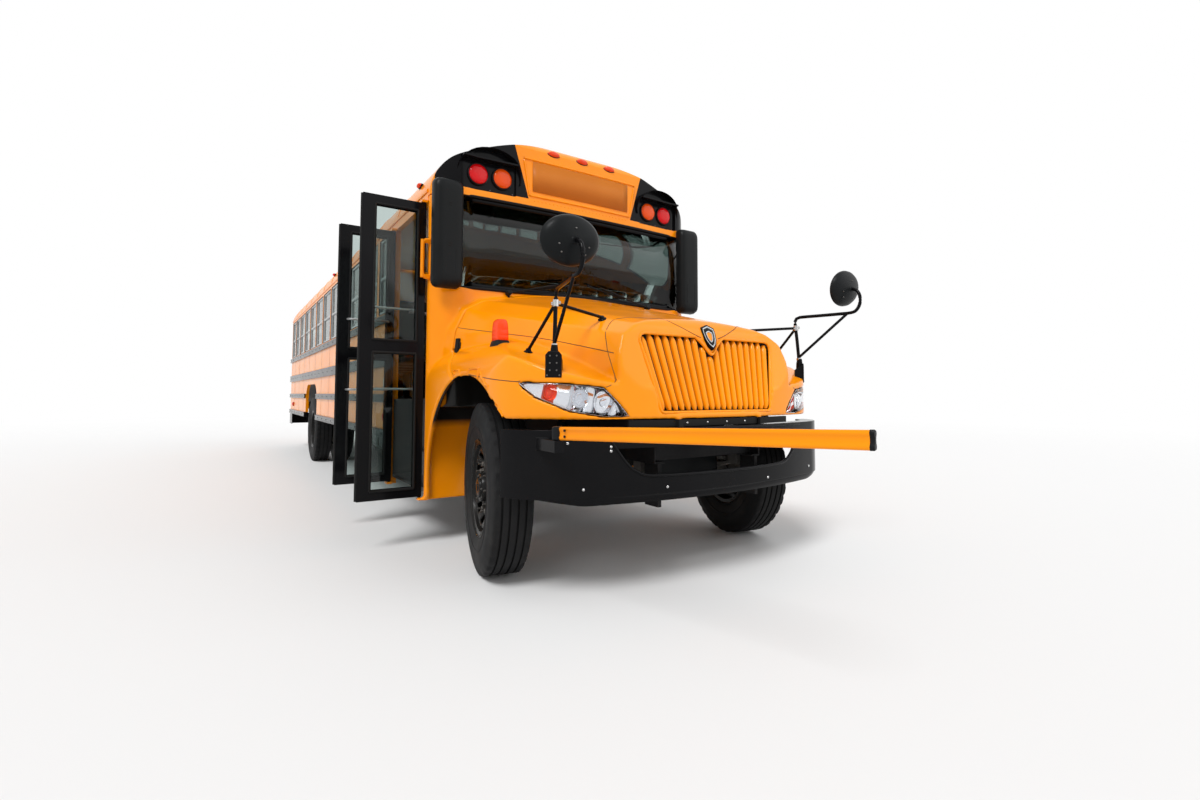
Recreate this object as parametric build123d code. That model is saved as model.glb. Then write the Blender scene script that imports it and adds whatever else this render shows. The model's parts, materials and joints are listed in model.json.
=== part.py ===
from build123d import *
import math
import os

# School bus with a bonnet, an entrance on the curb side and twin rear tyres, in millimetres.
# +X runs forward, +Y to the driver's side and +Z up from the ground. Stations are
# written from the front axle's centre line, and every piece is moved by ORIGIN_SHIFT at the end.

# Overall places
ORIGIN_SHIFT = 4020.0
REAR_AXLE_X = -7087.0
BODY_REAR_X = -10253.0
PILLAR_X = -865.0

# Body section
BODY_HALF = 1219.0
WALL = 45.0
SKIRT_Z = 769.0
EAVE_Z = 2576.0
ROOF_Z = 3100.0
ROOF_CORNER_R = 300.0
ROOF_CROWN_R = 2300.0
FLOOR_Z = 1040.0
FLOOR_THICK = 50.0
SILL_DEPTH = 40.0
SILL_XS = (-1990.0, -3060.0, -4130.0, -5200.0, -6270.0, -7900.0, -8900.0, -9900.0)

# Windows
WINDOW_PITCH = 711.0
WINDOW_W = 642.0
WINDOW_LOW_Z = 1822.0
WINDOW_TOP_Z = 2543.0
WINDOW_MID_Z = 2163.0
SASH = 30.0
SASH_DEPTH = 30.0
SASH_SET_IN = 6.0
GLASS = 6.0
LEFT_BAYS = 12
RIGHT_BAYS = 11
NARROW_WINDOW_W = 420.0
DRIVER_WINDOW_W = 690.0

# Rub rails: name, low Z, high Z
RAIL_TABLE = (
    ("belt", 1723.0, 1804.0),
    ("seat", 1327.0, 1448.0),
    ("floor", 1007.0, 1085.0),
    ("skirt", 689.0, 769.0),
)
RAIL_PROUD = 22.0

# Rear end
REAR_DOOR_HALF = 470.0
REAR_DOOR_LOW_Z = 1050.0
REAR_DOOR_TOP_Z = 2560.0
REAR_DOOR_GAP = 9.0
REAR_DOOR_THICK = 38.0
REAR_WINDOW_IN_Y = 590.0
REAR_WINDOW_OUT_Y = BODY_HALF - 129.0
REAR_HINGE_PROUD = 24.0
REAR_PIN_R = 15.0
REAR_HINGE_ZS = (1260.0, 1600.0, 2380.0)
REAR_LIGHT_HALF = 370.0
REAR_LIGHTS = ((1180.0, 1530.0), (1780.0, 2450.0))
REAR_POST = 90.0
TAIL_LAMP_Z = 1206.0
STOP_LAMP_Y = BODY_HALF - 234.0
TAIL_TURN_Y = BODY_HALF - 439.0
PLATE_Y = BODY_HALF - 369.0
PLATE_Z = 965.0
PLATE_HOLES_Y = 178.0
PLATE_HOLE_R = 3.5

# Wheels and tyres
TYRE_R = 515.0
TYRE_W = 254.0
TREAD_W = 206.0
SIDEWALL_R = 430.0
BEAD_R = 286.0
BEAD_W = 208.0
RIM_THICK = 14.0
TWIN_PITCH = 324.0
FRONT_HALF_TRACK = BODY_HALF - 195.0
REAR_HALF_TRACK = BODY_HALF - 307.0
KINGPIN_Y = FRONT_HALF_TRACK - 119.0
KINGPIN_R = 20.0
SPINDLE_R = 34.0
REAR_SPINDLE_R = 45.0
RUN_CLEAR = 0.05
WHEEL_SIDES = 36
HUB_SIDES = 16
BAR_SIDES = 8
LENS_SIDES = 20
REST_STEER = -12.0
HUB_R = 92.0
HUB_OUT = 118.0
REAR_HUB_R = 112.0

# Chassis
RAIL_TOP_Z = 950.0
RAIL_DEPTH = 254.0
RAIL_OUT_Y = 432.0
RAIL_FLANGE = 76.0
RAIL_STEEL = 10.0
FRAME_REAR_X = -10150.0
FRAME_FRONT_X = 800.0
CROSS_W = 90.0
CROSS_XS = (640.0, -1520.0, -3050.0, -4600.0, -6150.0, -7950.0, -9100.0, -10095.0)
BEAM_HALF_W = 45.0
AXLE_TUBE_R = 60.0
TOW_EYE_R = 22.0
TOW_PLATE = 26.0
TOW_Y = 395.0
TOW_Z = 505.0
TOW_EDGE = 50.0
TOW_X = 745.0
SPRING_IN_Y = 356.0
FRONT_SEAT_Z = 500.0
REAR_SEAT_Z = 590.0

# Rear wheel arch
ARCH_HALF = 669.0
ARCH_TOP_Z = 1237.0
ARCH_CORNER = 300.0
WELL_IN_Y = BODY_HALF - 634.0
WELL_SKIN = 12.0

# Entrance
DOOR_REAR_X = -1797.0
DOOR_POST_X = -1909.0
DOOR_TOP_Z = 2510.0
DOOR_LOW_Z = 320.0
HINGE_Y = -BODY_HALF - 21.0
FRONT_HINGE_X = -887.0
REAR_HINGE_X = -1770.0
LEAF_LEN = 428.0
LEAF_THICK = 36.0
LEAF_LOW_Z = 348.0
LEAF_TOP_Z = 2490.0
LEAF_EDGE_STILE = 84.0
LEAF_HINGE_STILE = 58.0
LEAF_RAIL = 64.0
LEAF_MID_Z = 1420.0
LEAF_MID_H = 90.0
PIVOT_R = 13.0
BEARING_GAP = 8.0
BEARING_H = 18.0
LOW_BEARING_Z = LEAF_LOW_Z - BEARING_GAP - BEARING_H
STEP_IN_Y = 659.0 - BODY_HALF
STEP_RISE = 213.0
STEP_SKIN = 25.0

# Hood
HOOD_REAR_X = -620.0
HOOD_THICK = 22.0
HOOD_LOW_Z = 948.0
BONNET_NOSE_X = 800.0
BONNET_NOSE_HALF = 700.0
BONNET_REAR_Z = 1862.0
BONNET_NOSE_Z = 1520.0
BONNET_CROWN_R = 4200.0
LAMP_SHELL_X = 340.0
NOSE_X = 910.0
NOSE_LOW_Z = HOOD_LOW_Z - 40.0
LEAN_X = 801.0
LEAN_Z = 1405.0
ROLL_X = 605.0
ROLL_Z = 1571.0
ARCH_X = -95.0
ARCH_Z = 475.0
ARCH_R = 725.0
SEAM_GAP = 7.0
GRILLE_BARS = 19
GRILLE_TOP_HALF = 536.0
GRILLE_LOW_HALF = 444.0
GRILLE_TOP_Z = 1425.0
GRILLE_LOW_Z = 989.0
GRILLE_DIP = 110.0
GRILLE_CORNER = 40.0
GRILLE_FILL = 0.62
GRILLE_SET_IN = 20.0
GRILLE_DEPTH = 26.0
HOOD_PIVOT_X = 895.0
HOOD_PIVOT_Z = 926.0
HOOD_PIVOT_Y = 330.0
HOOD_LUG_R = 14.0

# Front bumper
BUMPER_LOW_Z = 552.0
BUMPER_TOP_Z = 903.0
BUMPER_STEEL = 12.0
BUMPER_FLANGE = 95.0
BUMPER_SLOT = ((560.0, 655.0), (640.0, 690.0), (720.0, 800.0))

# Windshield and front cap
SHIELD_LOW_Z = 1865.0
SHIELD_TOP_Z = 2550.0
SHIELD_HALF = BODY_HALF - 94.0
FRONT_MID_X = -660.0
COWL_WALL = 40.0
CAP_SKIN = 45.0

# Warning lamps
LAMP_Z = 2728.0
LAMP_R = 87.0
LAMP_PROUD = 34.0
RED_LAMP_Y = BODY_HALF - 322.0
AMBER_LAMP_Y = BODY_HALF - 512.0
PANEL_IN_Y = BODY_HALF - 619.0
PANEL_OUT_Y = BODY_HALF - 184.0
PANEL_LOW_Z = 2605.0
PANEL_TOP_Z = 2850.0
PANEL_SET_IN = 20.0
PANEL_SHEET = 4.0
PANEL_PROUD = 5.0
VISOR_OUT = 60.0
CORNER_LOW_Z = 2612.0
CORNER_REAR_X = -790.0
SIGN_LOW_Y = BODY_HALF - 726.0
SIGN_TOP_Y = BODY_HALF - 582.0
PANEL_SPANS = ((-PANEL_OUT_Y, -PANEL_IN_Y), (PANEL_IN_Y, PANEL_OUT_Y))

# Stop arm and crossing arm
STOP_X = -1380.0
STOP_Y = BODY_HALF + 43.0
STOP_Z = 1565.0
STOP_FLATS = 457.0
STOP_SHEET = 5.0
ARM_X = 880.0
ARM_Y = 122.0 - BODY_HALF
ARM_Z = 896.0
ARM_LEN = 1455.0
ARM_RISE = 49.0
ARM_H = 66.0
ARM_THICK = 26.0
ARM_REST = 12.6

# Seats
SEAT_ROWS = 11
SEAT_FIRST_X = -2560.0
SEAT_PITCH = 690.0
SEAT_IN_Y = 170.0
SEAT_OUT_Y = BODY_HALF - WALL
SEAT_LOW_Z = 1390.0
SEAT_TOP_Z = 1480.0
SEAT_BACK_Z = 2100.0
WHEEL_Y = BODY_HALF - 599.0
WHEEL_X = -1215.0
WHEEL_Z = 1735.0
WHEEL_LEAN = 28.0
WHEEL_R = 228.0
RING_SIDES = 32
GUARD_X = -1850.0
GUARD_Y = STEP_IN_Y + 20.0
GUARD_TOP_Z = 2190.0
MIRROR_X = -635.0
MIRROR_W = 217.0
MIRROR_Y = BODY_HALF - 78.0
MIRROR_LOW_Z = 1836.0
MIRROR_TOP_Z = 2620.0


def block(x0, x1, y0, y1, z0, z1):
    """Box between two corners."""
    return Pos((x0 + x1) / 2, (y0 + y1) / 2, (z0 + z1) / 2) * Box(x1 - x0, y1 - y0, z1 - z0)


def outline(points):
    """Face through straight runs in a plane's own x and y."""
    return make_face(Polyline(*points, close=True))


def along_x(face, x0, x1):
    """Face drawn in (Y, Z), extruded from x0 to x1."""
    return extrude(Plane.YZ.offset(x0) * face, amount=x1 - x0)


def along_y(face, y0, y1):
    """Face drawn in (X, Z), extruded from y0 to y1."""
    return extrude(Plane.XZ.offset(-y0) * face, amount=-(y1 - y0))


def along_z(face, z0, z1):
    """Face drawn in (X, Y), extruded from z0 to z1."""
    return extrude(Plane.XY.offset(z0) * face, amount=z1 - z0)


def rod(start, end, radius):
    """Round bar between two points."""
    a, b = Vector(*start), Vector(*end)
    return extrude(Plane(origin=a, z_dir=b - a) * Circle(radius), amount=(b - a).length)


def bar(start, end, radius, sides=BAR_SIDES):
    """Tube between two points, drawn with a few flats because there are many of them."""
    a, b = Vector(*start), Vector(*end)
    return extrude(Plane(origin=a, z_dir=b - a) * RegularPolygon(radius, sides), amount=(b - a).length)


def turned(points, x, y, z):
    """Ring about a line along Y from (radius, y) points, in flats with one flat straight below."""
    step = 2 * math.pi / WHEEL_SIDES
    grow = 1 / math.cos(step / 2)

    def place(index, radius, offset):
        angle = (index + 0.5) * step - math.pi / 2
        return (radius * grow * math.cos(angle), offset, radius * grow * math.sin(angle))

    faces = []
    for i in range(WHEEL_SIDES):
        for (r0, y0), (r1, y1) in zip(points, points[1:] + points[:1]):
            corners = [place(i, r0, y0), place(i, r1, y1), place(i + 1, r1, y1), place(i + 1, r0, y0)]
            faces.append(Face(Wire.make_polygon(corners)))
    return Pos(x, y, z) * Solid(Shell(faces))


def mirror_y(part):
    """Copy on the other side of the centre plane."""
    return mirror(part, about=Plane.XZ)


def merged(pieces):
    """Union of a list of pieces."""
    return Part() + pieces


def both(part):
    """Part with its mirror image."""
    return merged([part, mirror_y(part)])


def cross_section(inset):
    """Body's section in (Y, Z), from below the skirt to the roof, drawn in by inset."""
    half = BODY_HALF - inset
    crown = ROOF_CROWN_R - inset
    corner = ROOF_CORNER_R - inset
    crown_z = ROOF_Z - ROOF_CROWN_R
    corner_y = BODY_HALF - ROOF_CORNER_R
    corner_z = crown_z + math.sqrt((ROOF_CROWN_R - ROOF_CORNER_R) ** 2 - corner_y**2)
    rise = math.atan2(corner_z - crown_z, corner_y)
    meet_y = crown * math.cos(rise)
    meet_z = crown_z + crown * math.sin(rise)
    bend_y = corner_y + corner * math.cos(rise / 2)
    bend_z = corner_z + corner * math.sin(rise / 2)
    base = 300.0
    return make_face(
        [
            Line((half, base), (half, corner_z)),
            ThreePointArc((half, corner_z), (bend_y, bend_z), (meet_y, meet_z)),
            ThreePointArc((meet_y, meet_z), (0, crown_z + crown), (-meet_y, meet_z)),
            ThreePointArc((-meet_y, meet_z), (-bend_y, bend_z), (-half, corner_z)),
            Line((-half, corner_z), (-half, base)),
            Line((-half, base), (half, base)),
        ]
    )


def body_tube(inset, x0, x1):
    """Length of the body's section, filled."""
    return along_x(cross_section(inset), x0, x1)


def front_plan(inset):
    """Curved front of the body in (X, Y), closed at the pillars, drawn in by inset."""
    mid = FRONT_MID_X - inset
    flank_x, flank_y = mid - 30.0, BODY_HALF - 289.0
    bend_x, bend_y = FRONT_MID_X - 75.0 - 0.7 * inset, BODY_HALF - 79.0 - 0.7 * inset
    end_x, half = FRONT_MID_X - 165.0, BODY_HALF - inset
    rear = PILLAR_X
    return make_face(
        [
            Line((rear, -half), (end_x, -half)),
            ThreePointArc((end_x, -half), (bend_x, -bend_y), (flank_x, -flank_y)),
            ThreePointArc((flank_x, -flank_y), (mid, 0), (flank_x, flank_y)),
            ThreePointArc((flank_x, flank_y), (bend_x, bend_y), (end_x, half)),
            Line((end_x, half), (rear, half)),
            Line((rear, half), (rear, -half)),
        ]
    )


def front_band(outer, inner, z0, z1):
    """Wall that follows the curved front, between two insets."""
    return along_z(front_plan(outer), z0, z1) - along_z(front_plan(inner), z0 - 1, z1 + 1)


def wheel_arch(grow):
    """Rear wheel arch opening in (X, Z), made larger by grow."""
    half = ARCH_HALF + grow
    top = ARCH_TOP_Z + grow
    corner = ARCH_CORNER + grow
    hip = corner * (1 - math.cos(math.pi / 4))
    low = 300.0
    x = REAR_AXLE_X
    return make_face(
        [
            Line((x - half, low), (x - half, top - corner)),
            ThreePointArc((x - half, top - corner), (x - half + hip, top - hip), (x - half + corner, top)),
            Line((x - half + corner, top), (x + half - corner, top)),
            ThreePointArc((x + half - corner, top), (x + half - hip, top - hip), (x + half, top - corner)),
            Line((x + half, top - corner), (x + half, low)),
            Line((x + half, low), (x - half, low)),
        ]
    )


# Body shell


def window_bays(side):
    """Middle X and width of each side window, +1 for the driver's side."""
    bays = LEFT_BAYS if side > 0 else RIGHT_BAYS
    rear_edge, next_edge = BODY_REAR_X + REAR_POST, BODY_REAR_X + (WINDOW_PITCH + WINDOW_W) / 2
    places = [((rear_edge + next_edge) / 2, next_edge - rear_edge)]
    places += [(BODY_REAR_X + (i + 0.5) * WINDOW_PITCH, WINDOW_W) for i in range(1, bays)]
    last = BODY_REAR_X + bays * WINDOW_PITCH
    if side > 0:
        places.append(((last + PILLAR_X) / 2, DRIVER_WINDOW_W))
    else:
        places.append(((last + DOOR_POST_X) / 2, NARROW_WINDOW_W))
    return places


def side_wall(side):
    """Side wall with its window and wheel arch openings."""
    y0, y1 = sorted((side * BODY_HALF, side * (BODY_HALF - WALL)))
    wall = block(BODY_REAR_X + WALL, PILLAR_X, y0, y1, SKIRT_Z, EAVE_Z)
    wall -= [
        block(x - w / 2, x + w / 2, y0 - 1, y1 + 1, WINDOW_LOW_Z, WINDOW_TOP_Z)
        for x, w in window_bays(side)
    ]
    wall -= along_y(wheel_arch(0), y0 - 1, y1 + 1)
    return wall


def right_wall():
    """Curb side wall, with the entrance's opening, its rear post and the leaves' bearings."""
    wall = side_wall(-1)
    wall -= block(DOOR_REAR_X, PILLAR_X + 1, -BODY_HALF - 1, -BODY_HALF + WALL + 1, SKIRT_Z - 1, DOOR_TOP_Z)
    wall += block(DOOR_POST_X, DOOR_REAR_X, -BODY_HALF, -BODY_HALF + WALL, DOOR_LOW_Z, SKIRT_Z)
    wall += bearing(DOOR_REAR_X - 33, REAR_HINGE_X + 22, LOW_BEARING_Z)
    wall += bearing(DOOR_REAR_X - 33, REAR_HINGE_X + 22, LEAF_TOP_Z + BEARING_GAP)
    wall += bearing(FRONT_HINGE_X - 22, PILLAR_X, LEAF_TOP_Z + BEARING_GAP)
    return wall


def bearing(x0, x1, low_z):
    """Block on the wall's outer face that holds one pivot of a leaf."""
    return block(x0, x1, HINGE_Y - 22, -BODY_HALF, low_z, low_z + BEARING_H)


def rear_wall():
    """End wall with the emergency door's opening, two windows and the plate's screw holes."""
    x0, x1 = BODY_REAR_X, BODY_REAR_X + WALL
    half = REAR_DOOR_HALF + REAR_DOOR_GAP
    wall = body_tube(0, x0, x1)
    wall -= block(x0 - 1, x1 + 1, -2000, 2000, 0, SKIRT_Z)
    low, top = REAR_DOOR_LOW_Z - REAR_DOOR_GAP, REAR_DOOR_TOP_Z + REAR_DOOR_GAP
    wall -= block(x0 - 1, x1 + 1, -half, half, low, top)
    for side in (-1, 1):
        a, b = sorted((side * REAR_WINDOW_IN_Y, side * REAR_WINDOW_OUT_Y))
        wall -= block(x0 - 1, x1 + 1, a, b, WINDOW_LOW_Z, WINDOW_TOP_Z - 60)
    for dy in (-PLATE_HOLES_Y / 2, PLATE_HOLES_Y / 2):
        wall -= rod((x0 - 1, PLATE_Y + dy, PLATE_Z), (x1 + 1, PLATE_Y + dy, PLATE_Z), PLATE_HOLE_R)
    hinge_y = -half - 26
    for z in REAR_HINGE_ZS:
        wall += block(x0 - REAR_HINGE_PROUD, x0, hinge_y - 10, hinge_y + 10, z - 40, z)
        wall += bar((x0 - REAR_HINGE_PROUD, hinge_y, z - 40), (x0 - REAR_HINGE_PROUD, hinge_y, z), REAR_PIN_R)
    return wall


def rear_door():
    """Emergency door with two lights, its hinge straps and handle."""
    x0 = BODY_REAR_X
    door = block(x0, x0 + REAR_DOOR_THICK, -REAR_DOOR_HALF, REAR_DOOR_HALF, REAR_DOOR_LOW_Z, REAR_DOOR_TOP_Z)
    for low, top in REAR_LIGHTS:
        door -= block(x0 - 1, x0 + 100, -REAR_LIGHT_HALF, REAR_LIGHT_HALF, low, top)
    pin_x, pin_y = x0 - REAR_HINGE_PROUD, -REAR_DOOR_HALF - REAR_DOOR_GAP - 26
    for z in REAR_HINGE_ZS:
        door += bar((pin_x, pin_y, z), (pin_x, pin_y, z + 50), REAR_PIN_R)
        door += block(pin_x - 7, pin_x + 7, pin_y, -REAR_DOOR_HALF + 60, z, z + 50)
        door += block(pin_x - 7, x0, -REAR_DOOR_HALF + 8, -REAR_DOOR_HALF + 60, z, z + 50)
    handle_z = 1640.0
    door += block(x0 - 40, x0, REAR_DOOR_HALF - 90, REAR_DOOR_HALF - 65, handle_z - 12, handle_z + 12)
    door += block(x0 - 40, x0 - 22, REAR_DOOR_HALF - 260, REAR_DOOR_HALF - 65, handle_z - 12, handle_z + 12)
    return door


def rear_door_glass():
    """Panes of the emergency door."""
    x = BODY_REAR_X + REAR_DOOR_THICK / 2
    half = REAR_LIGHT_HALF
    return merged([block(x - GLASS / 2, x + GLASS / 2, -half, half, low, top) for low, top in REAR_LIGHTS])


def roof():
    """Roof from the eaves up."""
    x0, x1 = BODY_REAR_X + WALL, PILLAR_X
    shell = body_tube(0, x0, x1) - body_tube(WALL, x0 - 1, x1 + 1)
    return shell - block(x0 - 1, x1 + 1, -2000, 2000, 0, EAVE_Z)


def cap_form(inset, x0):
    """Header over the windshield, rounded at its upper edge, drawn in by inset."""
    top = ROOF_Z - inset
    front = FRONT_MID_X + 60.0
    profile = make_face(
        [
            Line((x0, SHIELD_TOP_Z), (front, SHIELD_TOP_Z)),
            Line((front, SHIELD_TOP_Z), (front, top - 130)),
            Line((front, top - 130), (FRONT_MID_X - inset, top - 130)),
            ThreePointArc(
                (FRONT_MID_X - inset, top - 130),
                (FRONT_MID_X - 45 - inset, top - 45),
                (FRONT_MID_X - 160, top),
            ),
            Line((FRONT_MID_X - 160, top), (x0, top)),
            Line((x0, top), (x0, SHIELD_TOP_Z)),
        ]
    )
    solid = along_y(profile, -BODY_HALF, BODY_HALF)
    solid &= along_z(front_plan(inset), SHIELD_TOP_Z, ROOF_Z)
    return solid & body_tube(inset, PILLAR_X - 1, FRONT_MID_X + 61)


def lamp_recess(outer, inner):
    """Band behind the front's surface where the warning lamps sit."""
    band = front_band(outer, inner, PANEL_LOW_Z, PANEL_TOP_Z)
    return band & merged([block(-900, -500, s, t, 0, 4000) for s, t in PANEL_SPANS])


def front_cap():
    """Yellow middle and rear edge of the header, open to the rear."""
    return header() - cap_corners()


def header():
    """Whole header over the windshield, hollow, with its lamp recesses."""
    cap = cap_form(0, PILLAR_X)
    hollow = cap_form(CAP_SKIN, PILLAR_X - 1) - block(-900, -500, -2000, 2000, 0, SHIELD_TOP_Z + 34)
    return cap - hollow - lamp_recess(-1, PANEL_SET_IN + PANEL_SHEET)


def cap_corners():
    """Room of the black corners outside the sign, front end."""
    slope = (SIGN_TOP_Y - SIGN_LOW_Y) / (ROOF_Z - CORNER_LOW_Z)
    top_y = SIGN_LOW_Y + slope * (ROOF_Z + 1 - CORNER_LOW_Z)
    out_y = BODY_HALF + 1
    corner = [(SIGN_LOW_Y, CORNER_LOW_Z), (out_y, CORNER_LOW_Z), (out_y, ROOF_Z + 1), (top_y, ROOF_Z + 1)]
    return both(along_x(outline(corner), CORNER_REAR_X, FRONT_MID_X + 61))


def lamp_panels():
    """Black corners of the header with recessed panels and visors, and the panels of the rear end."""
    front = lamp_recess(PANEL_SET_IN, PANEL_SET_IN + PANEL_SHEET) & body_tube(2, -900, -500)
    visor = front_band(-52, PANEL_SET_IN, PANEL_TOP_Z - 22, PANEL_TOP_Z - 8)
    visor &= merged([block(-900, -500, s + 4, t - 4, 0, 4000) for s, t in PANEL_SPANS])
    visor &= body_tube(2, -900, -500)
    face, top = BODY_REAR_X - PANEL_PROUD, PANEL_TOP_Z - 16
    rear = merged(
        [
            block(face, BODY_REAR_X, s, t, PANEL_LOW_Z, top)
            + block(BODY_REAR_X - VISOR_OUT, face, s, t, top - 14, top)
            for s, t in PANEL_SPANS
        ]
    )
    return merged([header() & cap_corners(), front + visor, rear])


def lens(x0, x1, y, z):
    """Round lens along X."""
    seat = Plane(origin=(x0, y, z), z_dir=(1, 0, 0))
    return extrude(seat * RegularPolygon(LAMP_R, LENS_SIDES), amount=x1 - x0)


def lamp_row(lamps):
    """Round lenses: (y, z, 1 for the front or -1 for the rear, depth of the panel behind)."""
    lenses = []
    for y, z, end, behind in lamps:
        for side in (-1, 1):
            if end > 0:
                front = lens(-760, FRONT_MID_X - 30 + LAMP_PROUD, side * y, z)
                lenses.append(front - along_z(front_plan(PANEL_SET_IN), z - 200, z + 200))
            else:
                x = BODY_REAR_X - behind
                lenses.append(lens(x - LAMP_PROUD, x, side * y, z))
    return merged(lenses)


def red_lamps():
    """Outer warning lamps, front and rear, and the stop lamps."""
    y, z = RED_LAMP_Y, LAMP_Z
    return lamp_row(((y, z, 1, 0), (y, z, -1, PANEL_PROUD), (STOP_LAMP_Y, TAIL_LAMP_Z, -1, 0)))


def amber_lamps():
    """Inner warning lamps, front and rear, and the rear turn lamps."""
    y, z = AMBER_LAMP_Y, LAMP_Z
    return lamp_row(((y, z, 1, 0), (y, z, -1, PANEL_PROUD), (TAIL_TURN_Y, TAIL_LAMP_Z, -1, 0)))


def window_sashes():
    """Split sash frames that fill the side windows' openings."""
    frames = []
    for side in (-1, 1):
        y0, y1 = sorted((side * (BODY_HALF - SASH_SET_IN), side * (BODY_HALF - SASH_SET_IN - SASH_DEPTH)))
        for x, w in window_bays(side):
            frame = block(x - w / 2, x + w / 2, y0, y1, WINDOW_LOW_Z, WINDOW_TOP_Z)
            for low, top in pane_spans():
                frame -= block(x - w / 2 + SASH, x + w / 2 - SASH, y0 - 1, y1 + 1, low, top)
            frames.append(frame)
    return merged(frames)


def pane_spans():
    """Low and high Z of the lower and the upper pane of a side window."""
    return ((WINDOW_LOW_Z + SASH, WINDOW_MID_Z - SASH / 2), (WINDOW_MID_Z + SASH / 2, WINDOW_TOP_Z - SASH))


def window_glass():
    """Panes of the side windows and of the two rear windows."""
    panes = []
    for side in (-1, 1):
        mid = side * (BODY_HALF - SASH_SET_IN - SASH_DEPTH / 2)
        in_y, out_y = mid - GLASS / 2, mid + GLASS / 2
        for x, w in window_bays(side):
            half = w / 2 - SASH
            panes += [block(x - half, x + half, in_y, out_y, low, top) for low, top in pane_spans()]
        a, b = sorted((side * REAR_WINDOW_IN_Y, side * REAR_WINDOW_OUT_Y))
        x = BODY_REAR_X + 12
        panes.append(block(x, x + GLASS, a, b, WINDOW_LOW_Z, WINDOW_TOP_Z - 60))
    return merged(panes)


def rub_rails():
    """Bars along the sides and across the rear end, broken by the arches and doors."""
    bars = []
    gap = 30.0
    for name, low, top in RAIL_TABLE:
        for side in (-1, 1):
            y0, y1 = sorted((side * BODY_HALF, side * (BODY_HALF + RAIL_PROUD)))
            front = PILLAR_X if side > 0 else DOOR_POST_X
            spans = [(BODY_REAR_X, front)]
            if name in ("floor", "skirt"):
                spans = [
                    (BODY_REAR_X, REAR_AXLE_X - ARCH_HALF - gap),
                    (REAR_AXLE_X + ARCH_HALF + gap, front),
                ]
            if name == "skirt":
                y0, y1 = sorted((side * (BODY_HALF - WALL), side * (BODY_HALF + RAIL_PROUD)))
            for a, b in spans:
                bars.append(block(a, b, y0, y1, low, top))
            if name in ("belt", "seat"):
                a, b = sorted((side * (REAR_DOOR_HALF + 75), side * BODY_HALF))
                bars.append(block(BODY_REAR_X - RAIL_PROUD, BODY_REAR_X, a, b, low, top))
    return merged(bars)


def roof_hatches():
    """Two emergency hatches on the roof."""
    lids = []
    for x in (-3500.0, -8000.0):
        lid = block(x - 330, x + 330, -330, 330, ROOF_Z - 60, ROOF_Z + 30)
        lid += block(x - 280, x + 280, -280, 280, ROOF_Z + 30, ROOF_Z + 55)
        lids.append(lid)
    return merged(lids) - body_tube(0, -9000, -3000)


# Floor, steps and wheelhouses


def body_floor():
    """Floor with its cross sills, rear wheelhouses and the entrance's stepwell."""
    in_y = BODY_HALF - WALL
    x0, x1 = BODY_REAR_X + WALL, PILLAR_X
    low = FLOOR_Z - FLOOR_THICK
    floor = block(x0, x1, -in_y, in_y, low, FLOOR_Z)
    for x in SILL_XS:
        floor += block(x - 35, x + 35, -in_y, in_y, low - SILL_DEPTH, low)
    for side in (-1, 1):
        a, b = sorted((side * (WELL_IN_Y - WELL_SKIN), side * in_y))
        c, d = sorted((side * WELL_IN_Y, side * (in_y + 1)))
        housing = along_y(wheel_arch(WELL_SKIN), a, b)
        housing -= block(x0, x1, -2000, 2000, 0, low - SILL_DEPTH)
        floor += housing
        floor -= along_y(wheel_arch(0), c, d)
    floor -= block(DOOR_REAR_X, PILLAR_X + 1, -in_y - 1, STEP_IN_Y + STEP_SKIN, low - 60, FLOOR_Z + 1)
    return floor + stepwell()


def stepwell():
    """Three steps between the doorway and the floor, with closed ends."""
    depth = (BODY_HALF - 14 + STEP_IN_Y) / 3
    y0 = -BODY_HALF + 14
    z0 = FLOOR_Z - 3 * STEP_RISE
    tops = [(y0, z0)]
    unders = [(y0, z0 - STEP_SKIN)]
    for i in range(1, 4):
        y = y0 + i * depth
        tops += [(y, z0 + (i - 1) * STEP_RISE), (y, z0 + i * STEP_RISE)]
        unders += [
            (y + STEP_SKIN, z0 + (i - 1) * STEP_RISE - STEP_SKIN),
            (y + STEP_SKIN, z0 + i * STEP_RISE - (STEP_SKIN if i < 3 else 0)),
        ]
    stairs = along_x(outline(tops + unders[::-1]), DOOR_REAR_X, PILLAR_X)
    cheek = outline([(y0, z0 - STEP_SKIN), (STEP_IN_Y, z0 - STEP_SKIN), (STEP_IN_Y, FLOOR_Z), (y0, FLOOR_Z)])
    return stairs + along_x(cheek, DOOR_REAR_X, DOOR_REAR_X + 12) + along_x(cheek, PILLAR_X - 12, PILLAR_X)


# Hood


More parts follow.
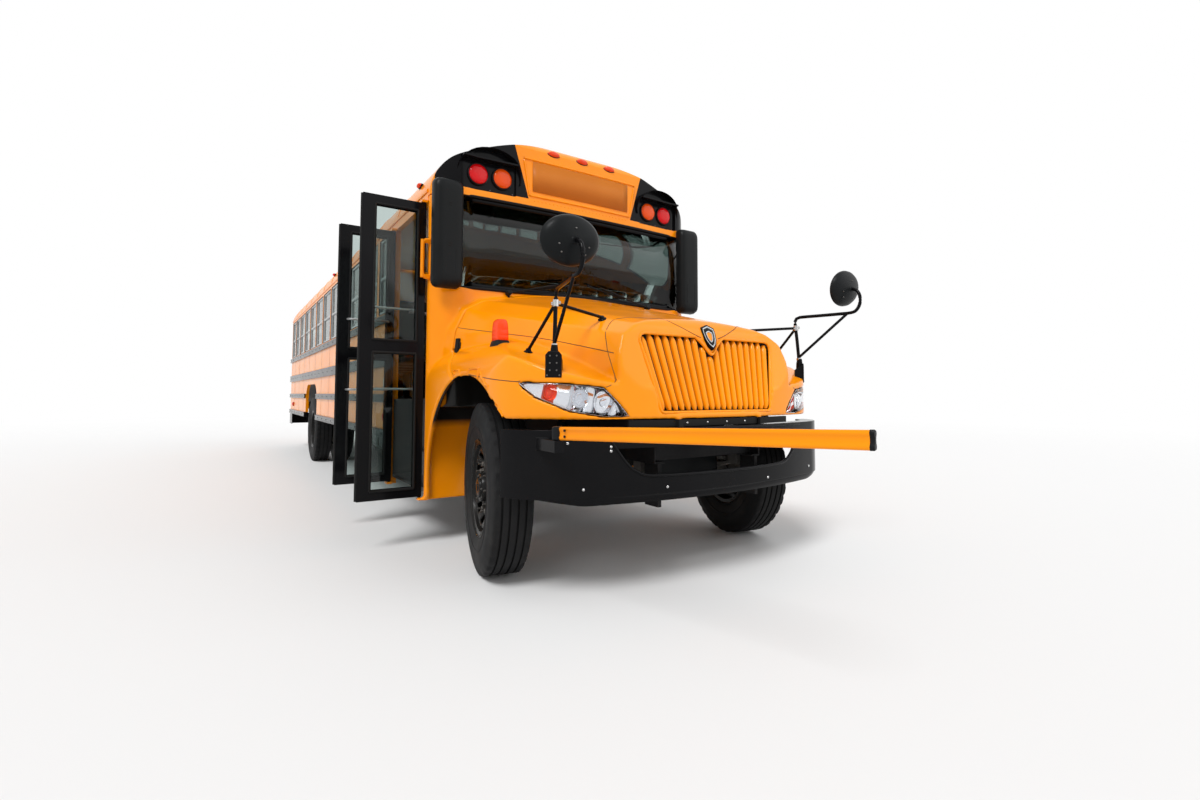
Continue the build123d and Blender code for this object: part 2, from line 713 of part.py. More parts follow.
def bonnet(inset, x0, x1):
    """Middle of the hood from x0 to x1: flat tapering sides under a top rounded about the bonnet's slope."""
    half = BODY_HALF - 114
    rear = ((half, 600), (half, 1380), (half - 20, 1530), (half - 95, 1690), (half - 290, 1800), (0, 1990))
    shrink = (0.81, 0.54, 0.62, 0.55, 0.66)
    nose = [(BONNET_NOSE_HALF, 600.0)]
    for (y0, z0), (y1, z1), share in zip(rear, rear[1:], shrink):
        nose.append((nose[-1][0] + share * (y1 - y0), nose[-1][1] + share * (z1 - z0)))

    def section(x):
        share = (x - HOOD_REAR_X) / (BONNET_NOSE_X - HOOD_REAR_X)
        right = []
        for i, ((ya, za), (yb, zb)) in enumerate(zip(rear, nose)):
            y = ya + (yb - ya) * share - (inset if i < 5 else 0)
            z = za + (zb - za) * share - (inset if i > 2 else 0)
            right.append((y, z))
        return Plane.YZ.offset(x) * outline(right + [(-y, z) for y, z in reversed(right[:-1])])

    slope = math.atan2(BONNET_REAR_Z - BONNET_NOSE_Z, BONNET_NOSE_X - HOOD_REAR_X)
    radius = BONNET_CROWN_R - inset
    centre = Plane(
        origin=(
            HOOD_REAR_X - BONNET_CROWN_R * math.sin(slope) - 800 * math.cos(slope),
            0,
            BONNET_REAR_Z - BONNET_CROWN_R * math.cos(slope) + 800 * math.sin(slope),
        ),
        x_dir=(0, 1, 0),
        z_dir=(math.cos(slope), 0, -math.sin(slope)),
    )
    reach = math.sqrt(radius**2 - 1300**2)
    crown = ThreePointArc((-1300, reach), (0, radius), (1300, reach))
    top = make_face([crown, Polyline((1300, reach), (1300, 2200), (-1300, 2200), (-1300, reach))])
    return loft([section(x0), section(x1)], ruled=True) & extrude(centre * top, amount=3200)


def fender_section(inset):
    """Both fenders' section in (Y, Z)."""
    half = BODY_HALF - inset
    bend = BODY_HALF - 39.0 - 0.85 * inset
    shoulder = BODY_HALF - 169.0
    top = 1500.0 - inset
    return make_face(
        [
            Line((half, 600), (half, 1150)),
            ThreePointArc((half, 1150), (bend, 1290 - 0.5 * inset), (shoulder, 1395 - inset)),
            Line((shoulder, 1395 - inset), (700, top)),
            Line((700, top), (-700, top)),
            Line((-700, top), (-shoulder, 1395 - inset)),
            ThreePointArc((-shoulder, 1395 - inset), (-bend, 1290 - 0.5 * inset), (-half, 1150)),
            Line((-half, 1150), (-half, 600)),
            Line((-half, 600), (half, 600)),
        ]
    )


def fender_side(inset):
    """Fenders' top line in (X, Z)."""
    end_x, end_z = 980.0, 1066.0 - inset
    return make_face(
        [
            Line((HOOD_REAR_X - 300, 600), (HOOD_REAR_X - 300, 1482 - inset)),
            Line((HOOD_REAR_X - 300, 1482 - inset), (HOOD_REAR_X, 1482 - inset)),
            ThreePointArc((HOOD_REAR_X, 1482 - inset), (150, 1392 - inset), (end_x, end_z)),
            Line((end_x, end_z), (end_x, 600)),
            Line((end_x, 600), (HOOD_REAR_X - 300, 600)),
        ]
    )


def nose_side(inset):
    """Nose's line in (X, Z): the bonnet's end rolls over into the leaning front."""
    lean_x, low_x = LEAN_X - inset, NOSE_X - inset
    bend_x, bend_z = LEAN_X - 56.0 - 0.6 * inset, LEAN_Z + 112.0 - 0.8 * inset
    return make_face(
        [
            Line((HOOD_REAR_X - 300, 600), (HOOD_REAR_X - 300, 2000)),
            Line((HOOD_REAR_X - 300, 2000), (ROLL_X, 2000)),
            Line((ROLL_X, 2000), (ROLL_X, ROLL_Z - inset)),
            ThreePointArc((ROLL_X, ROLL_Z - inset), (bend_x, bend_z), (lean_x, LEAN_Z)),
            Line((lean_x, LEAN_Z), (low_x, NOSE_LOW_Z)),
            Line((low_x, NOSE_LOW_Z), (low_x, 600)),
            Line((low_x, 600), (HOOD_REAR_X - 300, 600)),
        ]
    )


def hood_plan(inset):
    """Hood seen from above, in (X, Y)."""
    half = BODY_HALF - inset
    turn_x, turn_y = NOSE_X - 110.0 - inset, BODY_HALF - 369.0 - 0.4 * inset
    bend_x, bend_y = NOSE_X - 298.0 - 0.7 * inset, BODY_HALF - 117.0 - 0.75 * inset
    rear = HOOD_REAR_X - 300
    return make_face(
        [
            Line((rear, -half), (300, -half)),
            ThreePointArc((300, -half), (bend_x, -bend_y), (turn_x, -turn_y)),
            ThreePointArc((turn_x, -turn_y), (NOSE_X - inset, 0), (turn_x, turn_y)),
            ThreePointArc((turn_x, turn_y), (bend_x, bend_y), (300, half)),
            Line((300, half), (rear, half)),
            Line((rear, half), (rear, -half)),
        ]
    )


def hood_form(inset):
    """Whole hood filled: bonnet and fenders under one plan, drawn in by inset."""
    middle = bonnet(inset, HOOD_REAR_X, NOSE_X + 60) & along_y(nose_side(inset), -BODY_HALF, BODY_HALF)
    fenders = along_x(fender_section(inset), HOOD_REAR_X, NOSE_X + 20)
    fenders &= along_y(fender_side(inset), -BODY_HALF, BODY_HALF)
    whole = middle + fenders
    return whole & along_z(hood_plan(inset), HOOD_LOW_Z, 2000)


def cowl_line(shift):
    """Side seam between hood and cowl in (X, Z): area on the cowl's side, moved out by shift."""
    return outline(
        [
            (HOOD_REAR_X - 400, 1405 + shift),
            (HOOD_REAR_X + shift, 1405 + shift),
            (-290 + shift, 1190 + shift),
            (-290 + shift, 0),
            (HOOD_REAR_X - 400, 0),
        ]
    )


def grille_outline(grow):
    """Grille's opening in (Y, Z), with the dip for the badge's place."""
    top_half, low_half = GRILLE_TOP_HALF + grow, GRILLE_LOW_HALF + grow
    top, low = GRILLE_TOP_Z + grow, GRILLE_LOW_Z - grow
    dip = GRILLE_DIP
    return outline(
        [
            (-low_half, low),
            (low_half, low),
            (top_half, top - GRILLE_CORNER),
            (top_half - GRILLE_CORNER, top),
            (dip, top),
            (0, top - dip),
            (-dip, top),
            (-top_half + GRILLE_CORNER, top),
            (-top_half, top - GRILLE_CORNER),
        ]
    )


def lamp_outline(side):
    """Headlamp's shape from the front, in (Y, Z)."""
    upper = ((69, 1146), (272, 1136), (440, 1118), (520, 1040))
    points = upper + ((585, 966), (440, 966), (267, 996), (129, 1070))
    return outline([(side * (BODY_HALF - inward), z) for inward, z in points])


def hood():
    """Hood's skin with its wheel arches, grille opening, lamp openings and hinge lugs."""
    shell = hood_form(0) - hood_form(HOOD_THICK) - along_z(
        hood_plan(HOOD_THICK), HOOD_LOW_Z - 1, HOOD_LOW_Z + 30
    )
    for side in (-1, 1):
        a, b = sorted((side * 880, side * (BODY_HALF + 1)))
        shell -= Pos(ARCH_X, (a + b) / 2, ARCH_Z) * Rot(90, 0, 0) * Cylinder(ARCH_R, b - a)
        shell -= along_y(cowl_line(0), a, b)
        shell -= along_x(lamp_outline(side), LAMP_SHELL_X, NOSE_X + 1)
    shell -= along_x(grille_outline(0), 700, NOSE_X + 1)
    for side in (-1, 1):
        y = side * HOOD_PIVOT_Y
        shell += bar((HOOD_PIVOT_X, y - 10, HOOD_PIVOT_Z), (HOOD_PIVOT_X, y + 10, HOOD_PIVOT_Z), HOOD_LUG_R)
        shell += block(HOOD_PIVOT_X - 14, HOOD_PIVOT_X + 6, y - 10, y + 10, HOOD_PIVOT_Z, HOOD_LOW_Z + 12)
    return shell


def grille():
    """Grille: flat leaning bars that fan out upwards, on two cross bars and a rim behind the hood's skin."""
    lean = math.atan2(NOSE_X - LEAN_X, LEAN_Z - NOSE_LOW_Z)
    front = (NOSE_X - GRILLE_SET_IN, 0, HOOD_LOW_Z)
    lie = Plane(origin=front, x_dir=(0, 1, 0), z_dir=(math.cos(lean), 0, math.sin(lean)))
    stretch = 1 / math.cos(lean)

    def on_lie(y, z):
        return (y, (z - HOOD_LOW_Z) * stretch)

    step_low = 2 * GRILLE_LOW_HALF / GRILLE_BARS
    step_top = 2 * GRILLE_TOP_HALF / GRILLE_BARS
    bars = []
    for i in range(GRILLE_BARS):
        low = -GRILLE_LOW_HALF + (i + 0.5) * step_low
        top = -GRILLE_TOP_HALF + (i + 0.5) * step_top
        a, b = GRILLE_FILL * step_low / 2, GRILLE_FILL * step_top / 2
        corner = max(0.0, abs(top) + b - GRILLE_TOP_HALF + GRILLE_CORNER)
        height = GRILLE_TOP_Z - 4 - max(0.0, GRILLE_DIP - abs(top) + b) - corner
        foot = GRILLE_LOW_Z + 8
        corners = [(low - a, foot), (low + a, foot), (top + b, height), (top - b, height)]
        bars.append(extrude(lie * outline([on_lie(y, z) for y, z in corners]), amount=-GRILLE_DEPTH))
    inside = hood_form(HOOD_THICK)
    for z in (GRILLE_LOW_Z - 14, GRILLE_TOP_Z - GRILLE_DIP - 60):
        half = GRILLE_LOW_HALF + (z - GRILLE_LOW_Z) / (GRILLE_TOP_Z - GRILLE_LOW_Z) * 97
        corners = [(-half, z), (half, z), (half, z + 44), (-half, z + 44)]
        cross = extrude(lie.offset(-GRILLE_DEPTH) * outline([on_lie(y, w) for y, w in corners]), amount=-16)
        bars.append(cross & inside)
    return merged(bars)


def head_lamps():
    """Headlamp lenses that follow the hood's corner."""
    band = hood_form(1) - hood_form(26)
    return merged([band & along_x(lamp_outline(side), LAMP_SHELL_X, NOSE_X) for side in (-1, 1)])


def turn_lamps():
    """Turn lamps that stand on the fenders."""
    x, y, z = 95.0, BODY_HALF - 164.0, 1372.0
    base = block(x - 58, x + 58, y - 42, y + 42, z - 60, z + 34)
    lens = block(x - 50, x + 50, y - 38, y + 38, z + 34, z + 165)
    lens = chamfer(lens.edges().group_by(Axis.Z)[-1], 16)
    return both((base + lens) - hood_form(0))


def oval(radius):
    """Mirror head's outline, lower than it is wide."""
    return scale(RegularPolygon(radius, LENS_SIDES), by=(1, 0.84, 1))


def crossview_mirrors():
    """Round mirrors on tube stands, bolted to the fenders."""
    head = (1000.0, BODY_HALF - 129.0, 1795.0)
    foot = (665.0, BODY_HALF - 226.0, 1290.0)
    joint = (700.0, BODY_HALF - 234.0, 1560.0)
    face = Plane(origin=head, x_dir=(-0.05, 0.98, 0), z_dir=(0.98, 0.05, -0.2))
    dome = extrude(face.offset(-18) * oval(150), amount=34) + extrude(face.offset(-46) * oval(95), amount=28)
    plate = block(foot[0] - 30, foot[0] + 25, foot[1] - 45, foot[1] + 45, 1175, foot[2] + 30)
    stand = plate + bar(foot, joint, 13) + bar(joint, (955, BODY_HALF - 139, 1790), 13)
    stand += bar(joint, (330, BODY_HALF - 199, 1360), 11) + bar(joint, (640, 560, 1500), 11)
    return both(stand + dome - hood_form(0))


# Cowl, windshield and what stands on them


def cowl():
    """Front bulkhead, pillars, collar under the windshield and the panels beside the wheels."""
    low = FLOOR_Z - FLOOR_THICK
    wall = front_band(0, COWL_WALL, low, SHIELD_LOW_Z)
    pillars = front_band(0, COWL_WALL, SHIELD_LOW_Z, SHIELD_TOP_Z)
    pillars -= block(-900, -500, -SHIELD_HALF, SHIELD_HALF, 0, 4000)
    rear_x = HOOD_REAR_X - SEAM_GAP
    filled = along_z(front_plan(0), low, 2000)
    collar = bonnet(0, PILLAR_X, rear_x) - bonnet(HOOD_THICK, PILLAR_X - 1, rear_x + 1)
    collar -= block(-900, -500, -2000, 2000, 0, 1340)
    sides = along_x(fender_section(0), PILLAR_X, -200)
    sides -= along_x(fender_section(COWL_WALL), PILLAR_X - 1, -199)
    sides &= along_y(fender_side(0), -2000, 2000) & along_y(cowl_line(-SEAM_GAP), -2000, 2000)
    sides -= block(-900, 0, -980, 980, 0, 3000)
    sides -= Pos(ARCH_X, 0, ARCH_Z) * Rot(90, 0, 0) * Cylinder(ARCH_R, 3000)
    edge = [(-833, DOOR_LOW_Z), (-679, 571), (-640, 800), (-640, 1000)]
    lower = outline([(PILLAR_X, DOOR_LOW_Z)] + edge + [(PILLAR_X, 1000)])
    lower = both(along_y(lower, BODY_HALF - COWL_WALL, BODY_HALF))
    lower -= Pos(ARCH_X, 0, ARCH_Z) * Rot(90, 0, 0) * Cylinder(ARCH_R, 3000)
    back = both(block(PILLAR_X, PILLAR_X + 14, 500, BODY_HALF - COWL_WALL, DOOR_LOW_Z, low))
    foot = bearing(FRONT_HINGE_X - 22, PILLAR_X + 30, LOW_BEARING_Z)
    return merged([wall + pillars, (collar + sides) - filled, lower + back, foot])


def windshield():
    """Curved pane between the pillars."""
    pane = front_band(8, 8 + GLASS, SHIELD_LOW_Z, SHIELD_TOP_Z)
    return pane & block(-900, -500, -SHIELD_HALF, SHIELD_HALF, 0, 4000)


def wipers():
    """Two wiper arms with their blades."""
    arms = []
    for side in (-1, 1):
        pivot = (FRONT_MID_X + 18, side * 665, 1848)
        tip = (FRONT_MID_X + 18, side * 170, 1972)
        arm = bar((pivot[0], pivot[1], 1780), (pivot[0], pivot[1], 1856), 9) + bar(pivot, tip, 6)
        arm += bar((tip[0] - 8, side * 420, 1900), (tip[0] - 8, side * 40, 1978), 7)
        arms.append(arm - bonnet(0, PILLAR_X, HOOD_REAR_X - SEAM_GAP))
    return merged(arms)


def side_mirrors():
    """Flat mirrors in tall housings, on two arms each."""
    x, y0, y1 = MIRROR_X, MIRROR_Y - MIRROR_W / 2, MIRROR_Y + MIRROR_W / 2
    housing = block(x - 45, x + 45, y0, y1, MIRROR_LOW_Z, MIRROR_TOP_Z)
    housing = chamfer(housing.edges().filter_by(Axis.Z), 22)
    arms = [bar((x - 40, MIRROR_Y, z), (-780, MIRROR_Y + 9, z), 12) for z in (1960, 2440)]
    return both(housing + arms - along_z(front_plan(0), 1800, 2560))


def dashboard():
    """Dashboard, the column and its stub."""
    face = outline([(-690, 1330), (-690, 1800), (-960, 1810), (-1040, 1700), (-1010, 1480), (-930, 1330)])
    dash = along_y(face, -480, BODY_HALF - 150) & along_z(front_plan(COWL_WALL), 1300, 1900)
    dash += along_y(face, -480, BODY_HALF - 150) - block(PILLAR_X, 0, -2000, 2000, 0, 3000)
    shroud = outline([(-1000, 1400), (-1110, 1480), (-1080, 1640), (-1000, 1660)])
    dash += along_y(shroud, WHEEL_Y - 60, WHEEL_Y + 60)
    hub = wheel_hub()
    axis = hub.z_dir
    foot = hub.origin - axis * 420
    return dash + bar(tuple(foot), tuple(hub.origin - axis * 20), 30)


def wheel_hub():
    """Plane of the steering wheel, its normal towards the driver."""
    lean = math.radians(WHEEL_LEAN)
    axis = (-math.sin(lean), 0, math.cos(lean))
    return Plane(origin=(WHEEL_X, WHEEL_Y, WHEEL_Z), x_dir=(0, 1, 0), z_dir=axis)


def steering_wheel():
    """Ring with three spokes and a hub."""
    inner = RegularPolygon(WHEEL_R - 14, RING_SIDES)
    ring = extrude(Plane.XY.offset(16) * RegularPolygon(WHEEL_R + 14, RING_SIDES), amount=28)
    ring -= extrude(Plane.XY.offset(15) * inner, amount=30)
    hub = extrude(Plane.XY.offset(-20) * RegularPolygon(45, BAR_SIDES), amount=40)
    spokes = [bar((0, 0, 8), Vector(WHEEL_R - 4, 0, 30).rotate(Axis.Z, a), 9) for a in (90, 210, 330)]
    return wheel_hub() * (ring + spokes + hub)


def seats():
    """Benches: an L of cushion and back for each side and row."""
    benches = []
    cushion = ((0, SEAT_LOW_Z), (0, SEAT_TOP_Z), (-385, SEAT_TOP_Z - 12))
    face = cushion + ((-455, SEAT_BACK_Z), (-545, SEAT_BACK_Z), (-490, SEAT_LOW_Z))
    for row in range(SEAT_ROWS):
        x = SEAT_FIRST_X - row * SEAT_PITCH
        profile = outline([(x + dx, z) for dx, z in face])
        for side in (-1, 1):
            a, b = sorted((side * SEAT_IN_Y, side * SEAT_OUT_Y))
            benches.append(along_y(profile, a, b))
    return merged(benches)


def seat_frames():
    """Bench stands: a leg on the aisle side of each."""
    stands = []
    for row in range(SEAT_ROWS):
        x = SEAT_FIRST_X - row * SEAT_PITCH
        leg = outline([(x - 90, FLOOR_Z), (x - 90, SEAT_LOW_Z), (x - 440, SEAT_LOW_Z), (x - 380, FLOOR_Z)])
        for side in (-1, 1):
            a, b = sorted((side * 250, side * 280))
            stands.append(along_y(leg, a, b))
    return merged(stands)


def driver_seat():
    """Driver's seat on its pedestal."""
    x = -1330.0
    face = [(x, 1400), (x, 1500), (x - 400, 1490), (x - 450, 2190), (x - 550, 2190), (x - 500, 1400)]
    seat = along_y(outline(face), WHEEL_Y - 250, WHEEL_Y + 250)
    return seat + block(x - 400, x - 80, WHEEL_Y - 150, WHEEL_Y + 150, FLOOR_Z, 1400)


def grab_rails():
    """Guard rail behind the steps and the handle outside on the entrance's front pillar."""
    foot = (GUARD_X, GUARD_Y, FLOOR_Z)
    pole = bar(foot, (GUARD_X, GUARD_Y, GUARD_TOP_Z), 16)
    pole += bar((GUARD_X, GUARD_Y, GUARD_TOP_Z - 16), (GUARD_X, -SEAT_OUT_Y, GUARD_TOP_Z - 16), 16)
    x = -815.0
    top, low = 2190.0, 1940.0
    out_y = -BODY_HALF - 48
    handle = bar((x, out_y, low - 14), (x, out_y, top + 14), 14)
    for z in (low, top):
        handle += bar((x, out_y, z), (x, -BODY_HALF + 20, z), 12)
    return merged([pole, handle - along_z(front_plan(0), 1900, 2300)])


# Entrance leaves


def leaf_lights(hinge_x):
    """Low Y, high Y, low Z and high Z of the two lights of an open leaf."""
    y0 = HINGE_Y - LEAF_LEN + LEAF_EDGE_STILE
    y1 = HINGE_Y + 12 - LEAF_HINGE_STILE
    return (
        (hinge_x, y0, y1, LEAF_LOW_Z + LEAF_RAIL, LEAF_MID_Z - LEAF_MID_H / 2),
        (hinge_x, y0, y1, LEAF_MID_Z + LEAF_MID_H / 2, LEAF_TOP_Z - LEAF_RAIL),
    )


def entry_leaf(hinge_x):
    """Leaf of the entrance, standing open, with its pivots."""
    half = LEAF_THICK / 2
    leaf = block(hinge_x - half, hinge_x + half, HINGE_Y - LEAF_LEN, HINGE_Y + 12, LEAF_LOW_Z, LEAF_TOP_Z)
    for x, y0, y1, z0, z1 in leaf_lights(hinge_x):
        leaf -= block(x - LEAF_THICK, x + LEAF_THICK, y0, y1, z0, z1)
    leaf += bar((hinge_x, HINGE_Y, LEAF_LOW_Z - BEARING_GAP), (hinge_x, HINGE_Y, LEAF_LOW_Z + 10), PIVOT_R)
    leaf += bar((hinge_x, HINGE_Y, LEAF_TOP_Z - 10), (hinge_x, HINGE_Y, LEAF_TOP_Z + BEARING_GAP), PIVOT_R)
    return leaf


def entry_glass(hinge_x):
    """Panes of a leaf."""
    return merged([block(x - GLASS / 2, x + GLASS / 2, a, b, c, d) for x, a, b, c, d in leaf_lights(hinge_x)])


# Arms that swing out


def stop_arm():
    """Eight-sided stop blade on its hinge barrel, standing out."""
    reach = 34 + STOP_FLATS / 2
    blade = extrude(
        Plane(origin=(STOP_X - STOP_SHEET / 2, STOP_Y + reach, STOP_Z), x_dir=(0, 1, 0), z_dir=(1, 0, 0))
        * RegularPolygon(STOP_FLATS / 2, 8, major_radius=False, rotation=22.5),
        amount=STOP_SHEET,
    )
    barrel = bar((STOP_X, STOP_Y, STOP_Z - 60), (STOP_X, STOP_Y, STOP_Z + 60), 16)
    return blade + block(STOP_X - 6, STOP_X + 6, STOP_Y, STOP_Y + 90, STOP_Z - 50, STOP_Z + 50) + barrel


def stop_bracket():
    """Box and pin that hold the stop arm on the driver's side."""
    box = block(STOP_X - 10, STOP_X + 120, BODY_HALF, STOP_Y - 22, STOP_Z - 90, STOP_Z + 90)
    for a, b in ((-90, -60), (60, 90)):
        box += block(STOP_X - 20, STOP_X + 20, STOP_Y - 22, STOP_Y + 18, STOP_Z + a, STOP_Z + b)
    return box


def crossing_arm():
    """Long bar that swings out ahead of the bumper, with its hinge barrel."""
    half = ARM_H / 2
    corners = [(20, -half), (ARM_LEN, ARM_RISE - half), (ARM_LEN, ARM_RISE + half), (20, half)]
    blade = along_y(outline(corners), -ARM_THICK / 2, ARM_THICK / 2)
    blade += bar((0, 0, -ARM_H / 2), (0, 0, ARM_H / 2), 26)
    return Pos(ARM_X, ARM_Y, ARM_Z) * Rot(0, 0, ARM_REST) * blade


# Bumpers and chassis


def bumper_plan(inset):
    """Front bumper's outline from above, in (X, Y)."""
    mid, turn_x, turn_y = NOSE_X + 17.0 - inset, NOSE_X - 105.0 - inset, BODY_HALF - 269.0 - 0.4 * inset
    bend_x, bend_y = NOSE_X - 205.0 - 0.75 * inset, BODY_HALF - 91.0 - 0.7 * inset
    end_x, end_y = NOSE_X - 380.0, BODY_HALF + 19.0 - inset
    rear = end_x if inset == 0 else end_x - 1
    return make_face(
        [
            Line((rear, -end_y), (end_x, -end_y)) if inset else Line((rear, end_y), (rear, -end_y)),
            ThreePointArc((end_x, -end_y), (bend_x, -bend_y), (turn_x, -turn_y)),
            ThreePointArc((turn_x, -turn_y), (mid, 0), (turn_x, turn_y)),
            ThreePointArc((turn_x, turn_y), (bend_x, bend_y), (end_x, end_y)),
        ]
        + ([Line((end_x, end_y), (rear, end_y)), Line((rear, end_y), (rear, -end_y))] if inset else [])
    )


def front_bumper():
    """Channel bumper with its wide slot, brackets, hood hinge ears and the arm's bracket."""
    steel = BUMPER_STEEL
    bumper = along_z(bumper_plan(0), BUMPER_LOW_Z, BUMPER_TOP_Z)
    bumper -= along_z(bumper_plan(steel), BUMPER_LOW_Z - 1, BUMPER_TOP_Z - steel)
    bumper -= along_z(bumper_plan(BUMPER_FLANGE), BUMPER_LOW_Z - 1, BUMPER_TOP_Z + 1)
    slot = [(-y, z) for y, z in BUMPER_SLOT] + [(y, z) for y, z in reversed(BUMPER_SLOT)]
    bumper -= along_x(outline(slot), FRAME_FRONT_X - 20, 1000)
    inside = along_z(bumper_plan(steel), 0, 2000)
    for side in (-1, 1):
        a, b = sorted((side * (RAIL_OUT_Y - RAIL_FLANGE), side * RAIL_OUT_Y))
        bumper += block(FRAME_FRONT_X, 1000, a, b, 810, BUMPER_TOP_Z - steel) & inside
        y = side * HOOD_PIVOT_Y
        c, d = sorted((y - side * 26, y - side * 10))
        bumper += block(HOOD_PIVOT_X - 12, HOOD_PIVOT_X + 12, c, d, BUMPER_TOP_Z - 2, HOOD_PIVOT_Z + 11)
    low = ARM_Z - ARM_H / 2
    bracket = block(ARM_X - 190, ARM_X + 22, ARM_Y - 26, ARM_Y + 26, low - 60, low) - inside
    return bumper + bracket


def rear_bumper():
    """Rear bumper wrapped round the corners, with its brackets."""
    z0, z1 = 470.0, 680.0
    x0 = BODY_REAR_X - 102
    steel = 10.0
    bumper = block(x0, -9950, -BODY_HALF, BODY_HALF, z0, z1)
    bumper -= block(x0 + steel, -9900, -BODY_HALF + steel, BODY_HALF - steel, z0 - 1, z1 + 1)
    for side in (-1, 1):
        a, b = sorted((side * (RAIL_OUT_Y - RAIL_FLANGE), side * RAIL_OUT_Y))
        bumper += block(x0 + steel, FRAME_REAR_X, a, b, z1 - 80, z1)
        bumper += block(FRAME_REAR_X - 50, FRAME_REAR_X, a, b, z1, RAIL_TOP_Z - 60)
    return bumper


def chassis_frame():
    """Two channel rails with crossmembers."""
    z0, z1 = RAIL_TOP_Z - RAIL_DEPTH, RAIL_TOP_Z
    frame = Part()
    for side in (-1, 1):
        a, b = sorted((side * RAIL_OUT_Y, side * (RAIL_OUT_Y - RAIL_FLANGE)))
        c, d = sorted((side * (RAIL_OUT_Y - RAIL_STEEL), side * (RAIL_OUT_Y - RAIL_FLANGE - 1)))
        rail = block(FRAME_REAR_X, FRAME_FRONT_X, a, b, z0, z1)
        rail -= block(FRAME_REAR_X - 1, FRAME_FRONT_X + 1, c, d, z0 + RAIL_STEEL, z1 - RAIL_STEEL)
        frame += rail
    reach = RAIL_OUT_Y - RAIL_STEEL
    for x in CROSS_XS:
        frame += block(x, x + CROSS_W, -reach, reach, z0 + RAIL_STEEL, z0 + 110)
    return frame


def tow_eyes():
    """Plates with an eye under the frame's front end."""
    z_top = RAIL_TOP_Z - RAIL_DEPTH
    in_y, out_y = TOW_Y - TOW_PLATE / 2, TOW_Y + TOW_PLATE / 2
    plate = block(TOW_X - 65, FRAME_FRONT_X, in_y, out_y, TOW_Z - TOW_EDGE, z_top)
    return both(plate - rod((TOW_X, TOW_Y - 20, TOW_Z), (TOW_X, TOW_Y + 20, TOW_Z), TOW_EYE_R))


def spring_pack(x, half, eye_z, top_z, seat_z):
    """Leaf spring with its hangers, under one rail, before it is mirrored."""
    leaf = make_face(
        [
            ThreePointArc((x - half, eye_z + 10), (x, top_z), (x + half, eye_z + 10)),
            Polyline(
                (x + half, eye_z + 10),
                (x + half, eye_z - 10),
                (x + 0.62 * half, eye_z - 10 - 0.45 * (eye_z - seat_z)),
                (x + 0.34 * half, eye_z - 10 - 0.75 * (eye_z - seat_z)),
                (x + 90, seat_z),
                (x - 90, seat_z),
                (x - 0.34 * half, eye_z - 10 - 0.75 * (eye_z - seat_z)),
                (x - 0.62 * half, eye_z - 10 - 0.45 * (eye_z - seat_z)),
                (x - half, eye_z - 10),
                (x - half, eye_z + 10),
            ),
        ]
    )
    rail_z = RAIL_TOP_Z - RAIL_DEPTH
    pack = along_y(leaf, SPRING_IN_Y, RAIL_OUT_Y)
    for end in (x - half, x + half):
        pack += block(end - 35, end + 35, SPRING_IN_Y, RAIL_OUT_Y, eye_z - 22, rail_z)
    return pack


def leaf_springs():
    """Springs over both axles."""
    front = spring_pack(0, 640, 655, 556, FRONT_SEAT_Z)
    rear = spring_pack(REAR_AXLE_X, 760, 672, 664, REAR_SEAT_Z)
    return both(merged([front, rear]))


def front_axle_beam():
    """Dropped beam with the kingpin eyes at its ends."""
    half = BEAM_HALF_W
    top = [(440, FRONT_SEAT_Z), (600, 505), (790, 560), (KINGPIN_Y, 560)]
    low = [(KINGPIN_Y, 470), (800, 470), (620, 410), (400, 400)]
    shape = top + low
    shape += [(-y, z) for y, z in reversed(low)] + [(-y, z) for y, z in reversed(top)]
    beam = along_x(outline(shape), -half, half)
    for side in (-1, 1):
        y = side * KINGPIN_Y
        beam += rod((0, y, 470), (0, y, 560), half)
        beam -= rod((0, y, 400), (0, y, 600), KINGPIN_R + RUN_CLEAR)
    return beam


def steered(part, side):
    """Turns a piece about its kingpin to the rest steering angle."""
    return Pos(0, side * KINGPIN_Y, 0) * Rot(0, 0, REST_STEER) * Pos(0, -side * KINGPIN_Y, 0) * part


def knuckle(side):
    """Steering knuckle: ears, kingpin, back plate and spindle."""
    k = KINGPIN_Y
    body = block(-42, 42, k + 54, k + 76, 430, 600)
    for low, top in ((430, 462), (568, 600)):
        ear = outline([(-42, k - 16), (-20, k - 42), (20, k - 42), (42, k - 16), (42, k + 60), (-42, k + 60)])
        body += along_z(ear, low, top)
    body += rod((0, k, 440), (0, k, 590), KINGPIN_R)
    body += rod((0, k + 70, TYRE_R), (0, FRONT_HALF_TRACK + 50, TYRE_R), SPINDLE_R)
    body = body if side > 0 else mirror_y(body)
    return steered(body, side)


def tyre(y):
    """Tyre centred at y: bulged walls and chamfered shoulders."""
    half, tread, bead = TYRE_W / 2, TREAD_W / 2, BEAD_W / 2
    right = [(BEAD_R, bead), (SIDEWALL_R, half), (TYRE_R, tread)]
    points = right + [(r, -w) for r, w in reversed(right)]
    return turned(points, 0, y, TYRE_R)


def hub_bar(y0, y1, radius):
    """Sixteen-sided hub along Y between two offsets."""
    low, top = sorted((y0, y1))
    seat = Plane(origin=(0, low, 0), z_dir=(0, 1, 0))
    return extrude(seat * RegularPolygon(radius, HUB_SIDES), amount=top - low)


def front_rim(side):
    """Front disc wheel with its hub."""
    bead, inner = BEAD_W / 2, BEAD_R - RIM_THICK
    ring = [(60, 34), (inner, 64), (inner, -bead), (BEAD_R, -bead)]
    ring += [(BEAD_R, bead), (inner, bead), (inner, 80), (60, 50)]
    rim = turned([(r, side * w) for r, w in ring], 0, 0, 0)
    rim += hub_bar(side * -36, side * HUB_OUT, HUB_R)
    rim -= rod((0, side * -37, 0), (0, side * 60, 0), SPINDLE_R + RUN_CLEAR)
    return Pos(0, side * FRONT_HALF_TRACK, TYRE_R) * rim


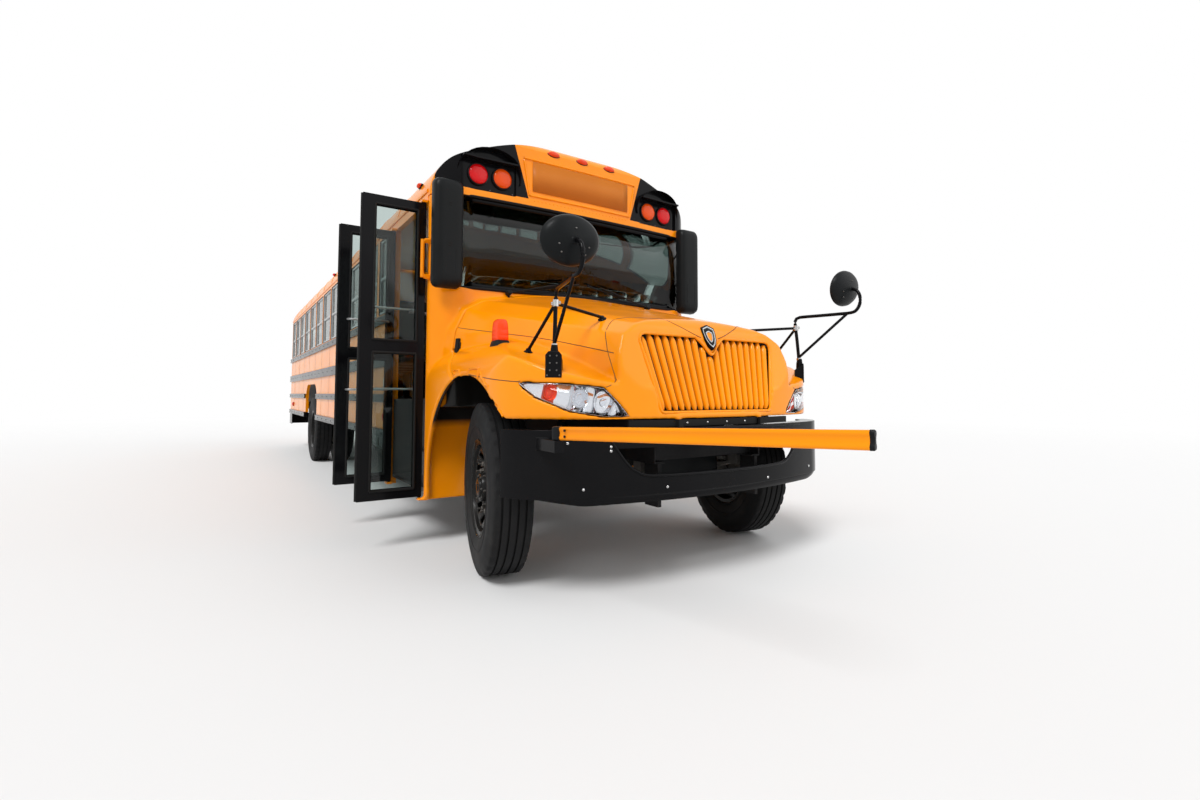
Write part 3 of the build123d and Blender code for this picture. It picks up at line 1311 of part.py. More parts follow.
def rear_rims(side):
    """Twin rear wheels on one hub."""
    inner = BEAD_R - RIM_THICK
    out = TWIN_PITCH / 2 + BEAD_W / 2
    ring = [(80, -12), (inner, -12), (inner, -out), (BEAD_R, -out)]
    ring += [(BEAD_R, out), (inner, out), (inner, 12), (80, 12)]
    rim = turned([(r, side * w) for r, w in ring], 0, 0, 0)
    rim += hub_bar(side * -150, side * 170, REAR_HUB_R)
    rim -= rod((0, side * -151, 0), (0, side * 110, 0), REAR_SPINDLE_R + RUN_CLEAR)
    return Pos(REAR_AXLE_X, side * REAR_HALF_TRACK, TYRE_R) * rim


def rear_tyres(side):
    """Twin rear tyres of one side."""
    return merged(
        [Pos(REAR_AXLE_X, 0, 0) * tyre(side * (REAR_HALF_TRACK + s * TWIN_PITCH / 2)) for s in (-1, 1)]
    )


def rear_axle():
    """Axle tube with its bowl, spring seats and spindles."""
    x, z = REAR_AXLE_X, TYRE_R
    end = REAR_HALF_TRACK - 160
    axle = bar((x, -end, z), (x, end, z), AXLE_TUBE_R, HUB_SIDES)
    axle += rod((x, -end, z), (x, -REAR_HALF_TRACK - 100, z), REAR_SPINDLE_R)
    axle += rod((x, end, z), (x, REAR_HALF_TRACK + 100, z), REAR_SPINDLE_R)
    axle += bar((x - 130, 0, z), (x + 150, 0, z), 185, HUB_SIDES)
    axle += bar((x + 150, 0, z), (x + 290, 0, z), 70, HUB_SIDES)
    for side in (-1, 1):
        a, b = sorted((side * SPRING_IN_Y, side * RAIL_OUT_Y))
        axle += block(x - 60, x + 60, a, b, z, REAR_SEAT_Z)
    return axle


def engine():
    """Engine and gearbox as one plain block."""
    return block(-600, 430, -330, 330, 640, 1330) + block(-1300, -600, -210, 210, 560, 930)


def drive_shaft():
    """Shaft from the gearbox to the rear axle."""
    return bar((-1301, 0, 640), (REAR_AXLE_X + 291, 0, TYRE_R + 10), 45, HUB_SIDES)


def radiator():
    """Radiator behind the grille."""
    return block(500, 580, -340, 340, RAIL_TOP_Z - RAIL_DEPTH + 20, 1350)


def fuel_tank():
    """Fuel tank on the curb side, strapped to the rail."""
    tank = block(-3900, -2700, 219 - BODY_HALF, -560, 470, 860)
    tank = chamfer(tank.edges().filter_by(Axis.X), 60)
    for x in (-3600, -3000):
        tank += block(x - 30, x + 30, -600, -RAIL_OUT_Y, 720, 800)
    return tank


def battery_box():
    """Battery box on the driver's side."""
    box = block(-2900, -2300, 600, BODY_HALF - 169, 520, 860)
    return box + block(-2640, -2560, RAIL_OUT_Y, 640, 740, 820)


def exhaust_pipe():
    """Straight pipe with its muffler, inside the rail, and its hangers."""
    y, z = 285.0, 640.0
    pipe = bar((-1420, y, z), (-10240, y, z), 42, HUB_SIDES)
    pipe += bar((-3300, y - 60, z - 70), (-4500, y - 60, z - 70), 115, HUB_SIDES)
    for x in (-1480.0, -9060.0):
        pipe += block(x - 20, x + 20, y - 15, y + 15, z, RAIL_TOP_Z - RAIL_DEPTH + RAIL_STEEL)
    return pipe


def mud_flaps():
    """Flaps behind the rear wheels."""
    x = REAR_AXLE_X - ARCH_HALF - 22
    flap = block(x - 10, x, WELL_IN_Y + 25, BODY_HALF - WALL - 10, 230, FLOOR_Z - FLOOR_THICK)
    return both(flap)


def build():
    """Every piece by name, at its station."""
    parts = {
        "chassis_frame": chassis_frame(),
        "tow_eyes": tow_eyes(),
        "leaf_springs": leaf_springs(),
        "front_axle_beam": front_axle_beam(),
        "rear_axle": rear_axle(),
        "drive_shaft": drive_shaft(),
        "engine": engine(),
        "radiator": radiator(),
        "fuel_tank": fuel_tank(),
        "battery_box": battery_box(),
        "exhaust_pipe": exhaust_pipe(),
        "mud_flaps": mud_flaps(),
        "front_bumper": front_bumper(),
        "rear_bumper": rear_bumper(),
        "body_floor": body_floor(),
        "left_wall": side_wall(1) + stop_bracket(),
        "right_wall": right_wall(),
        "rear_wall": rear_wall(),
        "roof": roof(),
        "front_cap": front_cap(),
        "cowl": cowl(),
        "windshield": windshield(),
        "window_sashes": window_sashes(),
        "window_glass": window_glass(),
        "rub_rails": rub_rails(),
        "roof_hatches": roof_hatches(),
        "lamp_panels": lamp_panels(),
        "red_lamps": red_lamps(),
        "amber_lamps": amber_lamps(),
        "side_mirrors": side_mirrors(),
        "wipers": wipers(),
        "dashboard": dashboard(),
        "steering_wheel": steering_wheel(),
        "seats": seats(),
        "seat_frames": seat_frames(),
        "driver_seat": driver_seat(),
        "grab_rails": grab_rails(),
        "hood": hood(),
        "grille": grille(),
        "head_lamps": head_lamps(),
        "turn_lamps": turn_lamps(),
        "crossview_mirrors": crossview_mirrors(),
        "entry_leaf_front": entry_leaf(FRONT_HINGE_X),
        "entry_glass_front": entry_glass(FRONT_HINGE_X),
        "entry_leaf_rear": entry_leaf(REAR_HINGE_X),
        "entry_glass_rear": entry_glass(REAR_HINGE_X),
        "rear_door": rear_door(),
        "rear_door_glass": rear_door_glass(),
        "stop_arm": stop_arm(),
        "crossing_arm": crossing_arm(),
    }
    for word, side in (("left", 1), ("right", -1)):
        parts[f"knuckle_{word}"] = knuckle(side)
        parts[f"front_tyre_{word}"] = steered(tyre(side * FRONT_HALF_TRACK), side)
        parts[f"front_rim_{word}"] = steered(front_rim(side), side)
        parts[f"rear_tyres_{word}"] = rear_tyres(side)
        parts[f"rear_rims_{word}"] = rear_rims(side)
    return parts


os.makedirs("parts", exist_ok=True)
for node, part in build().items():
    export_step(Pos(ORIGIN_SHIFT, 0, 0) * part, f"parts/{node}.step")
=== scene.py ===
"""School bus with a bonnet: finishes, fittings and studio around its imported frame.

Stations, offsets and heights are millimetres from the front axle's centre line, the
bus's middle and the ground, as a body builder writes them; at() turns them into
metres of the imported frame. Profiles that are turned, radii of bars and dots, edge
rounding and wall thicknesses are metres.
"""

import json
import logging
import math
from dataclasses import dataclass, field, replace
from enum import Enum
from typing import Callable, ClassVar, Iterable, Optional, Sequence

import bmesh
import bpy
from mathutils import Matrix, Vector
from mathutils.bvhtree import BVHTree

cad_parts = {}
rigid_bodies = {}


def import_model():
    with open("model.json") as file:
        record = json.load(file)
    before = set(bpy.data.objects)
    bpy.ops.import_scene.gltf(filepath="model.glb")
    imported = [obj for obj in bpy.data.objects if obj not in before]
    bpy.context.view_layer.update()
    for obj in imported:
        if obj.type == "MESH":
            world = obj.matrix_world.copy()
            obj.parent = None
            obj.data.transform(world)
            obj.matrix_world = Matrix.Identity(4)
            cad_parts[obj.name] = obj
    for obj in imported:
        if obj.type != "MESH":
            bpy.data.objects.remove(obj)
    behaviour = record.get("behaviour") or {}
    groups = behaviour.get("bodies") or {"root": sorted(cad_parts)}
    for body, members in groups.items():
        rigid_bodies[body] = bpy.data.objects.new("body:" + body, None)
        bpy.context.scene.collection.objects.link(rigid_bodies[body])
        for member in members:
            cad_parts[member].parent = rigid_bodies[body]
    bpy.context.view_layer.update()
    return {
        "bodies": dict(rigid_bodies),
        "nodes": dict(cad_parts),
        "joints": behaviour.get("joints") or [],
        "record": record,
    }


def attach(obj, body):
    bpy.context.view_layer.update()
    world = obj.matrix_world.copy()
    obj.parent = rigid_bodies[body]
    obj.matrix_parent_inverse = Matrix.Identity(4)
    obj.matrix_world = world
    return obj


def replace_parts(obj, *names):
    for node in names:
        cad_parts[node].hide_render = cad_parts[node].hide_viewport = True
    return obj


LOG = logging.getLogger("school_bus")

MM = 0.001
STATION_X = 4020.0
HOOD_MIDDLE = (3.92, 0.0, 0.7)
AXLE_Z = 515.0
REAR_AXLE_X = -7087.0
WALL_Y = 1219.0
REAR_X = -10253.0
FRONT_X = -865.0
ENTRY_X = -1909.0
WINDOW_PITCH = 711.0
HATCHES_X = (-3500, -8000)
SIDES = ((1, "left"), (-1, "right"))
AHEAD, ASTERN, UP = Vector((1, 0, 0)), Vector((-1, 0, 0)), Vector((0, 0, 1))

Colour = tuple[float, float, float]
Point = tuple[float, float, float]
Profile = Sequence[tuple[float, float]]


# Places and curves


def at(x: float, y: float, z: float) -> Vector:
    """A station in millimetres as a point of the frame in metres."""
    return Vector(((STATION_X + x) * MM, y * MM, z * MM))


def facing(origin: Vector, normal: Vector, up: Vector = UP) -> Matrix:
    """Placement whose Z axis is normal.

    Args:
        origin: where it sits, in metres.
        normal: direction of its Z axis.
        up: direction that its Y axis leans to.

    Returns:
        The placement as a matrix.
    """
    z_axis = normal.normalized()
    x_axis = up.cross(z_axis)
    if x_axis.length < 1e-4:
        x_axis = Vector((0, 1, 0)).cross(z_axis)
    x_axis.normalize()
    turn = Matrix((x_axis, z_axis.cross(x_axis), z_axis)).transposed().to_4x4()
    return Matrix.Translation(origin) @ turn


def around(place: Matrix, circle: float, count: int) -> list[Matrix]:
    """Placements spread evenly on a circle, in metres, about a placement's axis."""
    angles = (2 * math.pi * i / count for i in range(count))
    return [place @ Matrix.Translation((circle * math.cos(a), circle * math.sin(a), 0)) for a in angles]


def mirrored(points: Iterable[Point], side: int) -> list[Point]:
    """Points written for the driver's side, on the side asked for."""
    return [(x, side * y, z) for x, y, z in points]


def rounded(half_w: float, half_h: float, corner: float, steps: int) -> list[tuple[float, float]]:
    """Outline of a rectangle with rounded corners, about its middle.

    Args:
        half_w: half its width.
        half_h: half its height.
        corner: radius of its corners.
        steps: points on each corner.

    Returns:
        The outline's points, as across and up.
    """
    outline = []
    for quarter, (sx, sy) in enumerate(((1, 1), (-1, 1), (-1, -1), (1, -1))):
        for k in range(steps):
            a = math.pi / 2 * (quarter + k / (steps - 1))
            outline.append((sx * (half_w - corner) + corner * math.cos(a),
                            sy * (half_h - corner) + corner * math.sin(a)))
    return outline


def swept(y: float, front: float, radius: float) -> float:
    """Station of a face that curves back from its front, at an offset, in millimetres."""
    return front - radius + math.sqrt(max(radius**2 - y * y, 0.0))


def nose_x(y: float, z: float) -> float:
    """Station of the hood's leaning nose at an offset and height, in millimetres."""
    lean = 801.0 + (1405.0 - z) * 109.0 / 497.0
    return min(lean, swept(y, 910.0, 3339.0))


def front_x(y: float, inset: float = 0.0) -> float:
    """Station of the body's curved front.

    Args:
        y: offset from the middle, in millimetres.
        inset: how far behind the face, in millimetres.

    Returns:
        The station in millimetres.
    """
    y = abs(y)
    plan = ((0, -660), (310, -663), (620, -673), (930, -690), (1040, -706), (1140, -735), (1195, -775),
            (WALL_Y, -825))
    for (y0, x0), (y1, x1) in zip(plan, plan[1:]):
        if y <= y1:
            return x0 + (x1 - x0) * (y - y0) / (y1 - y0) - inset
    return plan[-1][1] - inset


def on_front(y: float, z: float, inset: float) -> Vector:
    """Point of the body's curved front, or so many millimetres behind it."""
    return at(front_x(y, inset), y, z)


def smooth_line(points: Sequence[Vector], spacing: float) -> list[Vector]:
    """Rounded line through points.

    Args:
        points: the points it passes.
        spacing: length of its steps, in metres.

    Returns:
        Evenly spread points of the line.
    """
    line: list[Vector] = []
    for i in range(len(points) - 1):
        before, after = points[max(i - 1, 0)], points[min(i + 2, len(points) - 1)]
        start, end = points[i], points[i + 1]
        steps = max(1, round((end - start).length / spacing))
        for t in (k / steps for k in range(steps)):
            line.append(
                0.5 * (2 * start + (end - before) * t + (2 * before - 5 * start + 4 * end - after) * t * t
                       + (3 * start - before - 3 * end + after) * t ** 3)
            )
    line.append(points[-1].copy())
    return line


# Effects shared by the finishes


class Socket(Enum):
    """Kinds of socket on an effect group."""

    VECTOR = "NodeSocketVector"
    COLOUR = "NodeSocketColor"
    VALUE = "NodeSocketFloat"


class Grain(Enum):
    """Fine relief of a surface."""

    PEEL = "sprayed_peel"
    BRUSHED = "brushed_lines"
    PEBBLE = "pebbled_skin"
    CAST = "cast_skin"
    PRISM = "lens_prisms"


def add_node(
    tree: bpy.types.NodeTree, kind: str, inputs: dict[object, object], **settings: object
) -> bpy.types.Node:
    """Adds a shader node to a tree.

    Args:
        tree: the tree.
        kind: Blender's name of the node, after ShaderNode.
        inputs: a value, or a socket to link, for each input by label or number.
        settings: its other settings, made before its inputs.

    Returns:
        The new node.
    """
    node = tree.nodes.new(f"ShaderNode{kind}")
    for setting, value in settings.items():
        setattr(node, setting, value)
    for label, value in inputs.items():
        if isinstance(value, bpy.types.NodeSocket):
            tree.links.new(value, node.inputs[label])
        else:
            node.inputs[label].default_value = value
    return node


class EffectGroup:
    """A shader node group under construction, over the place in its Vector input."""

    def __init__(
        self, name: str, output: str, colours: Sequence[str] = (), values: Sequence[str] = ()
    ) -> None:
        """Starts the group with its named sockets.

        Args:
            name: the group's name.
            output: label of its one output, which is a colour where it is Colour.
            colours: labels of its colour inputs.
            values: labels of its number inputs.
        """
        self.tree = bpy.data.node_groups.new(name, "ShaderNodeTree")
        self.output = output
        given = [("Vector", Socket.VECTOR), *((label, Socket.COLOUR) for label in colours),
                 *((label, Socket.VALUE) for label in values)]
        for label, kind in given:
            self.tree.interface.new_socket(label, in_out="INPUT", socket_type=kind.value)
        kind = Socket.COLOUR if output == "Colour" else Socket.VALUE
        self.tree.interface.new_socket(output, in_out="OUTPUT", socket_type=kind.value)
        self.source = self.tree.nodes.new("NodeGroupInput")
        self.sink = self.tree.nodes.new("NodeGroupOutput")

    def __getitem__(self, label: str) -> bpy.types.NodeSocket:
        """The group's own input of that name."""
        return self.source.outputs[label]

    def node(self, kind: str, inputs: dict[object, object], **settings: object) -> bpy.types.Node:
        """Adds a node to the group, as add_node does."""
        return add_node(self.tree, kind, inputs, **settings)

    def noise(self, scale: object, detail: float, stretch: Optional[Point] = None) -> bpy.types.NodeSocket:
        """Noise over the group's Vector input.

        Args:
            scale: a number, or a socket that gives it.
            detail: octaves of the noise.
            stretch: factors along the three axes, for lines.

        Returns:
            The noise's value socket.
        """
        vector = self["Vector"]
        if stretch:
            vector = self.node("Mapping", {"Vector": vector, "Scale": stretch}).outputs["Vector"]
        return self.node("TexNoise", {"Vector": vector, "Scale": scale, "Detail": detail}).outputs["Fac"]

    def math(self, operation: str, first: object, second: object, clamp: bool = False) -> bpy.types.NodeSocket:
        """Result of a math node over numbers or sockets."""
        return self.node("Math", {0: first, 1: second}, operation=operation, use_clamp=clamp).outputs[0]

    def product(self, *shares: bpy.types.NodeSocket) -> bpy.types.NodeSocket:
        """Product of shares between 0 and 1."""
        result = shares[0]
        for share in shares[1:]:
            result = self.math("MULTIPLY", result, share, clamp=True)
        return result

    def band(self, value: bpy.types.NodeSocket, low: object, high: object) -> bpy.types.NodeSocket:
        """The value spread from 0 at low to 1 at high, clamped."""
        return self.node("MapRange", {"Value": value, "From Min": low, "From Max": high}).outputs["Result"]

    def finish(self, share: bpy.types.NodeSocket, other: str) -> bpy.types.NodeTree:
        """Puts out the Colour input mixed with the other colour input by share."""
        mix = self.node("Mix", {"Factor": share, 6: self["Colour"], 7: self[other]}, data_type="RGBA")
        return self.put_out(mix.outputs[2])

    def put_out(self, result: bpy.types.NodeSocket) -> bpy.types.NodeTree:
        """Links the result to the group's output and hands the group over."""
        self.tree.links.new(result, self.sink.inputs[self.output])
        return self.tree


class Effects:
    """Every effect group, built once."""

    def __init__(self) -> None:
        """Builds the groups."""
        self.tone = self._tone()
        self.dust = self._dust()
        self.sheen = self._sheen()
        self.scuffs = self._scuffs()
        self.painted_shade = self._painted_shade()
        self.grains = {grain: self._grain(grain) for grain in Grain}

    def _tone(self) -> bpy.types.NodeTree:
        """Slow drift between two tones of a colour."""
        group = EffectGroup("tone_drift", "Colour", ("Colour", "Shade"), ("Scale",))
        return group.finish(group.band(group.noise(group["Scale"], 4.0), 0.35, 0.68), "Shade")

    def _dust(self) -> bpy.types.NodeTree:
        """Road dust that thins out with height."""
        group = EffectGroup("road_dust", "Colour", ("Colour", "Dust"), ("Amount", "Top"))
        height = group.node("SeparateXYZ", {0: group["Vector"]}).outputs["Z"]
        low = group.band(height, group["Top"], 0.0)
        cloud = group.band(group.noise(5.0, 6.0), 0.3, 0.75)
        fine = group.band(group.noise(70.0, 3.0), 0.2, 0.9)
        return group.finish(group.product(low, cloud, fine, group["Amount"]), "Dust")

    def _sheen(self) -> bpy.types.NodeTree:
        """Roughness that varies from Low to High."""
        group = EffectGroup("uneven_sheen", "Roughness", values=("Low", "High", "Scale"))
        share = group.band(group.noise(group["Scale"], 5.0), 0.3, 0.7)
        span = group.math("SUBTRACT", group["High"], group["Low"])
        return group.put_out(group.math("ADD", group["Low"], group.math("MULTIPLY", share, span)))

    def _scuffs(self) -> bpy.types.NodeTree:
        """Small scratches and stone marks that show another colour."""
        group = EffectGroup("scuff_marks", "Colour", ("Colour", "Bare"), ("Amount",))
        lines = group.band(group.noise(26.0, 5.0, (1.0, 9.0, 3.0)), 0.68, 0.74)
        patches = group.band(group.noise(3.0, 2.0), 0.45, 0.65)
        return group.finish(group.product(lines, patches, group["Amount"]), "Bare")

    def _painted_shade(self) -> bpy.types.NodeTree:
        """Painted shade: another colour, near black, on faces that look towards the middle of the hood, between two
        heights, standing in for the shade inside and under the hood.
        """
        group = EffectGroup("painted_cavity_shade", "Colour", ("Colour", "Lining"), ("Low", "High"))
        away = group.node("VectorMath", {0: group["Vector"], 1: HOOD_MIDDLE}, operation="SUBTRACT")
        normal = group.node("TexCoord", {}).outputs["Normal"]
        outward = group.node("VectorMath", {0: away.outputs["Vector"], 1: normal}, operation="DOT_PRODUCT")
        height = group.node("SeparateXYZ", {0: group["Vector"]}).outputs["Z"]
        above = group.band(height, group["Low"], group.math("ADD", group["Low"], 0.06))
        below = group.band(height, group["High"], group.math("SUBTRACT", group["High"], 0.14))
        # faces turned in towards the hood's middle get the painted shade
        inward = group.band(outward.outputs["Value"], 0.0, -0.04)
        return group.finish(group.product(inward, above, below), "Lining")

    def _grain(self, grain: Grain) -> bpy.types.NodeTree:
        """Height of fine relief.

        Args:
            grain: the kind of relief.

        Returns:
            Its group.
        """
        group = EffectGroup(grain.value, "Height", values=("Scale",))
        scale = group["Scale"]
        over = {"Vector": group["Vector"], "Scale": scale}
        if grain is Grain.BRUSHED:
            return group.put_out(group.noise(scale, 3.0, (1.0, 1.0, 22.0)))
        if grain is Grain.PEBBLE:
            return group.put_out(group.node("TexVoronoi", over, feature="SMOOTH_F1").outputs["Distance"])
        if grain is Grain.CAST:
            coarse = group.noise(group.math("MULTIPLY", scale, 0.2), 2.0)
            return group.put_out(group.math("ADD", group.noise(scale, 8.0), coarse))
        if grain is Grain.PRISM:
            return group.put_out(group.node("TexWave", over, bands_direction="Y").outputs["Fac"])
        return group.put_out(group.noise(scale, 1.0))


# Finishes

ROAD_DUST = (0.33, 0.28, 0.22)
BARE_METAL = (0.3, 0.3, 0.3)


@dataclass(frozen=True)
class Finish:
    """A finish: two tones, sheen, fine relief, dust and scuffs; some also carry painted shade."""

    slot: str
    colour: Colour
    shade: Colour
    rough: tuple[float, float]
    metallic: float = 0.0
    coat: float = 0.0
    tone_scale: float = 1.2
    grain: Grain = Grain.PEEL
    grain_scale: float = 260.0
    relief: float = 0.02
    dust: float = 0.25
    dust_top: float = 1.1
    scuffed: float = 0.0
    clear: float = 0.0
    ior: float = 1.5
    glow: float = 0.0
    # colour of the painted shade, and the heights between which it is painted
    painted_shade: Optional[Colour] = None
    shade_band: tuple[float, float] = (0.0, 3.0)

    def material(self, name: str, effects: Effects) -> bpy.types.Material:
        """Builds the material.

        Args:
            name: the material's name.
            effects: the shared node groups.

        Returns:
            The new material.
        """
        made = bpy.data.materials.new(name)
        made.use_nodes = True
        tree = made.node_tree
        place = add_node(tree, "TexCoord", {}).outputs["Object"]

        def effect(group: bpy.types.NodeTree, **values: object) -> bpy.types.NodeSocket:
            """Output of an effect group over the object's own coordinates."""
            inputs = {label: (*v, 1.0) if isinstance(v, tuple) else v for label, v in values.items()}
            return add_node(tree, "Group", {"Vector": place, **inputs}, node_tree=group).outputs[0]

        colour = effect(effects.tone, Colour=self.colour, Shade=self.shade, Scale=self.tone_scale)
        if self.scuffed > 0:
            colour = effect(effects.scuffs, Colour=colour, Bare=BARE_METAL, Amount=self.scuffed)
        if self.dust > 0:
            colour = effect(effects.dust, Colour=colour, Dust=ROAD_DUST, Amount=self.dust, Top=self.dust_top)
        # painted shade on the hood's inner faces and a painted shadow band on the cowl under the hood
        if self.painted_shade:
            low, high = self.shade_band
            colour = effect(effects.painted_shade, Colour=colour, Lining=self.painted_shade, Low=low, High=high)
        sheen = effect(effects.sheen, Low=self.rough[0], High=self.rough[1], Scale=self.tone_scale * 4)
        height = effect(effects.grains[self.grain], Scale=self.grain_scale)
        bump = add_node(tree, "Bump", {"Strength": self.relief, "Distance": 0.002, "Height": height})
        shader = tree.nodes["Principled BSDF"]
        tree.links.new(colour, shader.inputs["Base Color"])
        tree.links.new(sheen, shader.inputs["Roughness"])
        tree.links.new(bump.outputs["Normal"], shader.inputs["Normal"])
        shader.inputs["Metallic"].default_value = self.metallic
        shader.inputs["Coat Weight"].default_value = self.coat
        shader.inputs["Coat Roughness"].default_value = 0.05
        shader.inputs["Transmission Weight"].default_value = self.clear
        shader.inputs["IOR"].default_value = self.ior
        if self.glow > 0:
            tree.links.new(colour, shader.inputs["Emission Color"])
            shader.inputs["Emission Strength"].default_value = self.glow
        made.diffuse_color = (*self.colour, 1.0)
        return made


YELLOW = (0.95, 0.3, 0.001)
YELLOW_SHADE = (0.88, 0.255, 0.001)
# near black of the painted shade inside the hood and the painted shadow under it
PAINTED_SHADE_BLACK = (0.012, 0.011, 0.01)
PAINT = Finish("body_yellow", YELLOW, YELLOW_SHADE, (0.16, 0.26), coat=0.12, ior=1.28, dust=0.1, scuffed=0.1)
LENS = Finish("lamp_red", (0.8, 0.006, 0.01), (0.6, 0.003, 0.005), (0.08, 0.14), coat=0.1, ior=1.28,
              grain=Grain.PRISM, grain_scale=22, relief=0.25, dust=0.0, clear=0.25, glow=0.12)
GLASS = Finish("clear_glass", (0.5, 0.58, 0.56), (0.47, 0.55, 0.53), (0.005, 0.02), clear=1.0, ior=1.3,
               relief=0.0, dust=0.0)
FINISHES: dict[str, Finish] = {
    "body_yellow": PAINT,
    # the hood and cowl carry painted shade; the cowl's is a painted shadow band under the hood
    "hood_yellow_painted_shade": replace(PAINT, painted_shade=PAINTED_SHADE_BLACK),
    "cowl_yellow_painted_shadow": replace(PAINT, painted_shade=PAINTED_SHADE_BLACK, shade_band=(0.84, 1.36)),
    "sign_bronze": Finish("body_yellow", (0.55, 0.17, 0.02), (0.47, 0.14, 0.018), (0.35, 0.5), ior=1.2, dust=0),
    "black_paint": Finish("black_paint", (0.003, 0.003, 0.0035), (0.005, 0.005, 0.006), (0.1, 0.2),
                          coat=0.04, ior=1.16, dust=0.02, scuffed=0.04),
    "chassis_black": Finish("chassis_black", (0.008, 0.008, 0.009), (0.013, 0.012, 0.012), (0.42, 0.62),
                            ior=1.2, grain=Grain.CAST, grain_scale=90, relief=0.08, dust=0.1, dust_top=1.2),
    "black_plastic": Finish("black_plastic", (0.006, 0.007, 0.0075), (0.01, 0.011, 0.012), (0.3, 0.44),
                            ior=1.2, grain=Grain.PEBBLE, grain_scale=700, relief=0.06, dust=0.02),
    "seal_rubber": Finish("flap_rubber", (0.008, 0.008, 0.008), (0.013, 0.013, 0.013), (0.5, 0.68),
                          ior=1.2, grain=Grain.CAST, grain_scale=160, relief=0.05, dust=0.04),
    "flap_rubber": Finish("flap_rubber", (0.018, 0.018, 0.018), (0.03, 0.028, 0.026), (0.6, 0.8),
                          grain=Grain.CAST, grain_scale=120, relief=0.12, dust=0.6),
    "tyre_rubber": Finish("tyre_rubber", (0.008, 0.0085, 0.009), (0.013, 0.013, 0.014), (0.5, 0.7),
                          ior=1.2, grain=Grain.CAST, grain_scale=220, relief=0.1, dust=0.05, dust_top=1.3),
    "wheel_black": Finish("wheel_black", (0.006, 0.006, 0.006), (0.01, 0.01, 0.01), (0.2, 0.34),
                          coat=0.05, ior=1.2, dust=0.08, dust_top=1.3, scuffed=0.15),
    "lug_steel": Finish("steel", (0.16, 0.155, 0.15), (0.1, 0.09, 0.08), (0.3, 0.5), metallic=0.9, dust=0.3),
    "bright_steel": Finish("steel", (0.5, 0.5, 0.5), (0.42, 0.42, 0.42), (0.2, 0.3), metallic=1.0, dust=0.0),
    "chrome": Finish("steel", (0.82, 0.83, 0.85), (0.78, 0.79, 0.81), (0.04, 0.1), metallic=1.0, dust=0.0,
                     relief=0.004),
    "mirror_face": Finish("steel", (0.88, 0.89, 0.9), (0.86, 0.87, 0.88), (0.02, 0.04), metallic=1.0,
                          dust=0.0, relief=0.0),
    "steel": Finish("steel", (0.42, 0.41, 0.4), (0.3, 0.27, 0.24), (0.35, 0.55), metallic=0.9,
                    grain=Grain.BRUSHED, grain_scale=90, relief=0.05, dust=0.4, dust_top=1.2),
    "sash_metal": Finish("sash_metal", (0.55, 0.56, 0.56), (0.46, 0.47, 0.47), (0.28, 0.42), metallic=0.85,
                         grain=Grain.BRUSHED, grain_scale=120, relief=0.03, dust=0.0),
    "cast_metal": Finish("cast_metal", (0.06, 0.058, 0.055), (0.11, 0.085, 0.065), (0.55, 0.78), metallic=0.5,
                         grain=Grain.CAST, grain_scale=70, relief=0.2, dust=0.6, dust_top=1.3),
    "floor_skin": Finish("floor_skin", (0.05, 0.05, 0.052), (0.075, 0.075, 0.075), (0.5, 0.7),
                         grain=Grain.CAST, grain_scale=150, relief=0.1, dust=0.3),
    "seat_vinyl": Finish("seat_vinyl", (0.055, 0.075, 0.065), (0.075, 0.1, 0.085), (0.38, 0.52),
                         grain=Grain.PEBBLE, grain_scale=420, relief=0.16, dust=0.0, tone_scale=4.0),
    "lamp_red": LENS,
    "lamp_amber": replace(LENS, slot="lamp_amber", colour=(0.95, 0.11, 0.003), shade=(0.8, 0.07, 0.002)),
    "lamp_orange": replace(LENS, slot="lamp_amber", colour=(0.98, 0.08, 0.006), shade=(0.85, 0.05, 0.004),
                           grain_scale=30, relief=0.3, clear=0.3, glow=0.1),
    "lamp_clear": replace(GLASS, slot="lamp_clear", colour=(0.93, 0.94, 0.96), shade=(0.9, 0.91, 0.93),
                          rough=(0.01, 0.03), relief=0.002),
    "clear_glass": GLASS,
    "shade_glass": replace(GLASS, colour=(0.12, 0.165, 0.155), shade=(0.11, 0.15, 0.14), ior=1.35),
    "arm_yellow": Finish("arm_yellow", YELLOW, YELLOW_SHADE, (0.28, 0.4), ior=1.28, dust=0.0, relief=0.03),
    "stop_red": Finish("stop_red", (0.62, 0.012, 0.014), (0.52, 0.01, 0.012), (0.25, 0.36), dust=0.0),
    "sheet_white": Finish("stop_red", (0.82, 0.82, 0.8), (0.76, 0.76, 0.74), (0.3, 0.42), dust=0.0),
    "seam_dark": Finish("body_yellow", (0.1, 0.035, 0.004), (0.07, 0.025, 0.003), (0.6, 0.75), dust=0.0),
    # near-black sheet behind the grille's bars, a painted shade
    "shade_sheet_black": Finish("chassis_black", (0.004, 0.004, 0.004), (0.006, 0.006, 0.006), (0.75, 0.9), dust=0.0),
}


class Palette:
    """Materials by the name of their finish, made when first asked for."""

    def __init__(self) -> None:
        """Builds the shared effects."""
        self.effects = Effects()
        self.made: dict[str, bpy.types.Material] = {}

    def __getitem__(self, name: str) -> bpy.types.Material:
        """The material of that finish."""
        if name not in self.made:
            self.made[name] = FINISHES[name].material(name, self.effects)
        return self.made[name]


# Mesh making


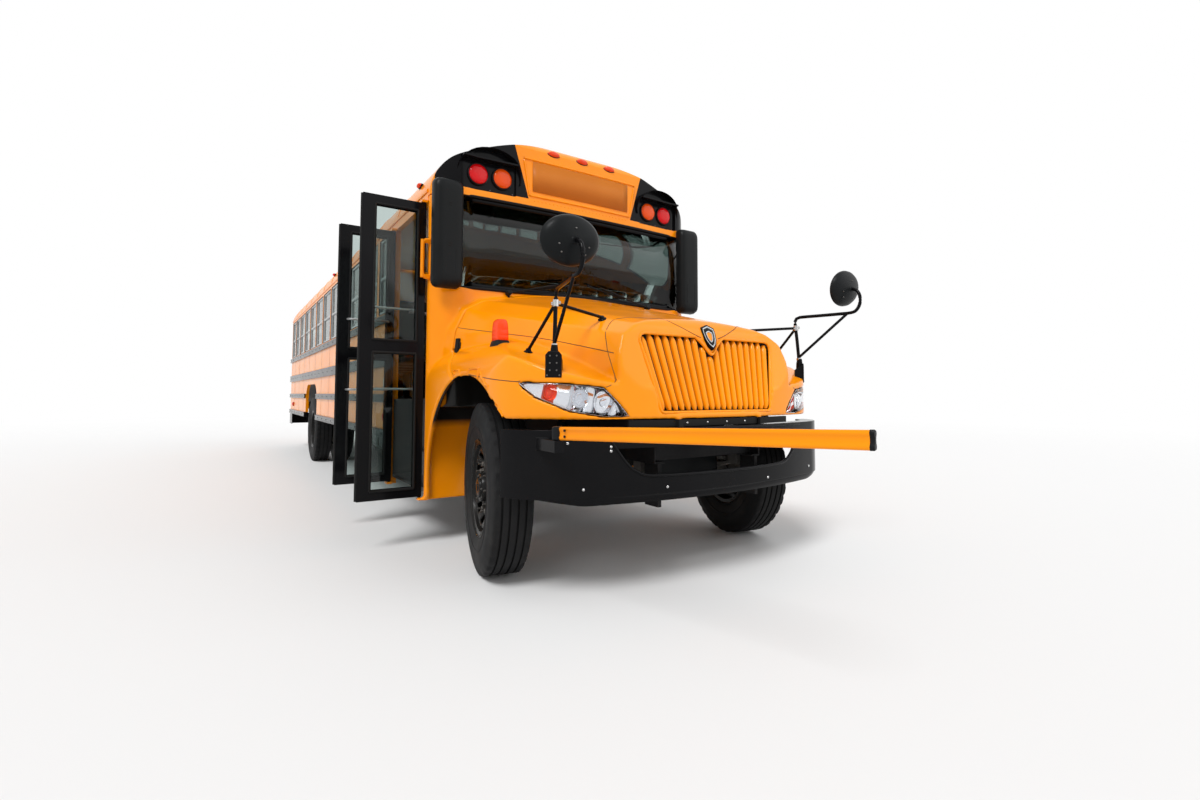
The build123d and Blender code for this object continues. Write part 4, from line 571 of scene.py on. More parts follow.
class Shape:
    """A mesh under construction, in metres of the frame."""

    def __init__(self) -> None:
        """Starts empty."""
        self.points: list[Vector] = []
        self.faces: list[tuple[int, ...]] = []

    def loft(
        self, rings: Sequence[Sequence[Vector]], caps: bool = True, loop: bool = False, closed: bool = True
    ) -> "Shape":
        """Skin over rings of equal length.

        Args:
            rings: the rings in order.
            caps: closes the first and last ring with a face.
            loop: joins the last ring to the first.
            closed: joins each ring's last point to its first.

        Returns:
            This shape.
        """
        base, count, last = len(self.points), len(rings[0]), len(rings) - 1
        for ring in rings:
            self.points.extend(ring)
        for i in range(last + 1 if loop else last):
            here, there = base + i * count, base + (i + 1) % len(rings) * count
            for j in range(count if closed else count - 1):
                k = (j + 1) % count
                self.faces.append((here + j, here + k, there + k, there + j))
        if caps and not loop:
            self.faces.append(tuple(base + j for j in reversed(range(count))))
            self.faces.append(tuple(base + last * count + j for j in range(count)))
        return self

    def sheet(self, rows: Sequence[Sequence[Vector]]) -> "Shape":
        """Open sheet through rows of points."""
        return self.loft(rows, caps=False, closed=False)

    def box(self, low: Point, high: Point) -> "Shape":
        """Block between two corners given in millimetres, whichever side they are on."""
        (x0, y0, z0), (x1, y1, z1) = low, high
        y0, y1 = sorted((y0, y1))
        return self.loft([[at(x, y0, z0), at(x, y1, z0), at(x, y1, z1), at(x, y0, z1)] for x in (x0, x1)])

    def prism(self, outline: Sequence[Vector], depth: Vector) -> "Shape":
        """Outline swept along depth."""
        return self.loft([list(outline), [p + depth for p in outline]])

    def tube(self, path: Sequence[Vector], radius: float, sides: int = 8, caps: bool = True) -> "Shape":
        """Round bar.

        Args:
            path: points of its middle line.
            radius: its radius.
            sides: flats round it.
            caps: closes its ends.

        Returns:
            This shape.
        """
        rings = []
        for i, point in enumerate(path):
            along = (path[min(i + 1, len(path) - 1)] - path[max(i - 1, 0)]).normalized()
            side = along.cross(UP)
            if side.length < 0.05:
                side = along.cross(Vector((0, 1, 0)))
            side.normalize()
            lift = side.cross(along)
            angles = (2 * math.pi * k / sides for k in range(sides))
            rings.append([point + (side * math.cos(a) + lift * math.sin(a)) * radius for a in angles])
        return self.loft(rings, caps=caps)

    def frame(self, low: Point, high: Point, radius: float, sides: int = 8) -> "Shape":
        """Four bars round a flat opening.

        Args:
            low: its one corner in millimetres.
            high: the corner across, at the same place on one of the axes.
            radius: the bars' radius.
            sides: flats round them.

        Returns:
            This shape.
        """
        i, j = (axis for axis in range(3) if low[axis] != high[axis])
        corners = []
        for a, b in ((low, low), (high, low), (high, high), (low, high)):
            corner = list(low)
            corner[i], corner[j] = a[i], b[j]
            corners.append(at(*corner))
        for start, end in zip(corners, [*corners[1:], corners[0]]):
            self.tube([start, end], radius, sides)
        return self

    def lathe(
        self,
        profile: Profile,
        place: Matrix,
        steps: int = 32,
        keep: Optional[Callable[[int, int], bool]] = None,
        wave: Optional[Callable[[int, int], float]] = None,
    ) -> "Shape":
        """Profile turned about the placement's Z axis.

        Args:
            profile: radius and height pairs, in metres.
            place: placement of the axis.
            steps: steps round the circle.
            keep: says of a step and a profile interval whether its face is made.
            wave: gives a radius change for a step and a profile point.

        Returns:
            This shape.
        """
        base, count = len(self.points), len(profile)
        for i in range(steps):
            angle = 2 * math.pi * i / steps
            for j, (radius, height) in enumerate(profile):
                r = radius + (wave(i, j) if wave else 0.0)
                self.points.append(place @ Vector((r * math.cos(angle), r * math.sin(angle), height)))
            here, there = base + i * count, base + (i + 1) % steps * count
            self.faces += [(here + j, there + j, there + j + 1, here + j + 1)
                           for j in range(count - 1) if keep is None or keep(i, j)]
        return self

    def dome(self, place: Matrix, radius: float, height: float, steps: int, rings: int) -> "Shape":
        """Low round cap.

        Args:
            place: placement of its seat.
            radius: its radius.
            height: its height.
            steps: steps round it.
            rings: steps up to its top.

        Returns:
            This shape.
        """
        angles = (math.pi / 2 * k / rings for k in range(rings + 1))
        profile = [(radius * math.cos(a), height * math.sin(a)) for a in angles]
        return self.lathe([(0.0, 0.0), *profile], place, steps)

    def dots(
        self, spots: Iterable[Vector], look: Vector, radius: float, height: float, steps: int = 8, rings: int = 2
    ) -> "Shape":
        """Low round caps that look the same way.

        Args:
            spots: their seats, in metres.
            look: the way that they look.
            radius: their radius.
            height: their height.
            steps: steps round each.
            rings: steps up to its top.

        Returns:
            This shape.
        """
        for spot in spots:
            self.dome(facing(spot, look), radius, height, steps, rings)
        return self

    def bolt(self, place: Matrix, radius: float, height: float) -> "Shape":
        """Hexagon head."""
        profile = [(0.0, 0.0), (radius, 0.0), (radius, height * 0.8), (radius * 0.8, height), (0.0, height)]
        return self.lathe(profile, place, 6)


def place_mesh(name: str, mesh: bpy.types.Mesh) -> bpy.types.Object:
    """Makes an object of a mesh and links it to the scene."""
    item = bpy.data.objects.new(name, mesh)
    bpy.context.scene.collection.objects.link(item)
    return item


def subdivide(item: bpy.types.Object, levels: int) -> None:
    """Smooths an object by so many levels."""
    modifier = item.modifiers.new("smooth", "SUBSURF")
    modifier.levels = modifier.render_levels = levels


def round_edges(item: bpy.types.Object, width: float, over: float) -> bpy.types.Modifier:
    """Rounds an object's edges.

    Args:
        item: the object.
        width: width of the rounding, in metres.
        over: angle, in degrees, over which an edge is rounded.

    Returns:
        The modifier.
    """
    rounding = item.modifiers.new("edges", "BEVEL")
    rounding.width = width
    rounding.segments = 2
    rounding.limit_method = "ANGLE"
    rounding.angle_limit = math.radians(over)
    return rounding


class Maker:
    """Turns shapes into finished pieces that ride on a body."""

    def __init__(self, palette: Palette) -> None:
        """Keeps the palette."""
        self.palette = palette

    def piece(
        self,
        shape: Shape,
        name: str,
        finish: str,
        body: str,
        bevel: float = 0.0,
        sharp: float = 35.0,
        smooth_levels: int = 0,
        shell: float = 0.0,
    ) -> bpy.types.Object:
        """Makes one piece.

        Args:
            shape: its mesh.
            name: its name.
            finish: name of its finish.
            body: CAD body it rides on.
            bevel: rounding of its edges, in metres.
            sharp: edges over this angle stay sharp, in degrees.
            smooth_levels: subdivision levels.
            shell: wall thickness given to an open surface, in metres.

        Returns:
            The new object.
        """
        mesh = bpy.data.meshes.new(name)
        work = bmesh.new()
        made = [work.verts.new(p) for p in shape.points]
        for face in shape.faces:
            corners = [made[i] for i in dict.fromkeys(face)]
            if len(corners) > 2:
                try:
                    work.faces.new(corners)
                except ValueError:
                    continue
        bmesh.ops.remove_doubles(work, verts=work.verts, dist=1e-5)
        bmesh.ops.recalc_face_normals(work, faces=work.faces)
        work.to_mesh(mesh)
        work.free()
        mesh.polygons.foreach_set("use_smooth", [True] * len(mesh.polygons))
        mesh.set_sharp_from_angle(angle=math.radians(sharp))
        item = place_mesh(name, mesh)
        if shell:
            solid = item.modifiers.new("wall", "SOLIDIFY")
            solid.thickness = shell
            solid.offset = 0.0
        if smooth_levels:
            subdivide(item, smooth_levels)
        if bevel:
            round_edges(item, bevel, 30).harden_normals = True
        mesh.materials.append(self.palette[finish])
        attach(item, body)
        FINISHES[finish].slot
        return item


@dataclass
class SubAssembly:
    """Base of every sub-assembly: its maker, and the CAD body that it rides on."""

    maker: Maker
    body: ClassVar[str] = "bus_body"

    def add(self, shape: Shape, name: str, finish: str, body: str = "", **looks: float) -> bpy.types.Object:
        """Makes a piece on a body, or else on the sub-assembly's own, as Maker.piece does."""
        return self.maker.piece(shape, name, finish, body or self.body, **looks)

    def build(self) -> None:
        """Builds the sub-assembly's pieces."""
        raise NotImplementedError


# Frame nodes that keep their shape


@dataclass
class FrameNodes(SubAssembly):
    """Finish and edge rounding of the CAD nodes that stay."""

    nodes: dict[str, bpy.types.Object]
    crisp: float = 0.004
    soft: float = 0.012
    thin: float = 0.003

    def build(self) -> None:
        """Dresses each node."""
        crisp, soft, thin = self.crisp, self.soft, self.thin
        for finish, edge, names in (
            ("body_yellow", soft, "front_cap roof_hatches rear_door left_wall right_wall rear_wall roof"),
            ("black_paint", crisp, "front_bumper rear_bumper rub_rails fuel_tank battery_box entry_leaf_front"
                                   " entry_leaf_rear lamp_panels"),
            ("chassis_black", crisp, "chassis_frame tow_eyes radiator seat_frames"),
            ("cast_metal", crisp, "leaf_springs front_axle_beam rear_axle engine knuckle_left knuckle_right"),
            ("steel", crisp, "drive_shaft exhaust_pipe"),
            ("black_plastic", crisp, "wipers dashboard"),
            ("flap_rubber", thin, "mud_flaps"),
            ("floor_skin", 0.0, "body_floor"),
            ("sash_metal", thin, "window_sashes"),
            ("body_yellow", 0.0, "grab_rails"),
            ("clear_glass", 0.0, "entry_glass_front entry_glass_rear rear_door_glass window_glass"),
            ("shade_glass", 0.0, "windshield"),
            ("lamp_clear", 0.0, "head_lamps"),
        ):
            for name in names.split():
                self._dress(self._finish(name, finish), edge)
        # the hood and cowl finishes carry painted shade
        self._mould(self._finish("hood", "hood_yellow_painted_shade"))
        self._mould(self._finish("cowl", "cowl_yellow_painted_shadow"))

    def _finish(self, name: str, finish: str) -> bpy.types.Object:
        """Gives a node its material and clears its flat shading.

        Args:
            name: the node's name.
            finish: name of its finish.

        Returns:
            The node.
        """
        node = self.nodes[name]
        node.data.materials.clear()
        node.data.materials.append(self.maker.palette[finish])
        if "custom_normal" in node.data.attributes:
            node.data.attributes.remove(node.data.attributes["custom_normal"])
        node.modifiers.new("weld", "WELD").merge_threshold = 0.0001
        return node

    def _dress(self, node: bpy.types.Object, edge: float) -> None:
        """Joins a node's flat faces and rounds its edges.

        Args:
            node: the node.
            edge: width of the rounding in metres, or 0 for none.
        """
        flat = node.modifiers.new("flat", "DECIMATE")
        flat.decimate_type = "DISSOLVE"
        flat.angle_limit = math.radians(0.4)
        if edge:
            node.data.polygons.foreach_set("use_smooth", [True] * len(node.data.polygons))
            round_edges(node, edge, 24).use_clamp_overlap = True
            weighted = node.modifiers.new("shade", "WEIGHTED_NORMAL")
            weighted.keep_sharp = False
            weighted.weight = 100

    def _mould(self, node: bpy.types.Object) -> None:
        """Lets a moulded panel's creases flow into each other.

        Args:
            node: the panel's node.
        """
        skin = node.modifiers.new("skin", "REMESH")
        skin.mode = "VOXEL"
        skin.voxel_size = 0.009
        skin.adaptivity = 0.0
        skin.use_smooth_shade = True
        flow = node.modifiers.new("flow", "SMOOTH")
        flow.factor = 0.5
        flow.iterations = 14
        node.modifiers.new("thin", "DECIMATE").ratio = 0.35


# Wheels


@dataclass
class Wheel(SubAssembly):
    """Tyres and discs about the axis of their joint, in metres."""

    name: str = ""
    body: str = ""
    centre: Vector = field(default_factory=Vector)
    axis: Vector = field(default_factory=lambda: Vector((0, 1, 0)))
    radius: float = 0.515
    steps: int = 144
    holes: int = 10
    studs: int = 10
    stud_circle: float = 0.143

    def place(self, offset: float = 0.0) -> Matrix:
        """Placement on the axis, offset outwards."""
        return facing(self.centre + self.axis * offset, self.axis)

    def tyre(self, name: str, offset: float, grooves: Sequence[float], blocks_from: float) -> bpy.types.Object:
        """Tyre with grooves, sipes and a stepped sidewall.

        Args:
            name: the piece's name.
            offset: its middle along the axis.
            grooves: places of the grooves across the tread.
            blocks_from: how far from its middle the tread is cut into blocks.

        Returns:
            The tyre.
        """
        r = self.radius
        wall = [
            (r - 0.229, 0.098), (r - 0.226, 0.106), (r - 0.214, 0.111), (r - 0.209, 0.108), (r - 0.196, 0.112),
            (r - 0.150, 0.122), (r - 0.146, 0.1255), (r - 0.139, 0.1255), (r - 0.135, 0.123), (r - 0.105, 0.1265),
            (r - 0.085, 0.1268), (r - 0.062, 0.1235), (r - 0.057, 0.1215), (r - 0.034, 0.1165), (r - 0.012, 0.1095),
            (r - 0.004, 0.1055), (r, 0.1),
        ]
        tread: list[tuple[float, float]] = []
        half, lip, depth = 0.0045, 0.002, 0.013
        for groove in sorted(grooves, reverse=True):
            tread += [(r, groove + half + lip), (r - depth, groove + half), (r - depth, groove - half),
                      (r, groove - half - lip)]
        profile = wall + tread + [(a, -b) for a, b in reversed(wall)]
        blocks = {j for j, (a, b) in enumerate(profile) if a > r - 0.02 and abs(b) > blocks_from}

        def wave(step: int, point: int) -> float:
            """Cuts across the blocks."""
            return -0.009 if point in blocks and step % 4 == 0 else 0.0

        shape = Shape().lathe(profile, self.place(offset), self.steps, wave=wave)
        return self.add(shape, name, "tyre_rubber", sharp=28)

    def rim(self, shape: Shape, offset: float, dip: bool) -> Shape:
        """Adds a rim with its flanges and well.

        Args:
            shape: collects the rim.
            offset: its middle along the axis.
            dip: whether the well is narrower in its middle.

        Returns:
            The shape.
        """
        flange = ((0.262, 0.05), (0.27, 0.082), (0.289, 0.098), (0.297, 0.108), (0.292, 0.112))
        profile = [(0.262, -0.1), (0.286, -0.104), *((r, -z) for r, z in reversed(flange)),
                   *([(0.258, 0.0)] if dip else []), *flange, (0.284, 0.104), (0.262, 0.098), (0.252, 0.06),
                   *([(0.25, 0.0)] if dip else []), (0.252, -0.06), (0.262, -0.1)]
        return shape.lathe([(r, z + offset) for r, z in profile], self.place(), 72)

    def fit(self, end: str, disc: Profile, seat: float, reach: float, hub: Profile) -> None:
        """Builds the disc with its hand holes, the nuts on their studs and the hub.

        Args:
            end: end of the bus, for the names.
            disc: the disc's profile from the hub out.
            seat: where the nuts sit along the axis.
            reach: how far the studs stand out.
            hub: the hub's profile.
        """
        plate = Shape().lathe(disc, self.place(), self.holes * 8, keep=lambda i, j: j != 2 or i % 8 > 3)
        self.add(plate, f"{end}_disc_{self.name}", "wheel_black", sharp=50, shell=0.009)
        nuts = Shape()
        for spot in around(self.place(seat), self.stud_circle, self.studs):
            nuts.lathe([(0, 0), (0.0216, 0), (0.0216, 0.003), (0.016, 0.003), (0.016, 0.02), (0.01152, 0.024),
                        (0.0064, 0.024), (0.0064, reach), (0, reach)], spot, 6)
        self.add(nuts, f"{end}_nuts_{self.name}", "lug_steel")
        self.add(Shape().lathe(hub, self.place(), 40), f"{end}_hub_{self.name}", "wheel_black", sharp=30)

    def hub_bolts(self, end: str, count: int, circle: float, seat: float, size: float) -> None:
        """Builds the hub's ring of bolts.

        Args:
            end: end of the bus, for the name.
            count: how many.
            circle: radius of their circle.
            seat: where they sit along the axis.
            size: their radius and height.
        """
        bolts = Shape()
        for spot in around(self.place(seat), circle, count):
            bolts.bolt(spot, size, size)
        self.add(bolts, f"{end}_hub_bolts_{self.name}", "lug_steel")

    def drum(self, end: str, low: float, high: float, ribs: int = 5) -> None:
        """Builds the ribbed brake drum inside the rim.

        Args:
            end: end of the bus, for the name.
            low: its inner end along the axis.
            high: its outer end.
            ribs: how many ribs.
        """
        profile = [(0.07, high), (0.2, high), (0.212, high - 0.01)]
        for i in range(ribs):
            z = high - 0.012 - (high - low - 0.02) * i / ribs
            profile += [(0.215, z), (0.222, z - 0.004), (0.222, z - 0.01), (0.212, z - 0.014)]
        profile += [(0.212, low), (0.07, low)]
        self.add(Shape().lathe(profile, self.place(), 48), f"{end}_drum_{self.name}", "cast_metal", sharp=30)


@dataclass
class FrontWheel(Wheel):
    """Steered wheel: ribbed tyre, domed disc and long hub."""

    def build(self) -> None:
        """Builds the tyre, rim, disc, nuts, hub and drum."""
        tyre = self.tyre(f"front_tyre_{self.name}_tread", 0.0, (-0.066, -0.023, 0.023, 0.066), 0.088)
        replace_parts(tyre, f"front_tyre_{self.name}")
        well = self.add(self.rim(Shape(), 0.0, True), f"front_rim_{self.name}_well", "wheel_black", sharp=40)
        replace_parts(well, f"front_rim_{self.name}")
        disc = [(0.085, 0.05), (0.17, 0.05), (0.182, 0.054), (0.226, 0.078), (0.24, 0.08), (0.253, 0.07),
                (0.256, 0.05)]
        hub = [(0.0, 0.117), (0.02, 0.117), (0.024, 0.112), (0.052, 0.111), (0.06, 0.106), (0.062, 0.098),
               (0.083, 0.097), (0.086, 0.092), (0.088, 0.06), (0.095, 0.056), (0.105, 0.054), (0.105, 0.04)]
        self.fit("front", disc, 0.054, 0.045, hub)
        self.hub_bolts("front", 6, 0.0725, 0.097, 0.007)
        self.drum("front", -0.1, 0.03)


@dataclass
class TwinWheel(Wheel):
    """Twin rear wheels on one hub."""

    pitch: float = 0.324

    def build(self) -> None:
        """Builds both tyres and rims, the disc, nuts, hub and drum."""
        offsets = {"outer": self.pitch / 2, "inner": -self.pitch / 2}
        tyres = [self.tyre(f"rear_tyre_{word}_{self.name}", offset, (-0.058, 0.0, 0.058), 0.03)
                 for word, offset in offsets.items()]
        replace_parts(tyres[0], f"rear_tyres_{self.name}")
        wells = Shape()
        for offset in sorted(offsets.values()):
            self.rim(wells, offset, False)
        rims = self.add(wells, f"rear_rims_{self.name}_wells", "wheel_black", sharp=40)
        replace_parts(rims, f"rear_rims_{self.name}")
        disc = [(0.105, 0.012), (0.178, 0.012), (0.188, 0.016), (0.228, 0.05), (0.242, 0.066), (0.253, 0.092),
                (0.256, 0.11)]
        hub = [(0.0, 0.168), (0.07, 0.168), (0.076, 0.162), (0.078, 0.15), (0.104, 0.148), (0.108, 0.142),
               (0.11, 0.03), (0.112, 0.014), (0.112, -0.14), (0.0, -0.14)]
        self.fit("rear", disc, 0.016, 0.04, hub)
        self.hub_bolts("rear", 8, 0.091, 0.149, 0.009)
        self.drum("rear", -0.14, -0.02)


# Front end


@dataclass
class Surface:
    """A node's finished surface, for laying trim on it."""

    tree: BVHTree

    @classmethod
    def of(cls, node: bpy.types.Object) -> "Surface":
        """Reads a node with its modifiers.

        Args:
            node: the node.

        Returns:
            Its surface.
        """
        graph = bpy.context.evaluated_depsgraph_get()
        graph.update()
        return cls(BVHTree.FromObject(node, graph))

    def nearest(self, point: Vector) -> tuple[Vector, Vector]:
        """Nearest place on the surface's outer side.

        Args:
            point: where to look from, in metres.

        Returns:
            The place and its normal.
        """
        spot, normal, _, _ = self.tree.find_nearest(point)
        if normal.dot(spot - Vector(HOOD_MIDDLE)) < 0:
            outer, outer_normal, _, _ = self.tree.ray_cast(spot - normal * 0.08, normal)
            if outer is not None and outer_normal.dot(normal) < 0:
                return outer, outer_normal
        return spot, normal

    def line(self, points: Sequence[Point], lift: float, spacing: float = 0.03) -> list[Vector]:
        """Smooth line through points, laid on the surface.

        Args:
            points: its points in millimetres.
            lift: height over the surface, in metres.
            spacing: length of its steps, in metres.

        Returns:
            The line's points.
        """
        laid = (self.nearest(point) for point in smooth_line([at(*p) for p in points], spacing))
        return [spot + normal * lift for spot, normal in laid]


LONG_SEAM: tuple[Point, ...] = (
    (-612, 1052, 1545), (-502, 1041, 1536), (-150, 950, 1485), (180, 843, 1426), (495, 758, 1364), (777, 684, 1305),
)
NOSE_SEAM: tuple[Point, ...] = (
    (801, 70, 1425), (793, 134, 1448), (765, 235, 1490), (695, 360, 1524), (627, 480, 1536), (610, 580, 1510),
    (655, 651, 1442), (700, 682, 1370), (756, 688, 1268), (790, 675, 1187), (800, 688, 1145), (815, 768, 1122),
)
ARCH_SEAM: tuple[Point, ...] = ((0, 1218, 1200), (192, 1218, 1182), (420, 1206, 1160), (570, 1163, 1148))


@dataclass
class HoodTrim(SubAssembly):
    """Seams, latches and small trim on the tilting hood."""

    surface: Surface
    body: ClassVar[str] = "hood_lid"
    arch_x: float = -95.0
    arch_z: float = 475.0
    arch_radius: float = 728.0

    def build(self) -> None:
        """Builds the seams, latches, arch edges and chin."""
        seams = Shape()
        for side, _ in SIDES:
            for points in (LONG_SEAM, NOSE_SEAM, ARCH_SEAM):
                seams.tube(self.surface.line(mirrored(points, side), -0.0006), 0.0026, 6)
        self.add(seams, "hood_seams", "seam_dark")
        for side, word in SIDES:
            self._latch(side, word)
            self._arch_edge(side, word)
        self._chin()

    def _latch(self, side: int, word: str) -> None:
        """Rubber hold-down at the hood's rear corner.

        Args:
            side: 1 for the left, -1 for the right.
            word: the side's name.
        """
        spot, normal = self.surface.nearest(at(-560, side * 1075, 1420))
        place, sunk = facing(spot, normal), 0.004
        strap = Shape()
        for half_x, half_y, height in ((0.03, 0.022, 0.01), (0.018, 0.05, 0.018)):
            corners = [place @ Vector((half_x * sx, half_y * sy, -sunk))
                       for sx, sy in ((-1, -1), (1, -1), (1, 1), (-1, 1))]
            strap.prism(corners, normal * (height + sunk))
        self.add(strap, f"hood_latch_{word}", "seal_rubber", bevel=0.004)

    def _arch_edge(self, side: int, word: str) -> None:
        """Rolled edge round the wheel opening.

        Args:
            side: 1 for the left, -1 for the right.
            word: the side's name.
        """
        laid = []
        for angle in (math.radians(10 + 97 * i / 40) for i in range(41)):
            x = self.arch_x + self.arch_radius * math.cos(angle)
            if x < 600:
                point = at(x, side * 1205, self.arch_z + self.arch_radius * math.sin(angle))
                laid.append(self.surface.nearest(point)[0])
        edge = Shape().tube([p for p in laid if p.z > 0.96], 0.008)
        self.add(edge, f"arch_edge_{word}", "body_yellow")

    def _chin(self) -> None:
        """Black strip with small bolts and hinge caps under the nose."""

        def face(y: float) -> float:
            """Station of the strip's face."""
            return nose_x(y, 950) - 2

        strip, bolts = Shape(), Shape()
        strip.loft([[at(face(y) + dx, y, z) for dx, z in ((-22, 908), (0, 908), (0, 946), (-22, 946))]
                    for y in range(-640, 641, 32)])
        for y in (-330, 330):
            strip.box((870, y - 16, 906), (911, y + 16, 948))
        bolts.dots([at(face(y), y, 927) for y in (-272, -118, 37, 190)], AHEAD, 0.0065, 0.004, 12, 3)
        self.add(strip, "chin_strip", "seal_rubber")
        self.add(bolts, "chin_bolts", "bright_steel")


@dataclass
class Grille(SubAssembly):
    """Fan of rounded bars in a lipped opening, with a bare shield."""

    body: ClassVar[str] = "hood_lid"
    bars: int = 19
    rows: int = 16
    top_half: float = 536.0
    low_half: float = 444.0
    top_z: float = 1425.0
    low_z: float = 989.0
    dip: float = 110.0
    fill: float = 0.66
    recess: float = 6.0

    def _top(self, y: float, width: float) -> float:
        """Height where a bar ends, under the opening's dip and corners.

        Args:
            y: the bar's offset at the top.
            width: half its width there.

        Returns:
            The height in millimetres.
        """
        corner = max(0.0, abs(y) + width - self.top_half + 24)
        return self.top_z - 4 - max(0.0, self.dip - abs(y) + width * 0.3) * 0.95 - corner

    def _bar(self, shape: Shape, index: int) -> None:
        """Adds one bar with rounded front and ends.

        Args:
            shape: collects the bar.
            index: its number from the right.
        """
        share = (index + 0.5) / self.bars * 2 - 1
        low_y, top_y = share * self.low_half, share * self.top_half
        low_w, top_w = (self.fill * half / self.bars for half in (self.low_half, self.top_half))
        start, end = self.low_z + 8, self._top(top_y, top_w)
        rings = []
        for i in range(self.rows + 1):
            z = start + (end - start) * i / self.rows
            span = (z - self.low_z) / (self.top_z - self.low_z)
            y = low_y + (top_y - low_y) * span
            ends = min(1, i, self.rows - i)
            width = (low_w + (top_w - low_w) * span) * (0.55 + 0.45 * ends)
            front = nose_x(y, z) - self.recess - 7.0 * (1 - ends)
            angles = (math.pi * k / 8 for k in range(9))
            round_front = [at(front - 15 + 15 * math.sin(a), y - width * math.cos(a), z) for a in angles]
            rings.append([at(front - 30, y - width, z), *round_front, at(front - 30, y + width, z)])
        shape.loft(rings)

    def _outline(self, grow: float) -> list[tuple[float, float]]:
        """Outline of the opening.

        Args:
            grow: how much larger it is made, in millimetres.

        Returns:
            Its points as offset and height.
        """
        low, top, dip = self.low_half + grow, self.top_half + grow, self.dip
        z0, z1 = self.low_z - grow, self.top_z + grow
        half = [(low * 0.5, z0), (low - 22, z0), (low - 6, z0 + 6), (low + 2, z0 + 24),
                ((low + top) * 0.5, (z0 + z1) / 2), (top - 4, z1 - 52), (top - 6, z1 - 26), (top - 18, z1 - 8),
                (top - 42, z1), (dip + 40, z1), (dip, z1 - 4), (dip * 0.5, z1 - dip * 0.45)]
        return [(0.0, z0), *half, (0.0, z1 - dip + 6), *[(-y, z) for y, z in reversed(half)]]

    def build(self) -> None:
        """Builds the bars, the lip, the dark back that is a painted shade behind the bars, and the shield."""
        bars = Shape()
        for i in range(self.bars):
            self._bar(bars, i)
        fan = self.add(bars, "grille_bars", "body_yellow", sharp=40)
        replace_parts(fan, "grille")
        ring = [at(nose_x(y, z) - 4, y, z) for y, z in self._outline(3)]
        lip = Shape().tube(smooth_line([*ring, ring[0]], 0.02), 0.0085, 10, caps=False)
        self.add(lip, "grille_lip", "body_yellow")
        # near-black matte sheet behind the bars: painted shade standing in for the shade in the opening
        rows = [[at(nose_x(y, z) - 34, y, z) for z in (980, 1100, 1220, 1340, 1432)]
                for y in (-524 + 52.4 * i for i in range(21))]
        self.add(Shape().sheet(rows), "grille_shade_sheet", "shade_sheet_black", shell=0.004)
        self._shield()

    def _shield(self) -> None:
        """Bare shield with bright bands, in the opening's dip."""
        half = ((0, -84), (26, -60), (45, -22), (52, 28), (49, 58), (27, 67), (0, 78))
        outline = [*half, *[(-y, z) for y, z in reversed(half[1:-1])]]
        up, forward = Vector((-0.37, 0.0, 0.93)).normalized(), Vector((0.93, 0.0, 0.37)).normalized()
        centre = at(794, 0, 1432)

        def ring(scale: float, lift: float) -> list[Vector]:
            """Shield's outline at a scale and a height over the nose, in metres."""
            return [centre + forward * lift + (Vector((0, y, 0)) + up * z) * scale * MM for y, z in outline]

        for name, finish, (a, b, c, d) in (
            ("rim", "black_paint", (1.04, 1.0, 0.94, 0.9)),
            ("band", "sash_metal", (0.91, 0.88, 0.8, 0.76)),
            ("inner_band", "sash_metal", (0.5, 0.48, 0.4, 0.36)),
        ):
            section = ((a, -0.012), (a, 0.005), (b, 0.01), (c, 0.01), (d, 0.005), (d, -0.012))
            rim = Shape().loft([ring(*step) for step in section], caps=False, loop=True)
            self.add(rim, f"shield_{name}", finish, sharp=45)
        for name, finish, section in (
            ("plate", "black_paint", ((0.82, -0.01), (0.82, 0.004), (0.3, 0.005))),
            ("centre", "body_yellow", ((0.37, 0.002), (0.34, 0.008), (0.2, 0.01))),
        ):
            self.add(Shape().loft([ring(*step) for step in section]), f"shield_{name}", finish, sharp=45)


